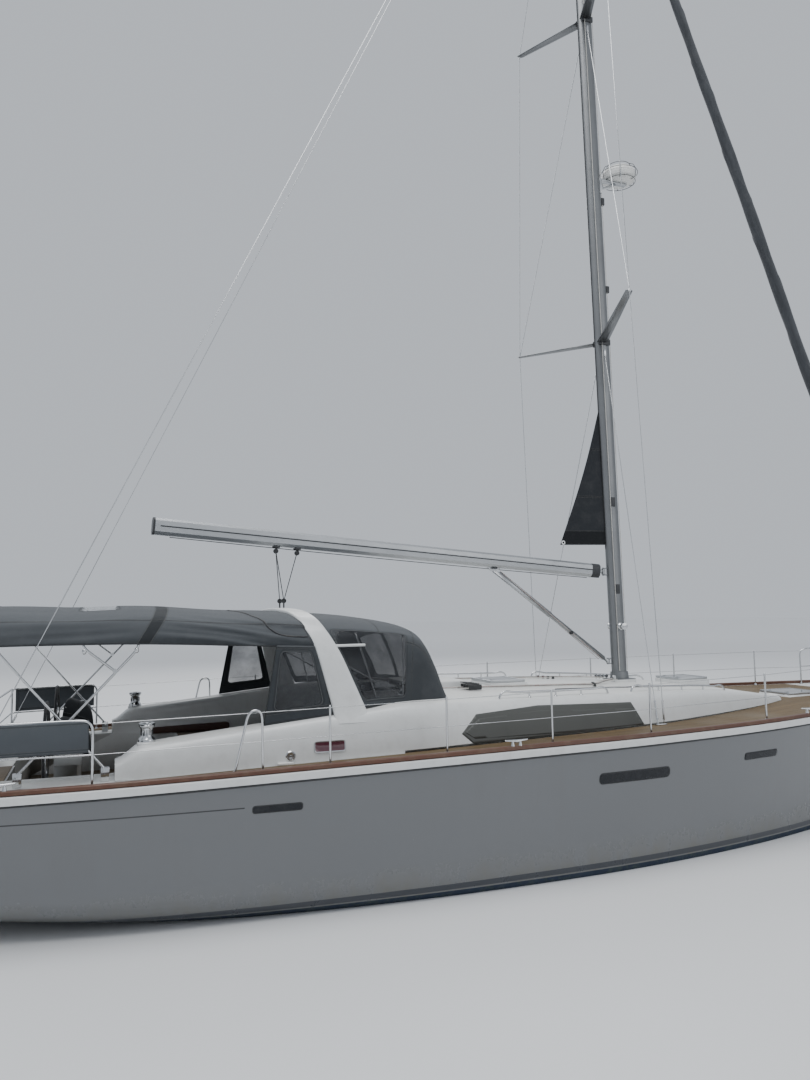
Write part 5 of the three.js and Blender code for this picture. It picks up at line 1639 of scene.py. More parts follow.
    def side(self, side, sign):
        self.side_window(side, sign)
        bm = bmesh.new()
        for x in (-7.05, -1.95, 2.55, 6.25):
            self.cleat(bm, x, sign * (deck_half(x) - 0.038), sheer_z(x) + GUNWALE_HIGH + 0.003)
        finish(f"cleats_{side}", bm, STEEL, smooth=50)
        bm = bmesh.new()
        track = [(x, sign * (0.62 * row_at(ROOF_ROWS, x, 1)), roof_z(x) - 0.004) for x in (-0.7, 0.9)]
        add_bar(bm, *track, 0.016, sides=8)
        finish(f"jib_track_{side}", bm, "black spar finish")
        rails = []
        for x0, x1, inner in ((-1.75, -0.15, 0.86), (0.25, 2.1, 0.84)):
            grip = [(x0 + 0.04 + (x1 - x0 - 0.08) * k / 8, 0.062) for k in range(9)]
            line = [(x0, 0.0), *grip, (x1, 0.0)]
            rails.append(
                [(x, sign * inner * row_at(ROOF_ROWS, x, 1), roof_z(x) - 0.03 + up) for x, up in line]
            )
        curve_piece(f"roof_handrail_{side}", rails, 0.013, STEEL, smooth=True)
        feet = bmesh.new()
        for rail in rails:
            for k in (3, 5, 7):
                x, y, z = rail[k]
                add_bar(feet, (x, y, z - 0.075), (x, y, z), 0.010, sides=10)
                add_bar(feet, (x, y, z - 0.066), (x, y, z - 0.056), 0.022, 0.016, sides=14)
        finish(f"handrail_feet_{side}", feet, STEEL)

    def cleat(self, bm, x, y, z):
        """A horned mooring cleat on two feet, along the deck's edge."""
        for step in (-0.045, 0.045):
            add_bar(bm, (x + step, y, z - 0.004), (x + step, y, z + 0.045), 0.022, 0.012, 14)
        add_bar(bm, (x - 0.13, y, z + 0.058), (x, y, z + 0.048), 0.009, 0.017, 12)
        add_bar(bm, (x, y, z + 0.048), (x + 0.13, y, z + 0.058), 0.017, 0.009, 12)
        add_ball(bm, (x - 0.13, y, z + 0.058), 0.0095, u=10, v=6)
        add_ball(bm, (x + 0.13, y, z + 0.058), 0.0095, u=10, v=6)


SIDE_WINDOW = (  # x and z of each corner
    (-2.33, 1.650),
    (-2.12, 1.790),
    (-1.30, 1.830),
    (0.12, 1.765),
    (0.235, 1.560),
    (-0.90, 1.545),
    (-2.20, 1.570),
)


SIDE_PANEL = (
    (-2.37, 1.640),
    (-2.15, 1.835),
    (-1.30, 1.882),
    (0.105, 1.836),
    (0.262, 1.550),
    (-0.90, 1.534),
    (-2.22, 1.515),
)


class YACHT_OT_cockpit(bpy.types.Operator):
    """Finishes the cockpit, its benches, helms, winches, portlights and the platform"""

    bl_idname = "yacht.cockpit"
    bl_label = "Cockpit"

    def execute(self, context):
        paint_node("cockpit_sole", "cockpit teak")
        smooth_copy("platform_shell", "bathing_platform", WHITE, "platform", 30)
        mirrored_pair(self.side)
        self.platform_slats()
        return {"FINISHED"}

    def side(self, side, sign):
        liner = smooth_copy(f"cockpit_liner_{side}", f"cockpit_side_{side}", WHITE, angle=40)
        trim_faces(liner, lambda p: abs(p.y) > 1.503)
        self.coaming(side, sign)
        smooth_copy(f"helm_stand_{side}", f"helm_pedestal_{side}", WHITE, angle=40)
        smooth_copy(f"helm_wheel_{side}", f"wheel_{side}", STEEL, f"{side} wheel", 60)
        bm = bmesh.new()
        for x0, x1, inner, outer, z in ((-5.22, -3.12, 0.74, 1.44, 1.391), (-7.37, -7.08, 0.60, 1.46, 1.431)):
            y0, y1 = sorted((sign * inner, sign * outer))
            add_block(bm, (x0, y0, z), (x1, y1, z + 0.008), 0.003)
        finish(f"seat_planks_{side}", bm, "cockpit teak", smooth=30)
        self.bolster(side, sign)
        self.winches(side)
        self.portlight(side, sign)
        self.helm(side, sign)

    def coaming(self, side, sign):
        """The coaming's rounded moulding, from its low aft end to the coachroof, with the winch's pad."""

        def section(x):
            near = eased((x - COAMING_AFT) / 0.26)
            foot, top = deck_z(x) - 0.006, coaming_top(x) - 0.13 * (1 - near)
            tuck = 0.05 * (1 - near) ** 2
            outer = [(wide - tuck, foot + (top - foot) * high) for wide, high in COAMING_SECTION[:5]]
            inner = [(1.545, top - 0.012), (1.512, top - 0.050), (1.501, top - 0.11)]
            return [Vector((x, sign * y, z)) for y, z in outer + inner], foot

        def point(u, v):
            x = COAMING_AFT + COAMING_LENGTH * u
            line, foot = section(x)
            if v > 0.95:
                t = (v - 0.95) / 0.05
                a, b = (Vector((x, sign * y, foot)) for y in (1.501, abs(line[0].y)))
                return line[-1].lerp(a, t * 2) if t < 0.5 else a.lerp(b, t * 2 - 1)
            return along(line, v / 0.95)

        bm = bmesh.new()
        add_loft(bm, 60, 40, point)
        lo, hi = corners(f"primary_winch_{side}")
        middle = Vector(((lo.x + hi.x) / 2, (lo.y + hi.y) / 2, lo.z - 0.065))
        add_turned(bm, [(0, 0), (0.099, 0), (0.095, 0.056), (0.088, 0.064), (0, 0.064)], middle, 40)
        finish(f"coaming_moulding_{side}", bm, WHITE, smooth=34)

    def bolster(self, side, sign):
        """The long brown pad along the coaming's inner wall, crowned."""
        lo, hi = Vector((-5.64, 1.392, 1.402)), Vector((-4.50, 1.474, 1.487))
        middle, half = (lo + hi) / 2, (hi - lo) / 2

        def point(u, v):
            run, turn = 2 * u - 1, 2 * math.pi * v
            end = max(0.0, 1 - abs(run) ** 26) ** 0.5
            swell = 1 - 0.03 * math.cos(5 * math.pi * run) ** 2
            deep = math.copysign(abs(math.cos(turn)) ** 0.55, math.cos(turn)) * half.y * end * swell
            high = math.copysign(abs(math.sin(turn)) ** 0.55, math.sin(turn)) * half.z * end * swell
            rise = 0.022 * (run + 1) / 2
            return Vector(
                (middle.x + half.x * run, sign * (middle.y + deep), middle.z + high + rise * (v < 0.5))
            )

        bm = bmesh.new()
        add_loft(bm, 96, 28, point)
        pad = finish(f"cockpit_bolster_{side}", bm, "brown vinyl", smooth=60)

    def winches(self, side):
        """A side's two winch drums, each with its ribs and its jaws."""
        for name in ("primary", "cabin"):
            lo, hi = corners(f"{name}_winch_{side}")
            r, high = (hi.x - lo.x) / 2, hi.z - lo.z
            middle = Vector(((lo.x + hi.x) / 2, (lo.y + hi.y) / 2, lo.z))
            bm = bmesh.new()
            add_turned(bm, [(r * share, high * h) for share, h in WINCH_PROFILE], middle, 40)
            body = f"{side} {name} winch"
            piece = finish(f"{name}_winch_drum_{side}", bm, STEEL, body, smooth=35)
            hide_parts(f"{name}_winch_{side}")
            bm = bmesh.new()
            for k in range(22):
                base = middle + around(k, 22) * r * 0.70
                add_bar(bm, base + upward(high * 0.34), base + upward(high * 0.62), 0.003, sides=6)
            top = middle + upward(high * 0.9)
            for k in range(16):
                out = around(k, 16)
                add_bar(bm, top + out * r * 0.7, top + out * r * 0.97, 0.004, sides=6)
            finish(f"{name}_winch_ribs_{side}", bm, BLACK, body)

    def portlight(self, side, sign):
        """The opening light in the coaming, with the vent behind it."""
        bm = bmesh.new()
        outline = rounded_outline(-4.09, -3.75, 1.562, 1.677, 0.03)
        verts = [bm.verts.new((x, sign * (coaming_y(x, z) + 0.002), z)) for x, z in outline]
        face = bm.faces.new(verts if sign < 0 else verts[::-1])
        grown = bmesh.ops.extrude_face_region(bm, geom=[face])
        moved = [v for v in grown["geom"] if isinstance(v, bmesh.types.BMVert)]
        bmesh.ops.translate(bm, vec=(0, sign * 0.010, 0), verts=moved)
        cap = next(f for f in grown["geom"] if isinstance(f, bmesh.types.BMFace))
        bmesh.ops.inset_region(bm, faces=[cap], thickness=0.010, depth=0)
        cap.material_index = 1
        bmesh.ops.translate(bm, vec=(0, -sign * 0.005, 0), verts=cap.verts)
        bmesh.ops.recalc_face_normals(bm, faces=bm.faces)
        light = finish(f"coaming_portlight_{side}", bm, "silver anodised alloy", slot="dark_glass", smooth=30)
        light.data.materials.append(finish_called("wine smoked acrylic"))
        bm = bmesh.new()
        turn = Matrix.Rotation(-sign * math.pi / 2, 4, "X")
        place = Matrix.Translation((-4.34, sign * (coaming_y(-4.34, 1.548) - 0.002), 1.548)) @ turn
        dish = [(0, 0), (0.055, 0), (0.055, 0.006), (0.046, 0.014), (0.040, 0.014), (0.034, 0.006)]
        add_turned(bm, [*dish, (0.012, 0.004), (0.010, 0.012), (0, 0.013)], place, 32)
        finish(f"coaming_vent_{side}", bm, STEEL, smooth=30)
        bm = bmesh.new()
        z = deck_z(-4.40)
        y = sign * (coaming_y(-4.40, z) + 0.025)
        add_block(bm, (-4.48, y - 0.030, z), (-4.32, y + 0.030, z + 0.024), 0.006)
        finish(f"deck_filler_pad_{side}", bm, "white moulding", smooth=30)

    def helm(self, side, sign):
        y = sign * 1.01
        bm = bmesh.new()
        tilt = Matrix.Rotation(math.radians(-25), 4, "Y")
        add_block(bm, (-6.60, y - 0.15, 1.80), (-6.52, y + 0.15, 1.90), 0.008, turn=tilt)
        finish(f"helm_display_{side}", bm, BLACK, smooth=30)
        bm = bmesh.new()
        dome = [(0, 0), (0.075, 0), (0.075, 0.02), (0.062, 0.03), (0.056, 0.055), (0.036, 0.082), (0, 0.09)]
        add_turned(bm, dome, (-6.44, y, 1.852), 28)
        finish(f"compass_{side}", bm, "smoked acrylic", slot="black_plastic", smooth=30)
        bm = bmesh.new()
        turns = [2 * math.pi * k / 48 for k in range(49)]
        rim = [Vector((-6.73, y + 0.43 * math.cos(t), 1.70 + 0.43 * math.sin(t))) for t in turns]
        for a, b in zip(rim, rim[1:]):
            add_bar(bm, a, b, 0.0165, sides=10)
        finish(f"wheel_grip_{side}", bm, "black braid", f"{side} wheel", "black_plastic", 60)
        if side == "starboard":
            bm = bmesh.new()
            add_bar(bm, (-6.50, y - 0.20, 1.66), (-6.50, y - 0.235, 1.66), 0.05, 0.045, 20)
            add_bar(bm, (-6.50, y - 0.225, 1.66), (-6.46, y - 0.235, 1.80), 0.012, 0.009, 12)
            add_ball(bm, (-6.455, y - 0.236, 1.815), 0.022)
            finish("throttle_lever", bm, STEEL, smooth=40)

    def platform_slats(self):
        bm = bmesh.new()
        for k in range(9):
            y = -0.86 + k * 0.215
            add_block(bm, (-7.406, y - 0.095, 0.36), (-7.398, y + 0.095, 1.28), 0.002)
        finish("platform_slats", bm, "cockpit teak", "platform", smooth=30)


WINCH_PROFILE = (  # shares of the drum's radius and height
    (0, 0), (1, 0), (1, 0.10), (0.95, 0.15), (0.76, 0.24), (0.70, 0.34), (0.69, 0.60),
    (0.76, 0.72), (0.92, 0.78), (0.95, 0.82), (0.95, 0.86), (0.88, 0.89), (0.88, 0.91), (0.93, 0.93),
    (0.9, 0.97), (0.42, 0.985), (0.40, 1.0), (0.14, 1.0), (0.13, 0.94), (0, 0.94),
)


def coaming_y(x, z):
    """How far out the coaming's side stands at a height."""
    foot, top = deck_z(x), coaming_top(x)
    share = (z - foot) / (top - foot)
    for (wide, low), (narrow, high) in zip(COAMING_SECTION, COAMING_SECTION[1:]):
        if share <= high:
            return wide + (narrow - wide) * max(0.0, share - low) / (high - low)
    return COAMING_SECTION[4][0]


class YACHT_OT_canvas(bpy.types.Operator):
    """Sews the bimini, the dodger, the side curtains, the weather cloths and the helm covers"""

    bl_idname = "yacht.canvas"
    bl_label = "Canvas"

    def execute(self, context):
        self.bimini()
        self.dodger()
        mirrored_pair(self.curtain)
        mirrored_pair(self.weather_cloth)
        mirrored_pair(self.helm_cover)
        return {"FINISHED"}

    def bimini(self):
        """The canopy over the helms, with its clear pane, its hems and its piping."""
        chart = Chart(BIMINI_ROWS)
        reach = Vector(chart.size)
        middle = reach.x / 2
        material = cloth(
            "bimini cloth",
            tuple(colours().canvas),
            windows=[(middle, 1.08, 1.20, 0.175, 0.05)],
            seams=[("u", middle - 1.64), ("u", middle + 1.64), ("v", 0.035), ("v", reach.y - 0.03)],
            bands=[(1.385, 1.535, 0.62)],
            tint=(0.52, 0.55, 0.58),
            clear=0.30,
        )

        def point(u, v):
            p = chart.point(u, v)
            meet = max(0.0, (v - 0.72) / 0.28) ** 2
            p.x += (arch_edge(p.z, -1) + 0.018 + 4.17) * meet
            p.y *= 1 - 0.016 * meet * (abs(p.y) > 1.6)
            return p + chart.normal(u, v) * canopy_rise(p, u)

        sheet_piece(
            "bimini_cloth", point, (170, 130), chart.size, material,
            replaced="bimini",
        )
        add_hem("bimini_hem", sampled(point, 60, u=0.0))
        add_hem("bimini_hem_starboard", sampled(point, 60, u=1.0))
        add_hem("bimini_hem_aft", sampled(point, 80, v=0.0))
        for side, sign in (("port", -1.0), ("starboard", 1.0)):
            marks = [Vector((0.5 + sign * (u - 0.5), v, 0)) for u, v in BIMINI_PIPING]
            places = [along(marks, k / 30) for k in range(31)]
            sweep = [point(u, v) + chart.normal(u, v) * 0.004 for u, v, _ in places]
            curve_piece(f"bimini_piping_{side}", [sweep], 0.010, "black braid", smooth=True)

    def dodger(self):
        """The hood over the companionway, with its windows, its hoops and its braces."""
        chart = Chart(DODGER_ROWS)
        wide, long = chart.size
        middle = wide / 2
        windows = [(middle, 0.42, 0.50, 0.30, 0.06)]
        windows += [(middle + off, 0.42, 0.40, 0.27, 0.06) for off in (-1.02, 1.02)]
        for sign in (-1, 1):
            windows.append((middle + sign * (middle - 0.37), long * 0.72, 0.28, long * 0.215, 0.05))
        material = cloth(
            "dodger cloth",
            tuple(colours().canvas),
            windows=windows,
            seams=[("v", 0.86), ("v", 1.30), ("v", long - 0.03), ("u", middle - 1.55), ("u", middle + 1.55)],
            tint=(0.020, 0.022, 0.026),
            clear=0.5,
        )

        def point(u, v):
            p = chart.point(u, v)
            waver = noise_at(p, (1.2, 4.0, 4.0), 3.7) * 0.35
            p += chart.normal(u, v) * sizes().crease * waver
            if p.x > -2.6:
                flap = eased((0.540 - abs(p.y)) / 0.055)
                p.z = max(p.z, 1.985 + 0.124 * flap)
            return p

        sheet_piece(
            "dodger_cloth", point, (110, 70), chart.size, material,
            replaced="dodger",
        )
        for side, near in (("port", 0.0), ("starboard", 1.0)):
            add_hem(f"dodger_hem_{side}", sampled(point, 50, u=near))
        add_hem("dodger_hem_fore", sampled(point, 80, v=0.0))
        for number, v in ((1, 0.515), (2, 0.80)):
            hoop = [chart.point(k / 60, v) - chart.normal(k / 60, v) * 0.020 for k in range(61)]
            curve_piece(f"dodger_hoop_{number}", [hoop], 0.011, STEEL)
        braces = []
        for sign in (1, -1):
            a = chart.point(0.5 - sign * 0.47, 0.55)
            b = chart.point(0.5 - sign * 0.40, 0.93)
            braces.append([(a.x - 0.02, a.y - sign * 0.05, a.z - 0.02), (b.x, b.y - sign * 0.06, b.z - 0.10)])
        curve_piece("dodger_braces", braces, 0.009, STEEL)

    def curtain(self, side, sign):
        """The curtain between the canopy's edge and the coaming, ahead of the arch's leg."""

        def point(u, v):
            x = -4.60 + 0.765 * u
            bottom = Vector((x, sign * 1.79, coaming_top(x) + 0.002))
            t = (-4.45 + 0.42 * u + 4.9) / 0.73
            top = Vector((-4.45 + 0.42 * u, sign * (1.765 - 0.05 * t), 2.710 - 0.032 * t - 0.004))
            p = bottom.lerp(top, v)
            p.y += sign * (
                0.016 * math.sin(math.pi * v) * math.sin(math.pi * u) + noise_at(p, (3, 1, 5), 8.1) * 0.004
            )
            return p

        width = (arc_length(sampled(point, 20, v=0)) + arc_length(sampled(point, 20, v=1))) / 2
        height = arc_length(sampled(point, 20, u=0.5))
        material = bpy.data.materials.get("curtain cloth") or cloth(
            "curtain cloth",
            tuple(colours().canvas),
            windows=[(width * 0.5, height * 0.54, width * 0.36, height * 0.37, 0.045)],
            seams=[("v", 0.10), ("v", height - 0.025)],
            tint=(0.022, 0.024, 0.028),
            clear=0.45,
        )
        sheet_piece(
            f"side_curtain_cloth_{side}", point, (30, 40), (width, height), material,
            replaced=f"side_curtain_{side}",
        )
        add_hem(f"side_curtain_hem_{side}", sampled(point, 20, v=0.0))
        add_hem(f"side_curtain_edge_{side}", sampled(point, 20, u=0.0))

    def weather_cloth(self, side, sign):
        """A low cloth laced along the pushpit's rails."""

        def point(u, v):
            x = -7.30 + u
            p = Vector((x, sign * rail_y(x), deck_z(x) + 0.325 + 0.30 * v))
            p.y += sign * (0.006 + 0.012 * math.sin(math.pi * v) + noise_at(p, (4, 1, 6), 2.2) * 0.006)
            return p

        width = arc_length(sampled(point, 20, v=0))
        height = arc_length(sampled(point, 20, u=0.5))
        material = bpy.data.materials.get("weather cloth") or cloth(
            "weather cloth",
            tuple(c * 1.8 for c in colours().canvas),
            seams=[("v", 0.03), ("v", height - 0.03), ("u", 0.03)],
        )
        sheet_piece(
            f"weather_cloth_{side}", point, (36, 14), (width, height), material,
        )

    def helm_cover(self, side, sign):
        """A soft cover over a helm stand's instruments."""

        def point(u, v):
            a, b = 2 * u - 1, 2 * v - 1
            fall = max(abs(a), abs(b)) ** 5
            x = -6.475 + 0.205 * (a * (1 - 0.10 * fall))
            y = 1.01 + 0.235 * (b * (1 - 0.06 * fall))
            z = 1.962 - 0.085 * (a + 0.2) * 0.9 - 0.26 * fall - 0.02 * (a * a + b * b)
            p = Vector((x, sign * y, z))
            p.z += noise_at(p, (6, 6, 2), 5.3) * 0.008
            return p

        rows = [arc_length(sampled(point, 20, v=v)) for v in (0.25, 0.5, 0.75)]
        cols = [arc_length(sampled(point, 20, u=u)) for u in (0.25, 0.5, 0.75)]
        size = (sum(rows) / 3, sum(cols) / 3)
        material = bpy.data.materials.get("helm cover cloth") or cloth(
            "helm cover cloth",
            tuple(c * 0.62 for c in colours().canvas),
            seams=[("u", 0.03), ("v", 0.03), ("u", size[0] / 2)],
        )
        sheet_piece(
            f"helm_cover_{side}", point, (34, 34), size, material,
        )


def add_hem(name, line):
    """A rolled hem along a cloth's edge."""
    curve_piece(name, [line], 0.0065, "canvas hem")


def noise_at(p, stretch, seed):
    """Smooth noise from −1 to 1, stretched along the axes."""
    return noise_value(
        Vector((p.x * stretch[0] + seed, p.y * stretch[1] + seed * 1.7, p.z * stretch[2] - seed))
    )


def coaming_top(x):
    """The height of the cockpit coaming's flat top."""
    return 1.724 + 0.286 * (x - COAMING_AFT) / COAMING_LENGTH


ARCH_ROWS = (  # z, x, half length, y, half thickness, lean
    (1.840, -3.640, 0.212, 1.838, 0.050, 0.10),
    (1.960, -3.668, 0.186, 1.806, 0.038, 0.11),
    (2.250, -3.760, 0.160, 1.755, 0.032, 0.18),
    (2.600, -3.880, 0.130, 1.690, 0.032, 0.30),
    (2.847, -4.000, 0.115, 1.560, 0.032, 0.75),
    (2.966, -4.060, 0.108, 1.340, 0.032, 1.15),
    (3.029, -4.085, 0.105, 0.900, 0.032, 1.42),
    (3.055, -4.095, 0.104, 0.000, 0.032, math.pi / 2),
)


def arch_edge(z, end):
    """Where the arch's aft (−1) or fore (1) edge lies at a height."""
    for low, high in zip(ARCH_ROWS, ARCH_ROWS[1:]):
        if z <= high[0] or high is ARCH_ROWS[-1]:
            t = min(1.0, max(0.0, (z - low[0]) / (high[0] - low[0])))
            return low[1] + (high[1] - low[1]) * t + end * (low[2] + (high[2] - low[2]) * t)


def canopy_rise(p, u):
    """How far the canopy stands off its lines: pulled over its hoops, slack and creased between them."""
    low = abs(2 * u - 1) ** 3
    high = (p.z - 2.69) / 0.40
    drift = noise_at(p, (0.9, 1.3, 1.3), 6.2)
    sag, folds = 0.0, 0.0
    for a, b, lean, count in ((-7.23, -5.85, -0.25, 2.2), (-5.76, -4.10, 0.75, 2.6)):
        if a < p.x < b:
            share = (p.x - a) / (b - a)
            slack = math.sin(math.pi * share)
            sag = -0.022 * slack**2
            line = high + lean * share + 0.16 * drift
            ridge = math.sin(2 * math.pi * count * line)
            folds = slack**0.7 * (
                0.55 * ridge + 0.30 * abs(ridge) + 0.25 * math.sin(2 * math.pi * 2.3 * count * line + 1.1)
            )
    long_folds = noise_at(p, (0.55, 3.2, 5.0), 1.3)
    return sag * (1 - 0.4 * low) + sizes().crease * (
        long_folds * (0.5 + 0.5 * low) + folds * (0.12 + 0.88 * low)
    )


class Chart:
    """A smooth sheet through rows of points, with both directions measured in metres."""

    def __init__(self, rows):
        self.rows = rows
        self.across = self.shares([[(b - a).length for a, b in zip(row, row[1:])] for row in rows])
        columns = [[row[k] for row in rows] for k in range(len(rows[0]))]
        self.down = self.shares([[(b - a).length for a, b in zip(column, column[1:])] for column in columns])
        fine = 40
        widths = [arc_length([self.point(k / fine, j / 4) for k in range(fine + 1)]) for j in range(5)]
        lengths = [arc_length([self.point(j / 8, k / fine) for k in range(fine + 1)]) for j in range(9)]
        self.size = (sum(widths) / len(widths), sum(lengths) / len(lengths))

    @staticmethod
    def shares(lines):
        spans = [sum(line[k] for line in lines) for k in range(len(lines[0]))]
        total = sum(spans)
        marks = [0.0]
        for span in spans:
            marks.append(marks[-1] + span / total)
        return marks

    @staticmethod
    def knot(marks, share):
        last = len(marks) - 2
        k = 0
        while k < last and share > marks[k + 1]:
            k += 1
        return (k + (share - marks[k]) / (marks[k + 1] - marks[k])) / (last + 1)

    def point(self, u, v):
        return spread(self.rows, self.knot(self.across, u), self.knot(self.down, v))

    def normal(self, u, v):
        return normal_of(self.rows, self.knot(self.across, u), self.knot(self.down, v))


def bent(points, bend=0.08, fine=5):
    """A line of points with each corner rounded."""
    points = [Vector(p) for p in points]
    line = [points[0]]
    for a, b, c in zip(points, points[1:], points[2:]):
        into = b + (a - b).normalized() * min(bend, (a - b).length * 0.48)
        out = b + (c - b).normalized() * min(bend, (c - b).length * 0.48)
        for k in range(fine + 1):
            t = k / fine
            line.append(into * (1 - t) ** 2 + b * 2 * t * (1 - t) + out * t * t)
    return line + [points[-1]]


class YACHT_OT_rails(bpy.types.Operator):
    """Moulds the arch and bends the lifelines, pushpits, pulpits and canopy hoops"""

    bl_idname = "yacht.rails"
    bl_label = "Rails"

    def execute(self, context):
        self.arch()
        mirrored_pair(self.side)
        self.hoops()
        return {"FINISHED"}

    def arch(self):
        """The moulded arch over the cockpit, swept through its rows, with a grab rail on each leg."""
        port = [(Vector((x, y, z)), Vector((half, thin, lean))) for z, x, half, y, thin, lean in ARCH_ROWS]
        over = [(Vector((p.x, -p.y, p.z)), Vector((q.x, q.y, math.pi - q.z))) for p, q in reversed(port[:-1])]
        spots, shapes = ([row[k] for row in port + over] for k in (0, 1))

        def point(u, v):
            place, (half, thin, lean) = along(spots, u), along(shapes, u)
            a = 2 * math.pi * v
            long = math.copysign(abs(math.cos(a)) ** 0.4, math.cos(a)) * half
            wide = math.copysign(abs(math.sin(a)) ** 0.5, math.sin(a)) * thin
            return place + Vector((long, wide * math.cos(lean), wide * math.sin(lean)))

        bm = bmesh.new()
        add_loft(bm, 112, 40, point)
        for sign in (1, -1):
            add_bar(bm, (-4.24, sign * 1.672, 2.66), (-3.45, sign * 1.672, 2.66), 0.0155, sides=20)
        moulding = finish("arch_moulding", bm, WHITE, smooth=42)
        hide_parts("arch")

    def foot(self, x):
        on_teak = -6.9 < x < 5.22
        return Vector((x, rail_y(x), deck_z(x) if on_teak else deck_z(x) - 0.010))

    def side(self, side, sign):
        """One side's stanchions, gate and lifelines, with its pushpit and its half of the pulpit."""

        def over(p):
            return Vector((p[0], sign * p[1], p[2]))

        tubes = [bent([over(self.foot(x) + upward(high)) for x, high in GATE_LINE], 0.1)]
        for x in STANCHIONS[1:]:
            tubes.append([over(self.foot(x)), over(self.foot(x) + upward(0.6))])
        piece = curve_piece(f"stanchions_{side}", tubes, 0.012, STEEL, resolution=3)
        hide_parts(f"lifelines_{side}")
        bm = bmesh.new()
        for x in (GATE_LINE[-1][0], *STANCHIONS):
            base = over(self.foot(x))
            add_foot(bm, base, 0.006, 0.034, 0.036, 0.024, 0.017)
        for x in STANCHIONS[1:]:
            add_ball(bm, over(self.foot(x) + upward(0.601)), 0.0125, u=12, v=6)
        finish(f"stanchion_feet_{side}", bm, STEEL, smooth=35)
        wires = []
        for high in (0.585, 0.30):
            stops = [-6.25, *STANCHIONS, 5.45]
            line = [over(self.foot(x) + upward(high)) for x in stops]
            wires += [line[:2], line[1:]]
        curve_piece(f"lifeline_wires_{side}", wires, LIFELINE_RADIUS, STEEL)
        self.pushpit(side, over)
        self.pulpit(side, over)

    def pushpit(self, side, over):
        def at(x, inset, high):
            return over((x, deck_half(x) - 0.0753 - inset, deck_z(x) - 0.010 + high))

        def quarter(high):
            return over((-7.375, 0.640, deck_z(-7.4) - 0.0103 + high))

        tubes = [
            bent([at(-6.264, 0.07, 0.0), at(-6.264, 0.07, 0.63), at(-7.34, 0.07, 0.64), quarter(0.64)], 0.11),
            [at(-7.34, 0.11, 0.0), at(-7.34, 0.09, 0.632)],
            [quarter(-0.06), quarter(0.64)],
        ]
        piece = curve_piece(f"pushpit_rails_{side}", tubes, RAIL_RADIUS, STEEL, resolution=3)
        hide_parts(f"pushpit_{side}")
        middle = bent([at(-6.264, 0.07, 0.31), at(-7.34, 0.07, 0.32), quarter(0.32)], 0.11)
        curve_piece(f"pushpit_middle_{side}", [middle], LOW_RAIL_RADIUS, STEEL, resolution=3)
        bm = bmesh.new()
        for base in (at(-6.264, 0.07, 0.0), at(-7.34, 0.11, 0.0)):
            add_foot(bm, base, 0.007, 0.03, 0.036, 0.022, 0.017)
        finish(f"pushpit_feet_{side}", bm, STEEL, smooth=35)

    def pulpit(self, side, over):
        def bow(x, high):
            return over((x, deck_half(x) - 0.1153, deck_z(x) - 0.010 + high))

        def nose(x, y, high):
            return over((x, y, deck_z(7.0) - 0.010 + high))

        tubes = [
            bent([bow(5.47, 0.0), bow(5.47, 0.62), bow(6.5, 0.64), nose(7.29, 0.23, 0.65)], 0.12),
            [bow(6.5, 0.0), bow(6.5, 0.64)],
            [bow(7.0, 0.0), nose(7.29, 0.23, 0.65)],
        ]
        piece = curve_piece(f"pulpit_rails_{side}", tubes, RAIL_RADIUS, STEEL, resolution=3)
        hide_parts(f"pulpit_{side}")
        middle = bent([bow(5.47, 0.31), bow(6.5, 0.33), nose(7.15, 0.26, 0.34)], 0.12)
        curve_piece(f"pulpit_middle_{side}", [middle], LOW_RAIL_RADIUS, STEEL, resolution=3)
        bm = bmesh.new()
        for base in (bow(5.47, 0), bow(6.5, 0), bow(7.0, 0)):
            add_foot(bm, base, 0.007, 0.03, 0.034, 0.021, 0.016)
        add_ball(bm, nose(7.29, 0.23, 0.65), 0.0135, u=12, v=6)
        finish(f"pulpit_feet_{side}", bm, STEEL, smooth=35)
        bm = bmesh.new()
        add_block_about(bm, nose(7.22, 0.245, 0.60), (0.035, 0.022, 0.028), 0.008)
        finish(f"bow_light_{side}", bm, BLACK, smooth=30)

    def hoops(self):
        lines = []
        for x, lift, foot in BIMINI_HOOPS:
            half = [(1.776, 2.675), (1.740, 2.785), (1.590, 2.925), (1.200, 3.002), (0.600, 3.042)]
            over = [(x, y, z + lift) for y, z in half]
            ends = [(foot[0], sign * foot[1], foot[2]) for sign in (1, -1)]
            line = [
                ends[0], *over, (x, 0, 3.057 + lift), *[(x, -y, z) for x, y, z in reversed(over)], ends[1]
            ]
            lines.append(bent(line, 0.10, 4))
        piece = curve_piece("bimini_hoops", lines, RAIL_RADIUS, STEEL, resolution=3)
        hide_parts("bimini_frame")
        bm = bmesh.new()
        for sign in (1, -1):
            for x in (-6.93, -6.15):
                add_block(
                    bm, (x - 0.04, sign * 1.8 - 0.022, 1.425), (x + 0.04, sign * 1.8 + 0.022, 1.56), 0.006
                )
            for x, _, (hinge_x, hinge_y, hinge_z) in BIMINI_HOOPS:
                add_ball(bm, (x + 0.02 * (1 if x < -6 else -1), sign * 1.776, 2.68), 0.022, (1.0, 0.8, 1.3))
                if hinge_z > 1.6:
                    add_bar(
                        bm, (hinge_x, sign * hinge_y - 0.022, hinge_z),
                        (hinge_x, sign * hinge_y + 0.022, hinge_z), 0.024, sides=18,
                    )
        finish("bimini_feet", bm, STEEL, smooth=35)


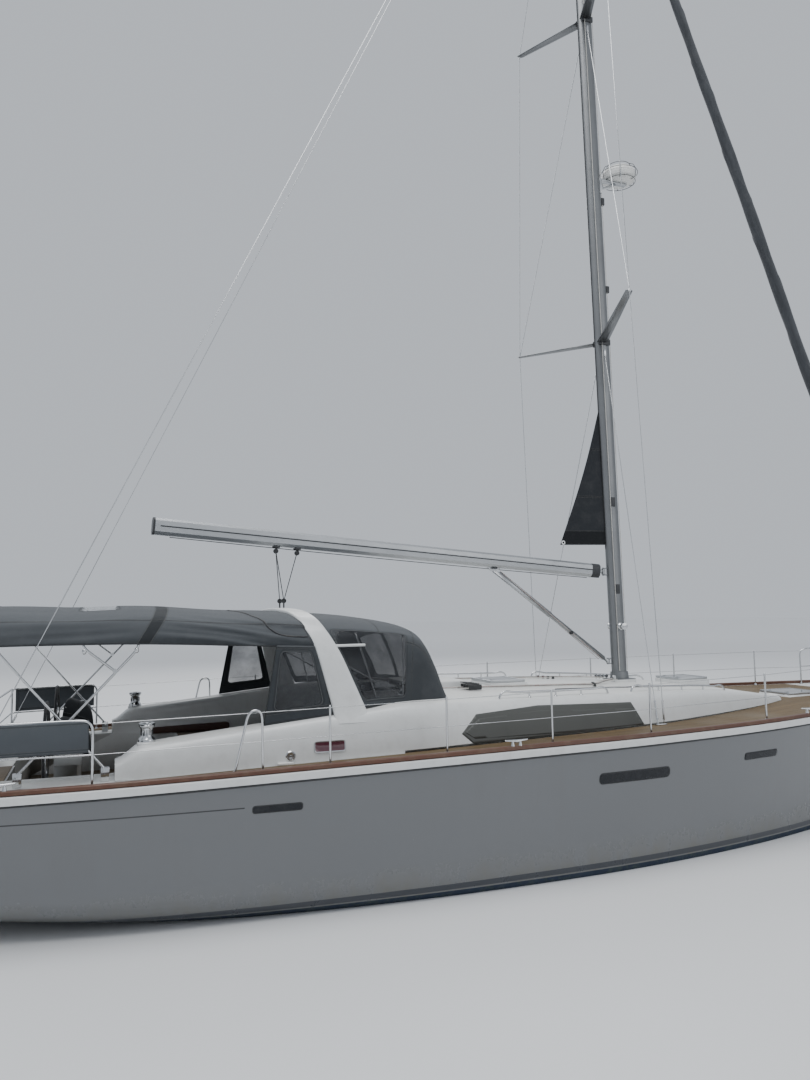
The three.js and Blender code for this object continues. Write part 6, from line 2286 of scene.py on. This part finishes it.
BIMINI_HOOPS = (  # x, lift, and x, y and z of the leg's end
    (-7.15, 0.048, (-6.15, 1.80, 1.54)),
    (-6.38, 0.050, (-6.07, 1.783, 2.48)),
    (-5.85, 0.024, (-6.93, 1.80, 1.54)),
)
STANCHIONS = (-4.68, -4.00, -2.72, -1.44, -0.10, 1.80, 3.30, 4.70)
GATE_LINE = ((-4.68, 0.0), (-4.69, 0.61), (-4.82, 0.61), (-4.96, 0.0))  # x, height above the deck


def mast_matrix(z, long, wide):
    """A place on the mast: the mast's own section there, sheared to its rake."""
    return Matrix(((long, 0, -math.tan(MAST_RAKE), mast_x(z)), (0, wide, 0, 0), (0, 0, 1, z), (0, 0, 0, 1)))


def mast_half(z):
    """The mast section's half length and half breadth."""
    taper = 1 - 0.35 * (z - 15.0) / 2.9 if z > 15 else 1.0
    return 0.122 * taper, 0.076 * taper


def add_beam(bm, a, b, wide, deep, bevel=0.0):
    """A rectangular bar from a to b, wide across the boat and deep the other way."""
    a, b = Vector(a), Vector(b)
    line = (b - a).normalized()
    side = Vector((0, 1, 0))
    up = line.cross(side).normalized()
    side = up.cross(line).normalized()
    place = Matrix((line, side, up)).transposed().to_4x4()
    place.translation = (a + b) / 2
    made = bmesh.ops.create_cube(
        bm, size=1.0, matrix=place @ Matrix.Diagonal(((b - a).length, wide, deep, 1))
    )
    if bevel:
        bevel_all(bm, made["verts"], bevel)
    return made["verts"]


class YACHT_OT_mast(bpy.types.Operator):
    """Steps the mast with its spreaders, stays, lights and halyards"""

    bl_idname = "yacht.mast"
    bl_label = "Mast and stays"

    def execute(self, context):
        self.tube()
        self.fittings()
        self.masthead()
        self.radome()
        mirrored_pair(self.stays)
        return {"FINISHED"}

    def tube(self):
        bm = bmesh.new()
        for z0, z1 in ((1.975, 15.0), (15.0, 17.9)):
            (l0, w0), (l1, _) = mast_half(z0), mast_half(z1)
            middle = (z0 + z1) / 2
            add_cone(bm, mast_matrix(middle, l0, w0), 1.0, l1 / l0, z1 - z0, 44)
        piece = finish("mast_tube", bm, "grey mast alloy", smooth=50)
        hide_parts("mast")
        bm = bmesh.new()
        for z0, z1 in ((3.9, 15.0), (15.0, 17.75)):
            ends = [Vector((mast_x(z) - mast_half(z)[0] + 0.002, 0, z)) for z in (z0, z1)]
            add_beam(bm, ends[0], ends[1], 0.022, 0.008)
        finish("mast_slot", bm, BLACK, smooth=30)

    def fittings(self):
        bm = bmesh.new()
        add_cone(bm, mast_matrix(2.03, 0.150, 0.104), 1.0, 0.93, 0.11, 40)
        add_block(bm, (0.815, -0.145, 1.976), (1.185, 0.145, 1.985), 0.003)
        for z in (GOOSENECK_Z, 2.24):
            pin = PIN_X - (z - GOOSENECK_Z) * math.tan(MAST_RAKE)
            half = 0.040 if z > 3 else 0.025
            for end in (-1, 1):
                top = z + end * (half + 0.0095)
                add_block(bm, (pin - 0.016, -0.015, top - 0.008), (pin + 0.09, 0.015, top + 0.008), 0.003)
            add_bar(bm, (pin, 0, z - half - 0.02), (pin, 0, z + half + 0.02), 0.0115, sides=20)
        finish("mast_collar_and_pins", bm, "grey mast alloy", smooth=35)
        bm = bmesh.new()
        for z, side in ((3.3, 1), (3.3, -1), (3.9, 1), (4.6, -1), (5.4, 1)):
            x, y = mast_x(z), side * (mast_half(z)[1] + 0.001)
            add_block(bm, (x - 0.035, y - 0.008, z - 0.07), (x + 0.035, y + 0.008, z + 0.07), 0.006)
        for z, high in ((7.9, 0.055), (9.3, 0.06)):
            x = mast_x(z) + mast_half(z)[0]
            add_block(bm, (x - 0.006, -0.03, z - high), (x + 0.055, 0.03, z + high), 0.012)
        finish("mast_exits_and_lights", bm, "black spar finish", smooth=35)
        bm = bmesh.new()
        z = 2.75
        drum = [(0, 0), (0.052, 0), (0.052, 0.02), (0.036, 0.04), (0.035, 0.085)]
        drum += [(0.05, 0.10), (0.05, 0.115), (0.02, 0.12), (0, 0.12)]
        for side in (1, -1):
            base = Vector((mast_x(z) + 0.01, side * (mast_half(z)[1] - 0.004), z))
            turn = Matrix.Rotation(-side * math.pi / 2, 4, "X")
            add_turned(bm, drum, Matrix.Translation(base) @ turn, 28)
        finish("halyard_winches", bm, STEEL, smooth=35)
        lines = []
        for k, (dx, dy) in enumerate(((0.13, 0.025), (0.135, -0.02), (-0.02, 0.088), (-0.05, -0.088))):
            line = [(mast_x(z) + dx, dy, z) for z in (2.1, 5.0, 9.0, 13.0)]
            top = 16.9 - 0.4 * k
            lines.append([*line, (mast_x(top) + dx * 0.8, dy * 0.75, top)])
        curve_piece("halyards", lines, sizes().line * 0.8, "white braid")

    def masthead(self):
        bm = bmesh.new()
        z = 17.86
        crane = mast_x(17.88)
        add_block(bm, (crane - 0.23, -0.03, 17.82), (crane + 0.13, 0.03, 17.90), 0.008)
        add_block(bm, (mast_x(17.36), -0.014, 17.32), (mast_x(17.36) + 0.125, 0.014, 17.40), 0.005)
        for x in (-0.20, 0.09):
            add_bar(bm, (mast_x(z) + x, -0.024, 17.83), (mast_x(z) + x, 0.024, 17.83), 0.032, sides=24)
        finish("mast_crane", bm, "grey mast alloy", smooth=35)
        bm = bmesh.new()
        top = mast_x(17.9)
        lamp = [(0, 0), (0.032, 0), (0.032, 0.02), (0.028, 0.024), (0.028, 0.065), (0.018, 0.08), (0, 0.082)]
        add_turned(bm, lamp, (top - 0.02, 0, 17.899), 20)
        add_bar(bm, (top + 0.05, 0.015, 17.895), (top + 0.05, 0.015, 18.16), 0.0035, sides=8)
        add_bar(bm, (top - 0.13, -0.012, 17.895), (top - 0.13, -0.012, 18.28), 0.0025, sides=8)
        add_beam(bm, (top + 0.05, 0.015, 18.15), (top + 0.24, 0.05, 18.15), 0.004, 0.004)
        add_beam(bm, (top + 0.05, 0.015, 18.15), (top - 0.10, -0.01, 18.15), 0.003, 0.05)
        add_beam(bm, (top + 0.05, 0.015, 17.95), (top + 0.46, 0.02, 17.99), 0.010, 0.010)
        hub = Vector((top + 0.46, 0.02, 18.02))
        for k in range(3):
            arm = hub + around(k, 3) * 0.06
            add_bar(bm, hub, arm, 0.003, sides=6)
            add_ball(bm, arm, 0.016, u=10, v=6)
        finish("masthead_gear", bm, BLACK, smooth=35)

    def radome(self):
        middle = Vector((mast_x(9.82) + 0.48, 0, 9.66))
        bm = bmesh.new()
        profile = [
            (0, 0), (0.19, 0), (0.215, 0.012), (0.255, 0.045), (0.264, 0.075), (0.267, 0.105), (0.264, 0.112),
            (0.2665, 0.118), (0.262, 0.140),
        ]
        profile += [(0.240, 0.180), (0.205, 0.208), (0.15, 0.232), (0.09, 0.244), (0, 0.249)]
        add_turned(bm, profile, middle, 56)
        piece = finish("radome_shell", bm, "white moulding", smooth=32)
        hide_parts("radome")
        bm = bmesh.new()
        add_block(bm, (mast_x(9.64) + 0.06, -0.04, 9.628), (middle.x + 0.12, 0.04, 9.6595), 0.005)
        add_beam(bm, (mast_x(9.5) + 0.10, 0, 9.47), (middle.x - 0.07, 0, 9.635), 0.010, 0.05, 0.003)
        add_block(bm, (mast_x(9.5) + 0.09, -0.05, 9.42), (mast_x(9.5) + 0.125, 0.05, 9.66), 0.004)
        finish("radome_arm", bm, "silver anodised alloy", smooth=35)
        rings = []
        for z, r in ((0.008, 0.250), (0.14, 0.290), (0.265, 0.175)):
            rings.append([middle + around(k, 40) * r + upward(z) for k in range(41)])
        rib = ((0.20, -0.004), (0.272, 0.02), (0.288, 0.14), (0.245, 0.225), (0.176, 0.264))
        for k in range(6):
            rings.append([middle + around(k, 6) * r + upward(h) for r, h in rib])
        curve_piece("radome_guard", rings, 0.0045, "black spar finish")

    def stays(self, side, sign):
        for name in ("lower_spreader", "upper_spreader"):
            smooth_copy(f"{name}_wing_{side}", f"{name}_{side}", "grey mast alloy", angle=70)
        tips = []
        for z, long, rise in SPREADERS:
            out = math.cos(SWEEP) * long + 0.007
            tips.append(Vector((mast_x(z) - math.sin(SWEEP) * long, sign * out, z + rise)))
        chain = Vector((0.52, sign * 1.64, deck_z(0.52)))
        foot = chain + upward(0.003)
        inner = foot + Vector((-0.07, -sign * 0.03, 0))
        cap = Vector((mast_x(17.1), sign * 0.055, 17.1))
        low_top = Vector((mast_x(6.88), sign * 0.07, 6.88))
        middle_top = Vector((mast_x(12.05), sign * 0.07, 12.05))
        wires = [[foot, tips[0], tips[1], cap], [inner, low_top], [tips[0], middle_top]]
        piece = curve_piece(f"shroud_wires_{side}", wires, STAY_RADIUS, STEEL)
        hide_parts(f"shrouds_{side}")
        bm = bmesh.new()
        for base, head in ((foot, tips[0]), (inner, low_top)):
            line = (head - base).normalized()
            self.screw(bm, base, line, 0.011, 0.34)
        for tip in tips:
            add_ball(bm, tip, 0.021, (1.2, 0.8, 1.0))
        for head in (cap, low_top, middle_top):
            add_block_about(bm, head, (0.018, 0.012, 0.05), 0.004)
        port, starboard = (0.015, 0.045) if sign > 0 else (0.045, 0.015)
        add_block(bm, chain - Vector((0.11, starboard, 0.004)), chain + Vector((0.04, port, 0.016)), 0.004)
        finish(f"shroud_screws_{side}", bm, STEEL, smooth=40)
        top = Vector((mast_x(17.86) - 0.215, sign * 0.012, 17.86))
        low = Vector((-7.42, sign * 1.99, deck_z(-7.42) - 0.010))
        piece = curve_piece(f"backstay_wire_{side}", [[low, top]], STAY_RADIUS, STEEL)
        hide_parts(f"backstay_{side}")
        bm = bmesh.new()
        self.screw(bm, low, (top - low).normalized(), 0.012, 0.35)
        add_block(bm, low - Vector((0.03, 0.02, 0.004)), low + Vector((0.03, 0.02, 0.035)), 0.004)
        finish(f"backstay_screw_{side}", bm, STEEL, smooth=40)
        bm = bmesh.new()
        for z, _, _ in SPREADERS:
            root = Vector((mast_x(z), sign * (mast_half(z)[1] + 0.004), z))
            add_block_about(bm, root, (0.10, 0.012, 0.045), 0.008)
        finish(f"spreader_roots_{side}", bm, "black spar finish", smooth=35)

    def screw(self, bm, base, line, radius, long):
        """A turnbuckle with its fork and threaded ends."""

        def at(share):
            return base + line * long * share

        add_bar(bm, base, at(0.22), radius * 0.62, sides=12)
        add_bar(bm, at(0.20), at(0.86), radius * 1.15, sides=16)
        add_bar(bm, at(0.84), at(1), radius * 0.62, 0.0055, 12)
        for share in (0.19, 0.85):
            add_bar(bm, at(share), at(share + 0.045), radius * 1.4, sides=6)


SWEEP = math.radians(20.5)
SPREADERS = ((7.04, 1.640, 0.190), (12.21, 1.340, 0.150))  # root z, length, rise


class YACHT_OT_boom(bpy.types.Operator):
    """Rigs the boom, its vang and its mainsheet"""

    bl_idname = "yacht.boom"
    bl_label = "Boom"

    def execute(self, context):
        piece = smooth_copy("boom_section", "boom", "pale boom alloy", "boom", 28)
        soften(piece, 0.014, 3)
        smooth_copy("vang_strut", "vang", "silver anodised alloy", "boom", 50)
        bm = bmesh.new()
        self.cap(bm, 6.48, 6.505)
        self.cap(bm, 0.102, 0.245)
        for s in (4.75, 5.02, 1.9):
            for across in (-0.03, 0.03):
                add_beam(
                    bm, boom_point(s - 0.04, across, -0.10), boom_point(s + 0.04, across, -0.10), 0.014, 0.03,
                    0.003,
                )
        finish("boom_ends", bm, "black spar finish", "boom", smooth=35)
        bm = bmesh.new()
        for across in (-0.0665, 0.0665):
            add_beam(bm, boom_point(0.24, across, 0.005), boom_point(6.42, across, 0.005), 0.006, 0.014)
        finish("boom_grooves", bm, BLACK, "boom", smooth=30)
        places = (0.30, 1.2, 2.4, 3.6, 4.8, 6.3)
        line = [boom_point(s, 0.0, -0.112 - 0.012 * math.sin(math.pi * (s - 0.3) / 6.0)) for s in places]
        curve_piece("outhaul_line", [line], sizes().line * 0.8, "black braid", "boom", smooth=True)
        self.mainsheet()
        self.vang_tackle()
        return {"FINISHED"}

    def cap(self, bm, s0, s1):
        """A cast end over the boom's section."""
        half = [(0.45, 1), (0.9, 0.72), (1, 0.2), (0.86, -0.6), (0.4, -1)]
        around = [(a * 0.0685, b * 0.1005) for a, b in half] + [
            (-a * 0.0685, b * 0.1005) for a, b in reversed(half)
        ]
        verts = [bm.verts.new(boom_point(s0, across, up)) for across, up in around]
        face = bm.faces.new(verts)
        grown = bmesh.ops.extrude_face_region(bm, geom=[face])
        moved = [v for v in grown["geom"] if isinstance(v, bmesh.types.BMVert)]
        bmesh.ops.translate(bm, vec=boom_point(s1, 0, 0) - boom_point(s0, 0, 0), verts=moved)
        bmesh.ops.recalc_face_normals(bm, faces=bm.faces)

    def block(self, bm, centre, radius):
        """A rope block: two cheeks about a sheave."""
        for off in (-0.014, 0.014):
            add_bar(
                bm, centre + Vector((0, off - 0.003, 0)), centre + Vector((0, off + 0.003, 0)), radius,
                sides=22,
            )
        add_bar(bm, centre - Vector((0, 0.011, 0)), centre + Vector((0, 0.011, 0)), radius * 0.75, sides=18)

    def mainsheet(self):
        low = [Vector((-4.05, y, 3.176)) for y in (-0.16, 0.10)]
        high = [boom_point(4.75, 0, -0.155), boom_point(5.02, 0, -0.155)]
        bm = bmesh.new()
        for centre in low:
            self.block(bm, centre, 0.030)
            add_beam(bm, centre + upward(-0.088), centre + upward(-0.012), 0.022, 0.016)
        finish("mainsheet_low_blocks", bm, BLACK, smooth=35)
        bm = bmesh.new()
        for centre in high:
            self.block(bm, centre, 0.030)
        finish("mainsheet_high_blocks", bm, BLACK, "boom", smooth=35)
        falls = [(low[0], high[0]), (low[0], high[1]), (low[1], high[1])]
        falls = [[a.lerp(b, k / 14) for k in range(15)] for a, b in falls]
        rope_piece = curve_piece("mainsheet_falls", falls, sizes().line * 0.9, "black braid", None)
        tuple(high[0])
        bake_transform(rope_piece)

    def vang_tackle(self):
        lines = []
        low = Vector((PIN_X - 0.10, 0, 2.275))
        for across in (-0.05, 0.05):
            lines.append([low + Vector((0, across, 0)), boom_point(1.82, across, -0.14)])
        bm = bmesh.new()
        self.block(bm, low.lerp(boom_point(1.82, 0, -0.14), 0.32) + Vector((0, -0.06, -0.01)), 0.026)
        finish("vang_block", bm, BLACK, "boom", smooth=35)
        curve_piece("vang_tackle", lines, sizes().line * 0.8, "red fleck braid", "boom")


class YACHT_OT_sails(bpy.types.Operator):
    """Rolls the headsail on its stay and hangs the mainsail's clew"""

    bl_idname = "yacht.sails"
    bl_label = "Sails"

    def execute(self, context):
        self.headsail()
        self.clew()
        return {"FINISHED"}

    def headsail(self):
        rows = [
            (0.42, 0.040), (0.70, 0.076), (2.20, 0.092), (6.50, 0.088), (11.0, 0.070), (14.6, 0.046),
            (15.2, 0.020),
        ]

        def point(u, v):
            s = 0.42 + 14.78 * v
            radius = max(0.018, row_at(rows, s, 1))
            angle = 2 * math.pi * u
            lap = (u - s * 0.62 - 0.06 * math.sin(2.3 * s)) % 1.0
            ridge = 0.006 * math.exp(-((lap * 26) ** 2)) + 0.005 * (1 - lap)
            swell = 0.004 * math.sin(5.0 * s + 2.0 * angle)
            swell += 0.003 * noise_at(Vector((s, angle, 0)), (4, 1, 1), 6.6) * math.sin(math.pi * u)
            squash = 1 + 0.05 * math.cos(2 * angle + 0.8 * s)
            taper = min(1.0, (v / 0.02), ((1 - v) / 0.02)) if 0 < v < 1 else 0.0
            return stay_point(s, radius * squash + (ridge + swell) * max(0.0, taper), angle)

        bm = bmesh.new()
        add_sheet(bm, 360, 40, point)
        bmesh.ops.remove_doubles(bm, verts=bm.verts, dist=2e-4)
        bmesh.ops.holes_fill(bm, edges=[e for e in bm.edges if e.is_boundary], sides=0)
        bmesh.ops.recalc_face_normals(bm, faces=bm.faces)
        piece = finish("rolled_sail", bm, "rolled sail cloth", "headsail", smooth=60)
        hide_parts("rolled_headsail")
        whole = (STAY_TOP - STAY_TACK).length
        bm = bmesh.new()
        add_bar(bm, stay_point(0.2503), stay_point(whole - 0.12), 0.0155, sides=18)
        add_bar(bm, stay_point(15.30), stay_point(15.42), 0.034, 0.030, 22)
        add_bar(bm, stay_point(0.30), stay_point(0.42), 0.024, 0.030, 22)
        finish("sail_foil", bm, "silver anodised alloy", "headsail", smooth=40)

    def clew(self):
        corner = [Vector((0.060, 0, 3.950)), Vector((0.885, 0, 3.960)), Vector((0.815, 0, 6.080))]

        def point(u, v):
            luff = corner[1].lerp(corner[2], v)
            leech = corner[0].lerp(corner[2], v)
            leech.x += 0.05 * math.sin(math.pi * v)
            p = leech.lerp(luff, u)
            belly = 0.035 * math.sin(math.pi * min(1.0, 1.2 * (1 - v))) * (1 - u) * u * 2
            p.y = belly + noise_at(p, (3, 1, 1.4), 4.4) * 0.010 * (1 - u) * (1 - v)
            return p

        material = cloth(
            "mainsail cloth",
            tuple(c * 0.5 for c in colours().sail),
            seams=[("v", 0.72), ("v", 1.44)],
            bands=[(0.0, 0.22, 0.0)],
            crease=0.25,
        )
        width = 0.83
        height = arc_length(sampled(point, 20, u=1))
        sheet_piece(
            "mainsail_clew_cloth", point, (34, 70), (width, height), material, thickness=0.002,
            replaced="mainsail_clew",
        )
        bm = bmesh.new()
        place = Matrix.Translation((0.115, 0.0, 3.985)) @ Matrix.Rotation(math.pi / 2, 4, "X")
        ring = [(0.016, -0.005), (0.030, -0.005), (0.030, 0.005), (0.016, 0.005), (0.016, -0.005)]
        add_turned(bm, ring, place, 26)
        finish("clew_ring", bm, STEEL, smooth=40)


class YACHT_OT_bow_gear(bpy.types.Operator):
    """Fits the stem, anchor, windlass, chain, chain stopper and furling drum"""

    bl_idname = "yacht.bow_gear"
    bl_label = "Bow gear"

    def execute(self, context):
        smooth_copy("stem_head", "bow_fitting", STEEL, angle=35)
        smooth_copy("anchor_forging", "anchor", "galvanised steel", angle=35)
        smooth_copy("windlass_body", "windlass", STEEL, angle=35)
        bm = bmesh.new()
        line = (STAY_TOP - STAY_TACK).normalized()
        turn = line.to_track_quat("Z", "Y").to_matrix().to_4x4()
        profile = [
            (0, 0.0605), (0.10, 0.0605), (0.1045, 0.064), (0.1045, 0.070), (0.10, 0.073), (0.062, 0.078),
            (0.060, 0.190), (0.10, 0.196), (0.1045, 0.199),
        ]
        profile += [
            (0.1045, 0.206), (0.10, 0.209), (0.045, 0.214), (0.030, 0.222), (0.026, 0.249), (0, 0.249)
        ]
        add_turned(bm, profile, Matrix.Translation(STAY_TACK) @ turn, 48)
        piece = finish("furling_drum", bm, BLACK, "headsail", smooth=32)
        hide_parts("furler_drum")
        turns = [stay_point(0.083 + 0.0102 * (k / 15), 0.0665, 2 * math.pi * k / 15) for k in range(150)]
        curve_piece("furling_line_turns", [turns], 0.005, "white braid", "headsail")
        hoops = [[stay_point(s, 0.118, math.radians(a)) for a in range(200, 341, 7)] for s in (0.085, 0.185)]
        posts = [[stay_point(s, 0.118, math.radians(a)) for s in (0.04, 0.085, 0.185)] for a in (214, 326)]
        curve_piece("furler_guard", [*hoops, *posts], 0.004, STEEL)
        self.chain()
        bm = bmesh.new()
        for x in (6.66, 6.80):
            add_block(bm, (x - 0.05, -0.05, deck_z(x) - 0.012), (x + 0.05, 0.05, deck_z(x) + 0.03), 0.008)
        finish("chain_stopper", bm, STEEL, smooth=35)
        return {"FINISHED"}

    def chain(self):
        """Links from the windlass's gypsy to the anchor's shank, each turned on the last."""
        bm = bmesh.new()
        a, b = Vector((6.37, 0, 1.735)), Vector((7.085, 0, 1.760))
        pitch = 0.030
        count = int((b - a).length / pitch)
        line = (b - a).normalized()
        for k in range(count):
            centre = a + line * (k + 0.5) * pitch
            centre.z -= 0.030 * math.sin(math.pi * (k + 0.5) / count)
            across = Vector((0, 1, 0)) if k % 2 else upward(1)
            loop = []
            for j in range(10):
                t = 2 * math.pi * j / 10
                loop.append(centre + line * (0.0215 * math.cos(t)) + across * (0.0125 * math.sin(t)))
            for p, q in zip(loop, loop[1:] + loop[:1]):
                add_bar(bm, p, q, 0.0042, sides=5)
        finish("anchor_chain", bm, "galvanised steel", smooth=60)


class YACHT_OT_running_lines(bpy.types.Operator):
    """Leads the halyards and sheets over the coachroof to their clutches"""

    bl_idname = "yacht.running_lines"
    bl_label = "Running lines"

    def execute(self, context):
        mirrored_pair(self.side)
        return {"FINISHED"}

    def side(self, side, sign):
        """One side's lines from the mast's foot over the coachroof, with their blocks and clutches."""
        sheave = [(0, 0), (0.022, 0), (0.022, 0.012), (0.015, 0.016)]
        sheave += [(0.015, 0.026), (0.022, 0.030), (0.022, 0.036), (0, 0.040)]
        bm = bmesh.new()
        for k, (inner, outer, braid) in enumerate(ROOF_LINES):
            start = Vector((0.80, sign * inner, 1.995))
            turn = Vector((0.18 - 0.04 * k, sign * outer, roof_z(0.2) + 0.022))
            lead = Vector((-1.2, sign * (outer + 0.02), roof_z(-1.2) + 0.024))
            end = Vector((-1.93, sign * (outer + 0.03), roof_z(-1.9) + 0.030))
            line = [start, start.lerp(turn, 0.5) + upward(0.006), turn]
            line += [turn.lerp(lead, 0.33), turn.lerp(lead, 0.66), lead, end]
            if k == 1:
                line.append(Vector((-2.66, sign * 1.02, 2.075)))
            curve_piece(f"roof_line_{side}_{k + 1}", [line], sizes().line * 0.9, braid, smooth=True)
            add_turned(bm, sheave, Matrix.Translation(turn + Vector((0.01, 0, -0.022))), 18)
            x, y, z = -1.72, sign * (outer + 0.028), roof_z(-1.72)
            add_block(bm, (x - 0.09, y - 0.018, z + 0.004), (x + 0.09, y + 0.018, z + 0.070), 0.008)
            add_beam(bm, (x + 0.06, y, z + 0.078), (x - 0.10, y, z + 0.090), 0.022, 0.012, 0.004)
        finish(f"rope_clutches_{side}", bm, BLACK, smooth=35)
        bm = bmesh.new()
        for k in range(4):
            base = Vector((0.84 - 0.03 * k, sign * (0.10 + 0.045 * k), 1.972))
            add_bar(bm, base, base + upward(0.03), 0.010, sides=10)
            for off in (-0.009, 0.009):
                add_bar(
                    bm, base + Vector((0, off - 0.002, 0.045)), base + Vector((0, off + 0.002, 0.045)), 0.024,
                    sides=18,
                )
        finish(f"foot_blocks_{side}", bm, STEEL, smooth=35)


ROOF_LINES = (  # how far out at the mast and at the clutch, and the line's finish
    (0.10, 0.54, "white braid"),
    (0.145, 0.62, "red fleck braid"),
    (0.19, 0.70, "black braid"),
    (0.235, 0.78, "white braid"),
)


class YACHT_OT_stern(bpy.types.Operator):
    """Fits the platform's handles and hinge plates, the stern light and the fairleads"""

    bl_idname = "yacht.stern"
    bl_label = "Stern"

    def execute(self, context):
        bm = bmesh.new()
        for y in (-0.76, 0.76):
            add_block(bm, (-7.409, y - 0.05, 0.30), (-7.4035, y + 0.05, 0.34), 0.002)
        for y in (-0.35, 0.35):
            add_bar(bm, (-7.396, y - 0.07, 1.20), (-7.396, y + 0.07, 1.20), 0.007, sides=12)
        finish("platform_handles", bm, STEEL, "platform", smooth=35)
        bm = bmesh.new()
        add_block_about(bm, Vector((-7.385, -0.64, 2.075)), (0.03, 0.03, 0.03), 0.01)
        finish("stern_light", bm, BLACK, smooth=35)
        mirrored_pair(self.fairlead)
        return {"FINISHED"}

    def fairlead(self, side, sign):
        bm = bmesh.new()
        for x in (-7.28, 6.75):
            y = sign * (deck_half(x) - 0.03)
            z = sheer_z(x) + GUNWALE_HIGH + 0.003
            for off in (-0.075, 0.075):
                add_bar(bm, (x + off, y - 0.02, z), (x + off * 0.6, y - 0.02, z + 0.042), 0.010, 0.009, 12)
            add_block(bm, (x - 0.1, y - 0.032, z - 0.002), (x + 0.1, y, z + 0.008), 0.003)
        finish(f"fairleads_{side}", bm, STEEL, smooth=35)


class YACHT_PT_dressing(bpy.types.Panel):
    """Lists the yacht's pieces and what a user may change"""

    bl_label = "Yacht"
    bl_idname = "YACHT_PT_dressing"
    bl_space_type = "VIEW_3D"
    bl_region_type = "UI"
    bl_category = "Yacht"

    def draw(self, context):
        for step in STEPS:
            self.layout.operator(step.bl_idname)
        for settings in (context.scene.yacht_sizes, context.scene.yacht_colours):
            column = self.layout.column()
            for name in settings.__annotations__:
                column.prop(settings, name)


STEPS = (
    YACHT_OT_stage,
    YACHT_OT_hull,
    YACHT_OT_deck,
    YACHT_OT_cockpit,
    YACHT_OT_rails,
    YACHT_OT_canvas,
    YACHT_OT_mast,
    YACHT_OT_boom,
    YACHT_OT_sails,
    YACHT_OT_bow_gear,
    YACHT_OT_running_lines,
    YACHT_OT_stern,
)
CLASSES = (YachtSizes, YachtColours, *STEPS, YACHT_PT_dressing)


def register():
    for one in CLASSES:
        bpy.utils.register_class(one)
    bpy.types.Scene.yacht_sizes = bpy.props.PointerProperty(type=YachtSizes)
    bpy.types.Scene.yacht_colours = bpy.props.PointerProperty(type=YachtColours)


def unregister():
    del bpy.types.Scene.yacht_colours
    del bpy.types.Scene.yacht_sizes
    for one in reversed(CLASSES):
        bpy.utils.unregister_class(one)


def main():
    register()
    for step in STEPS:
        group_name, call = step.bl_idname.split(".")
        getattr(getattr(bpy.ops, group_name), call)()


if __name__ == "__main__":
    main()
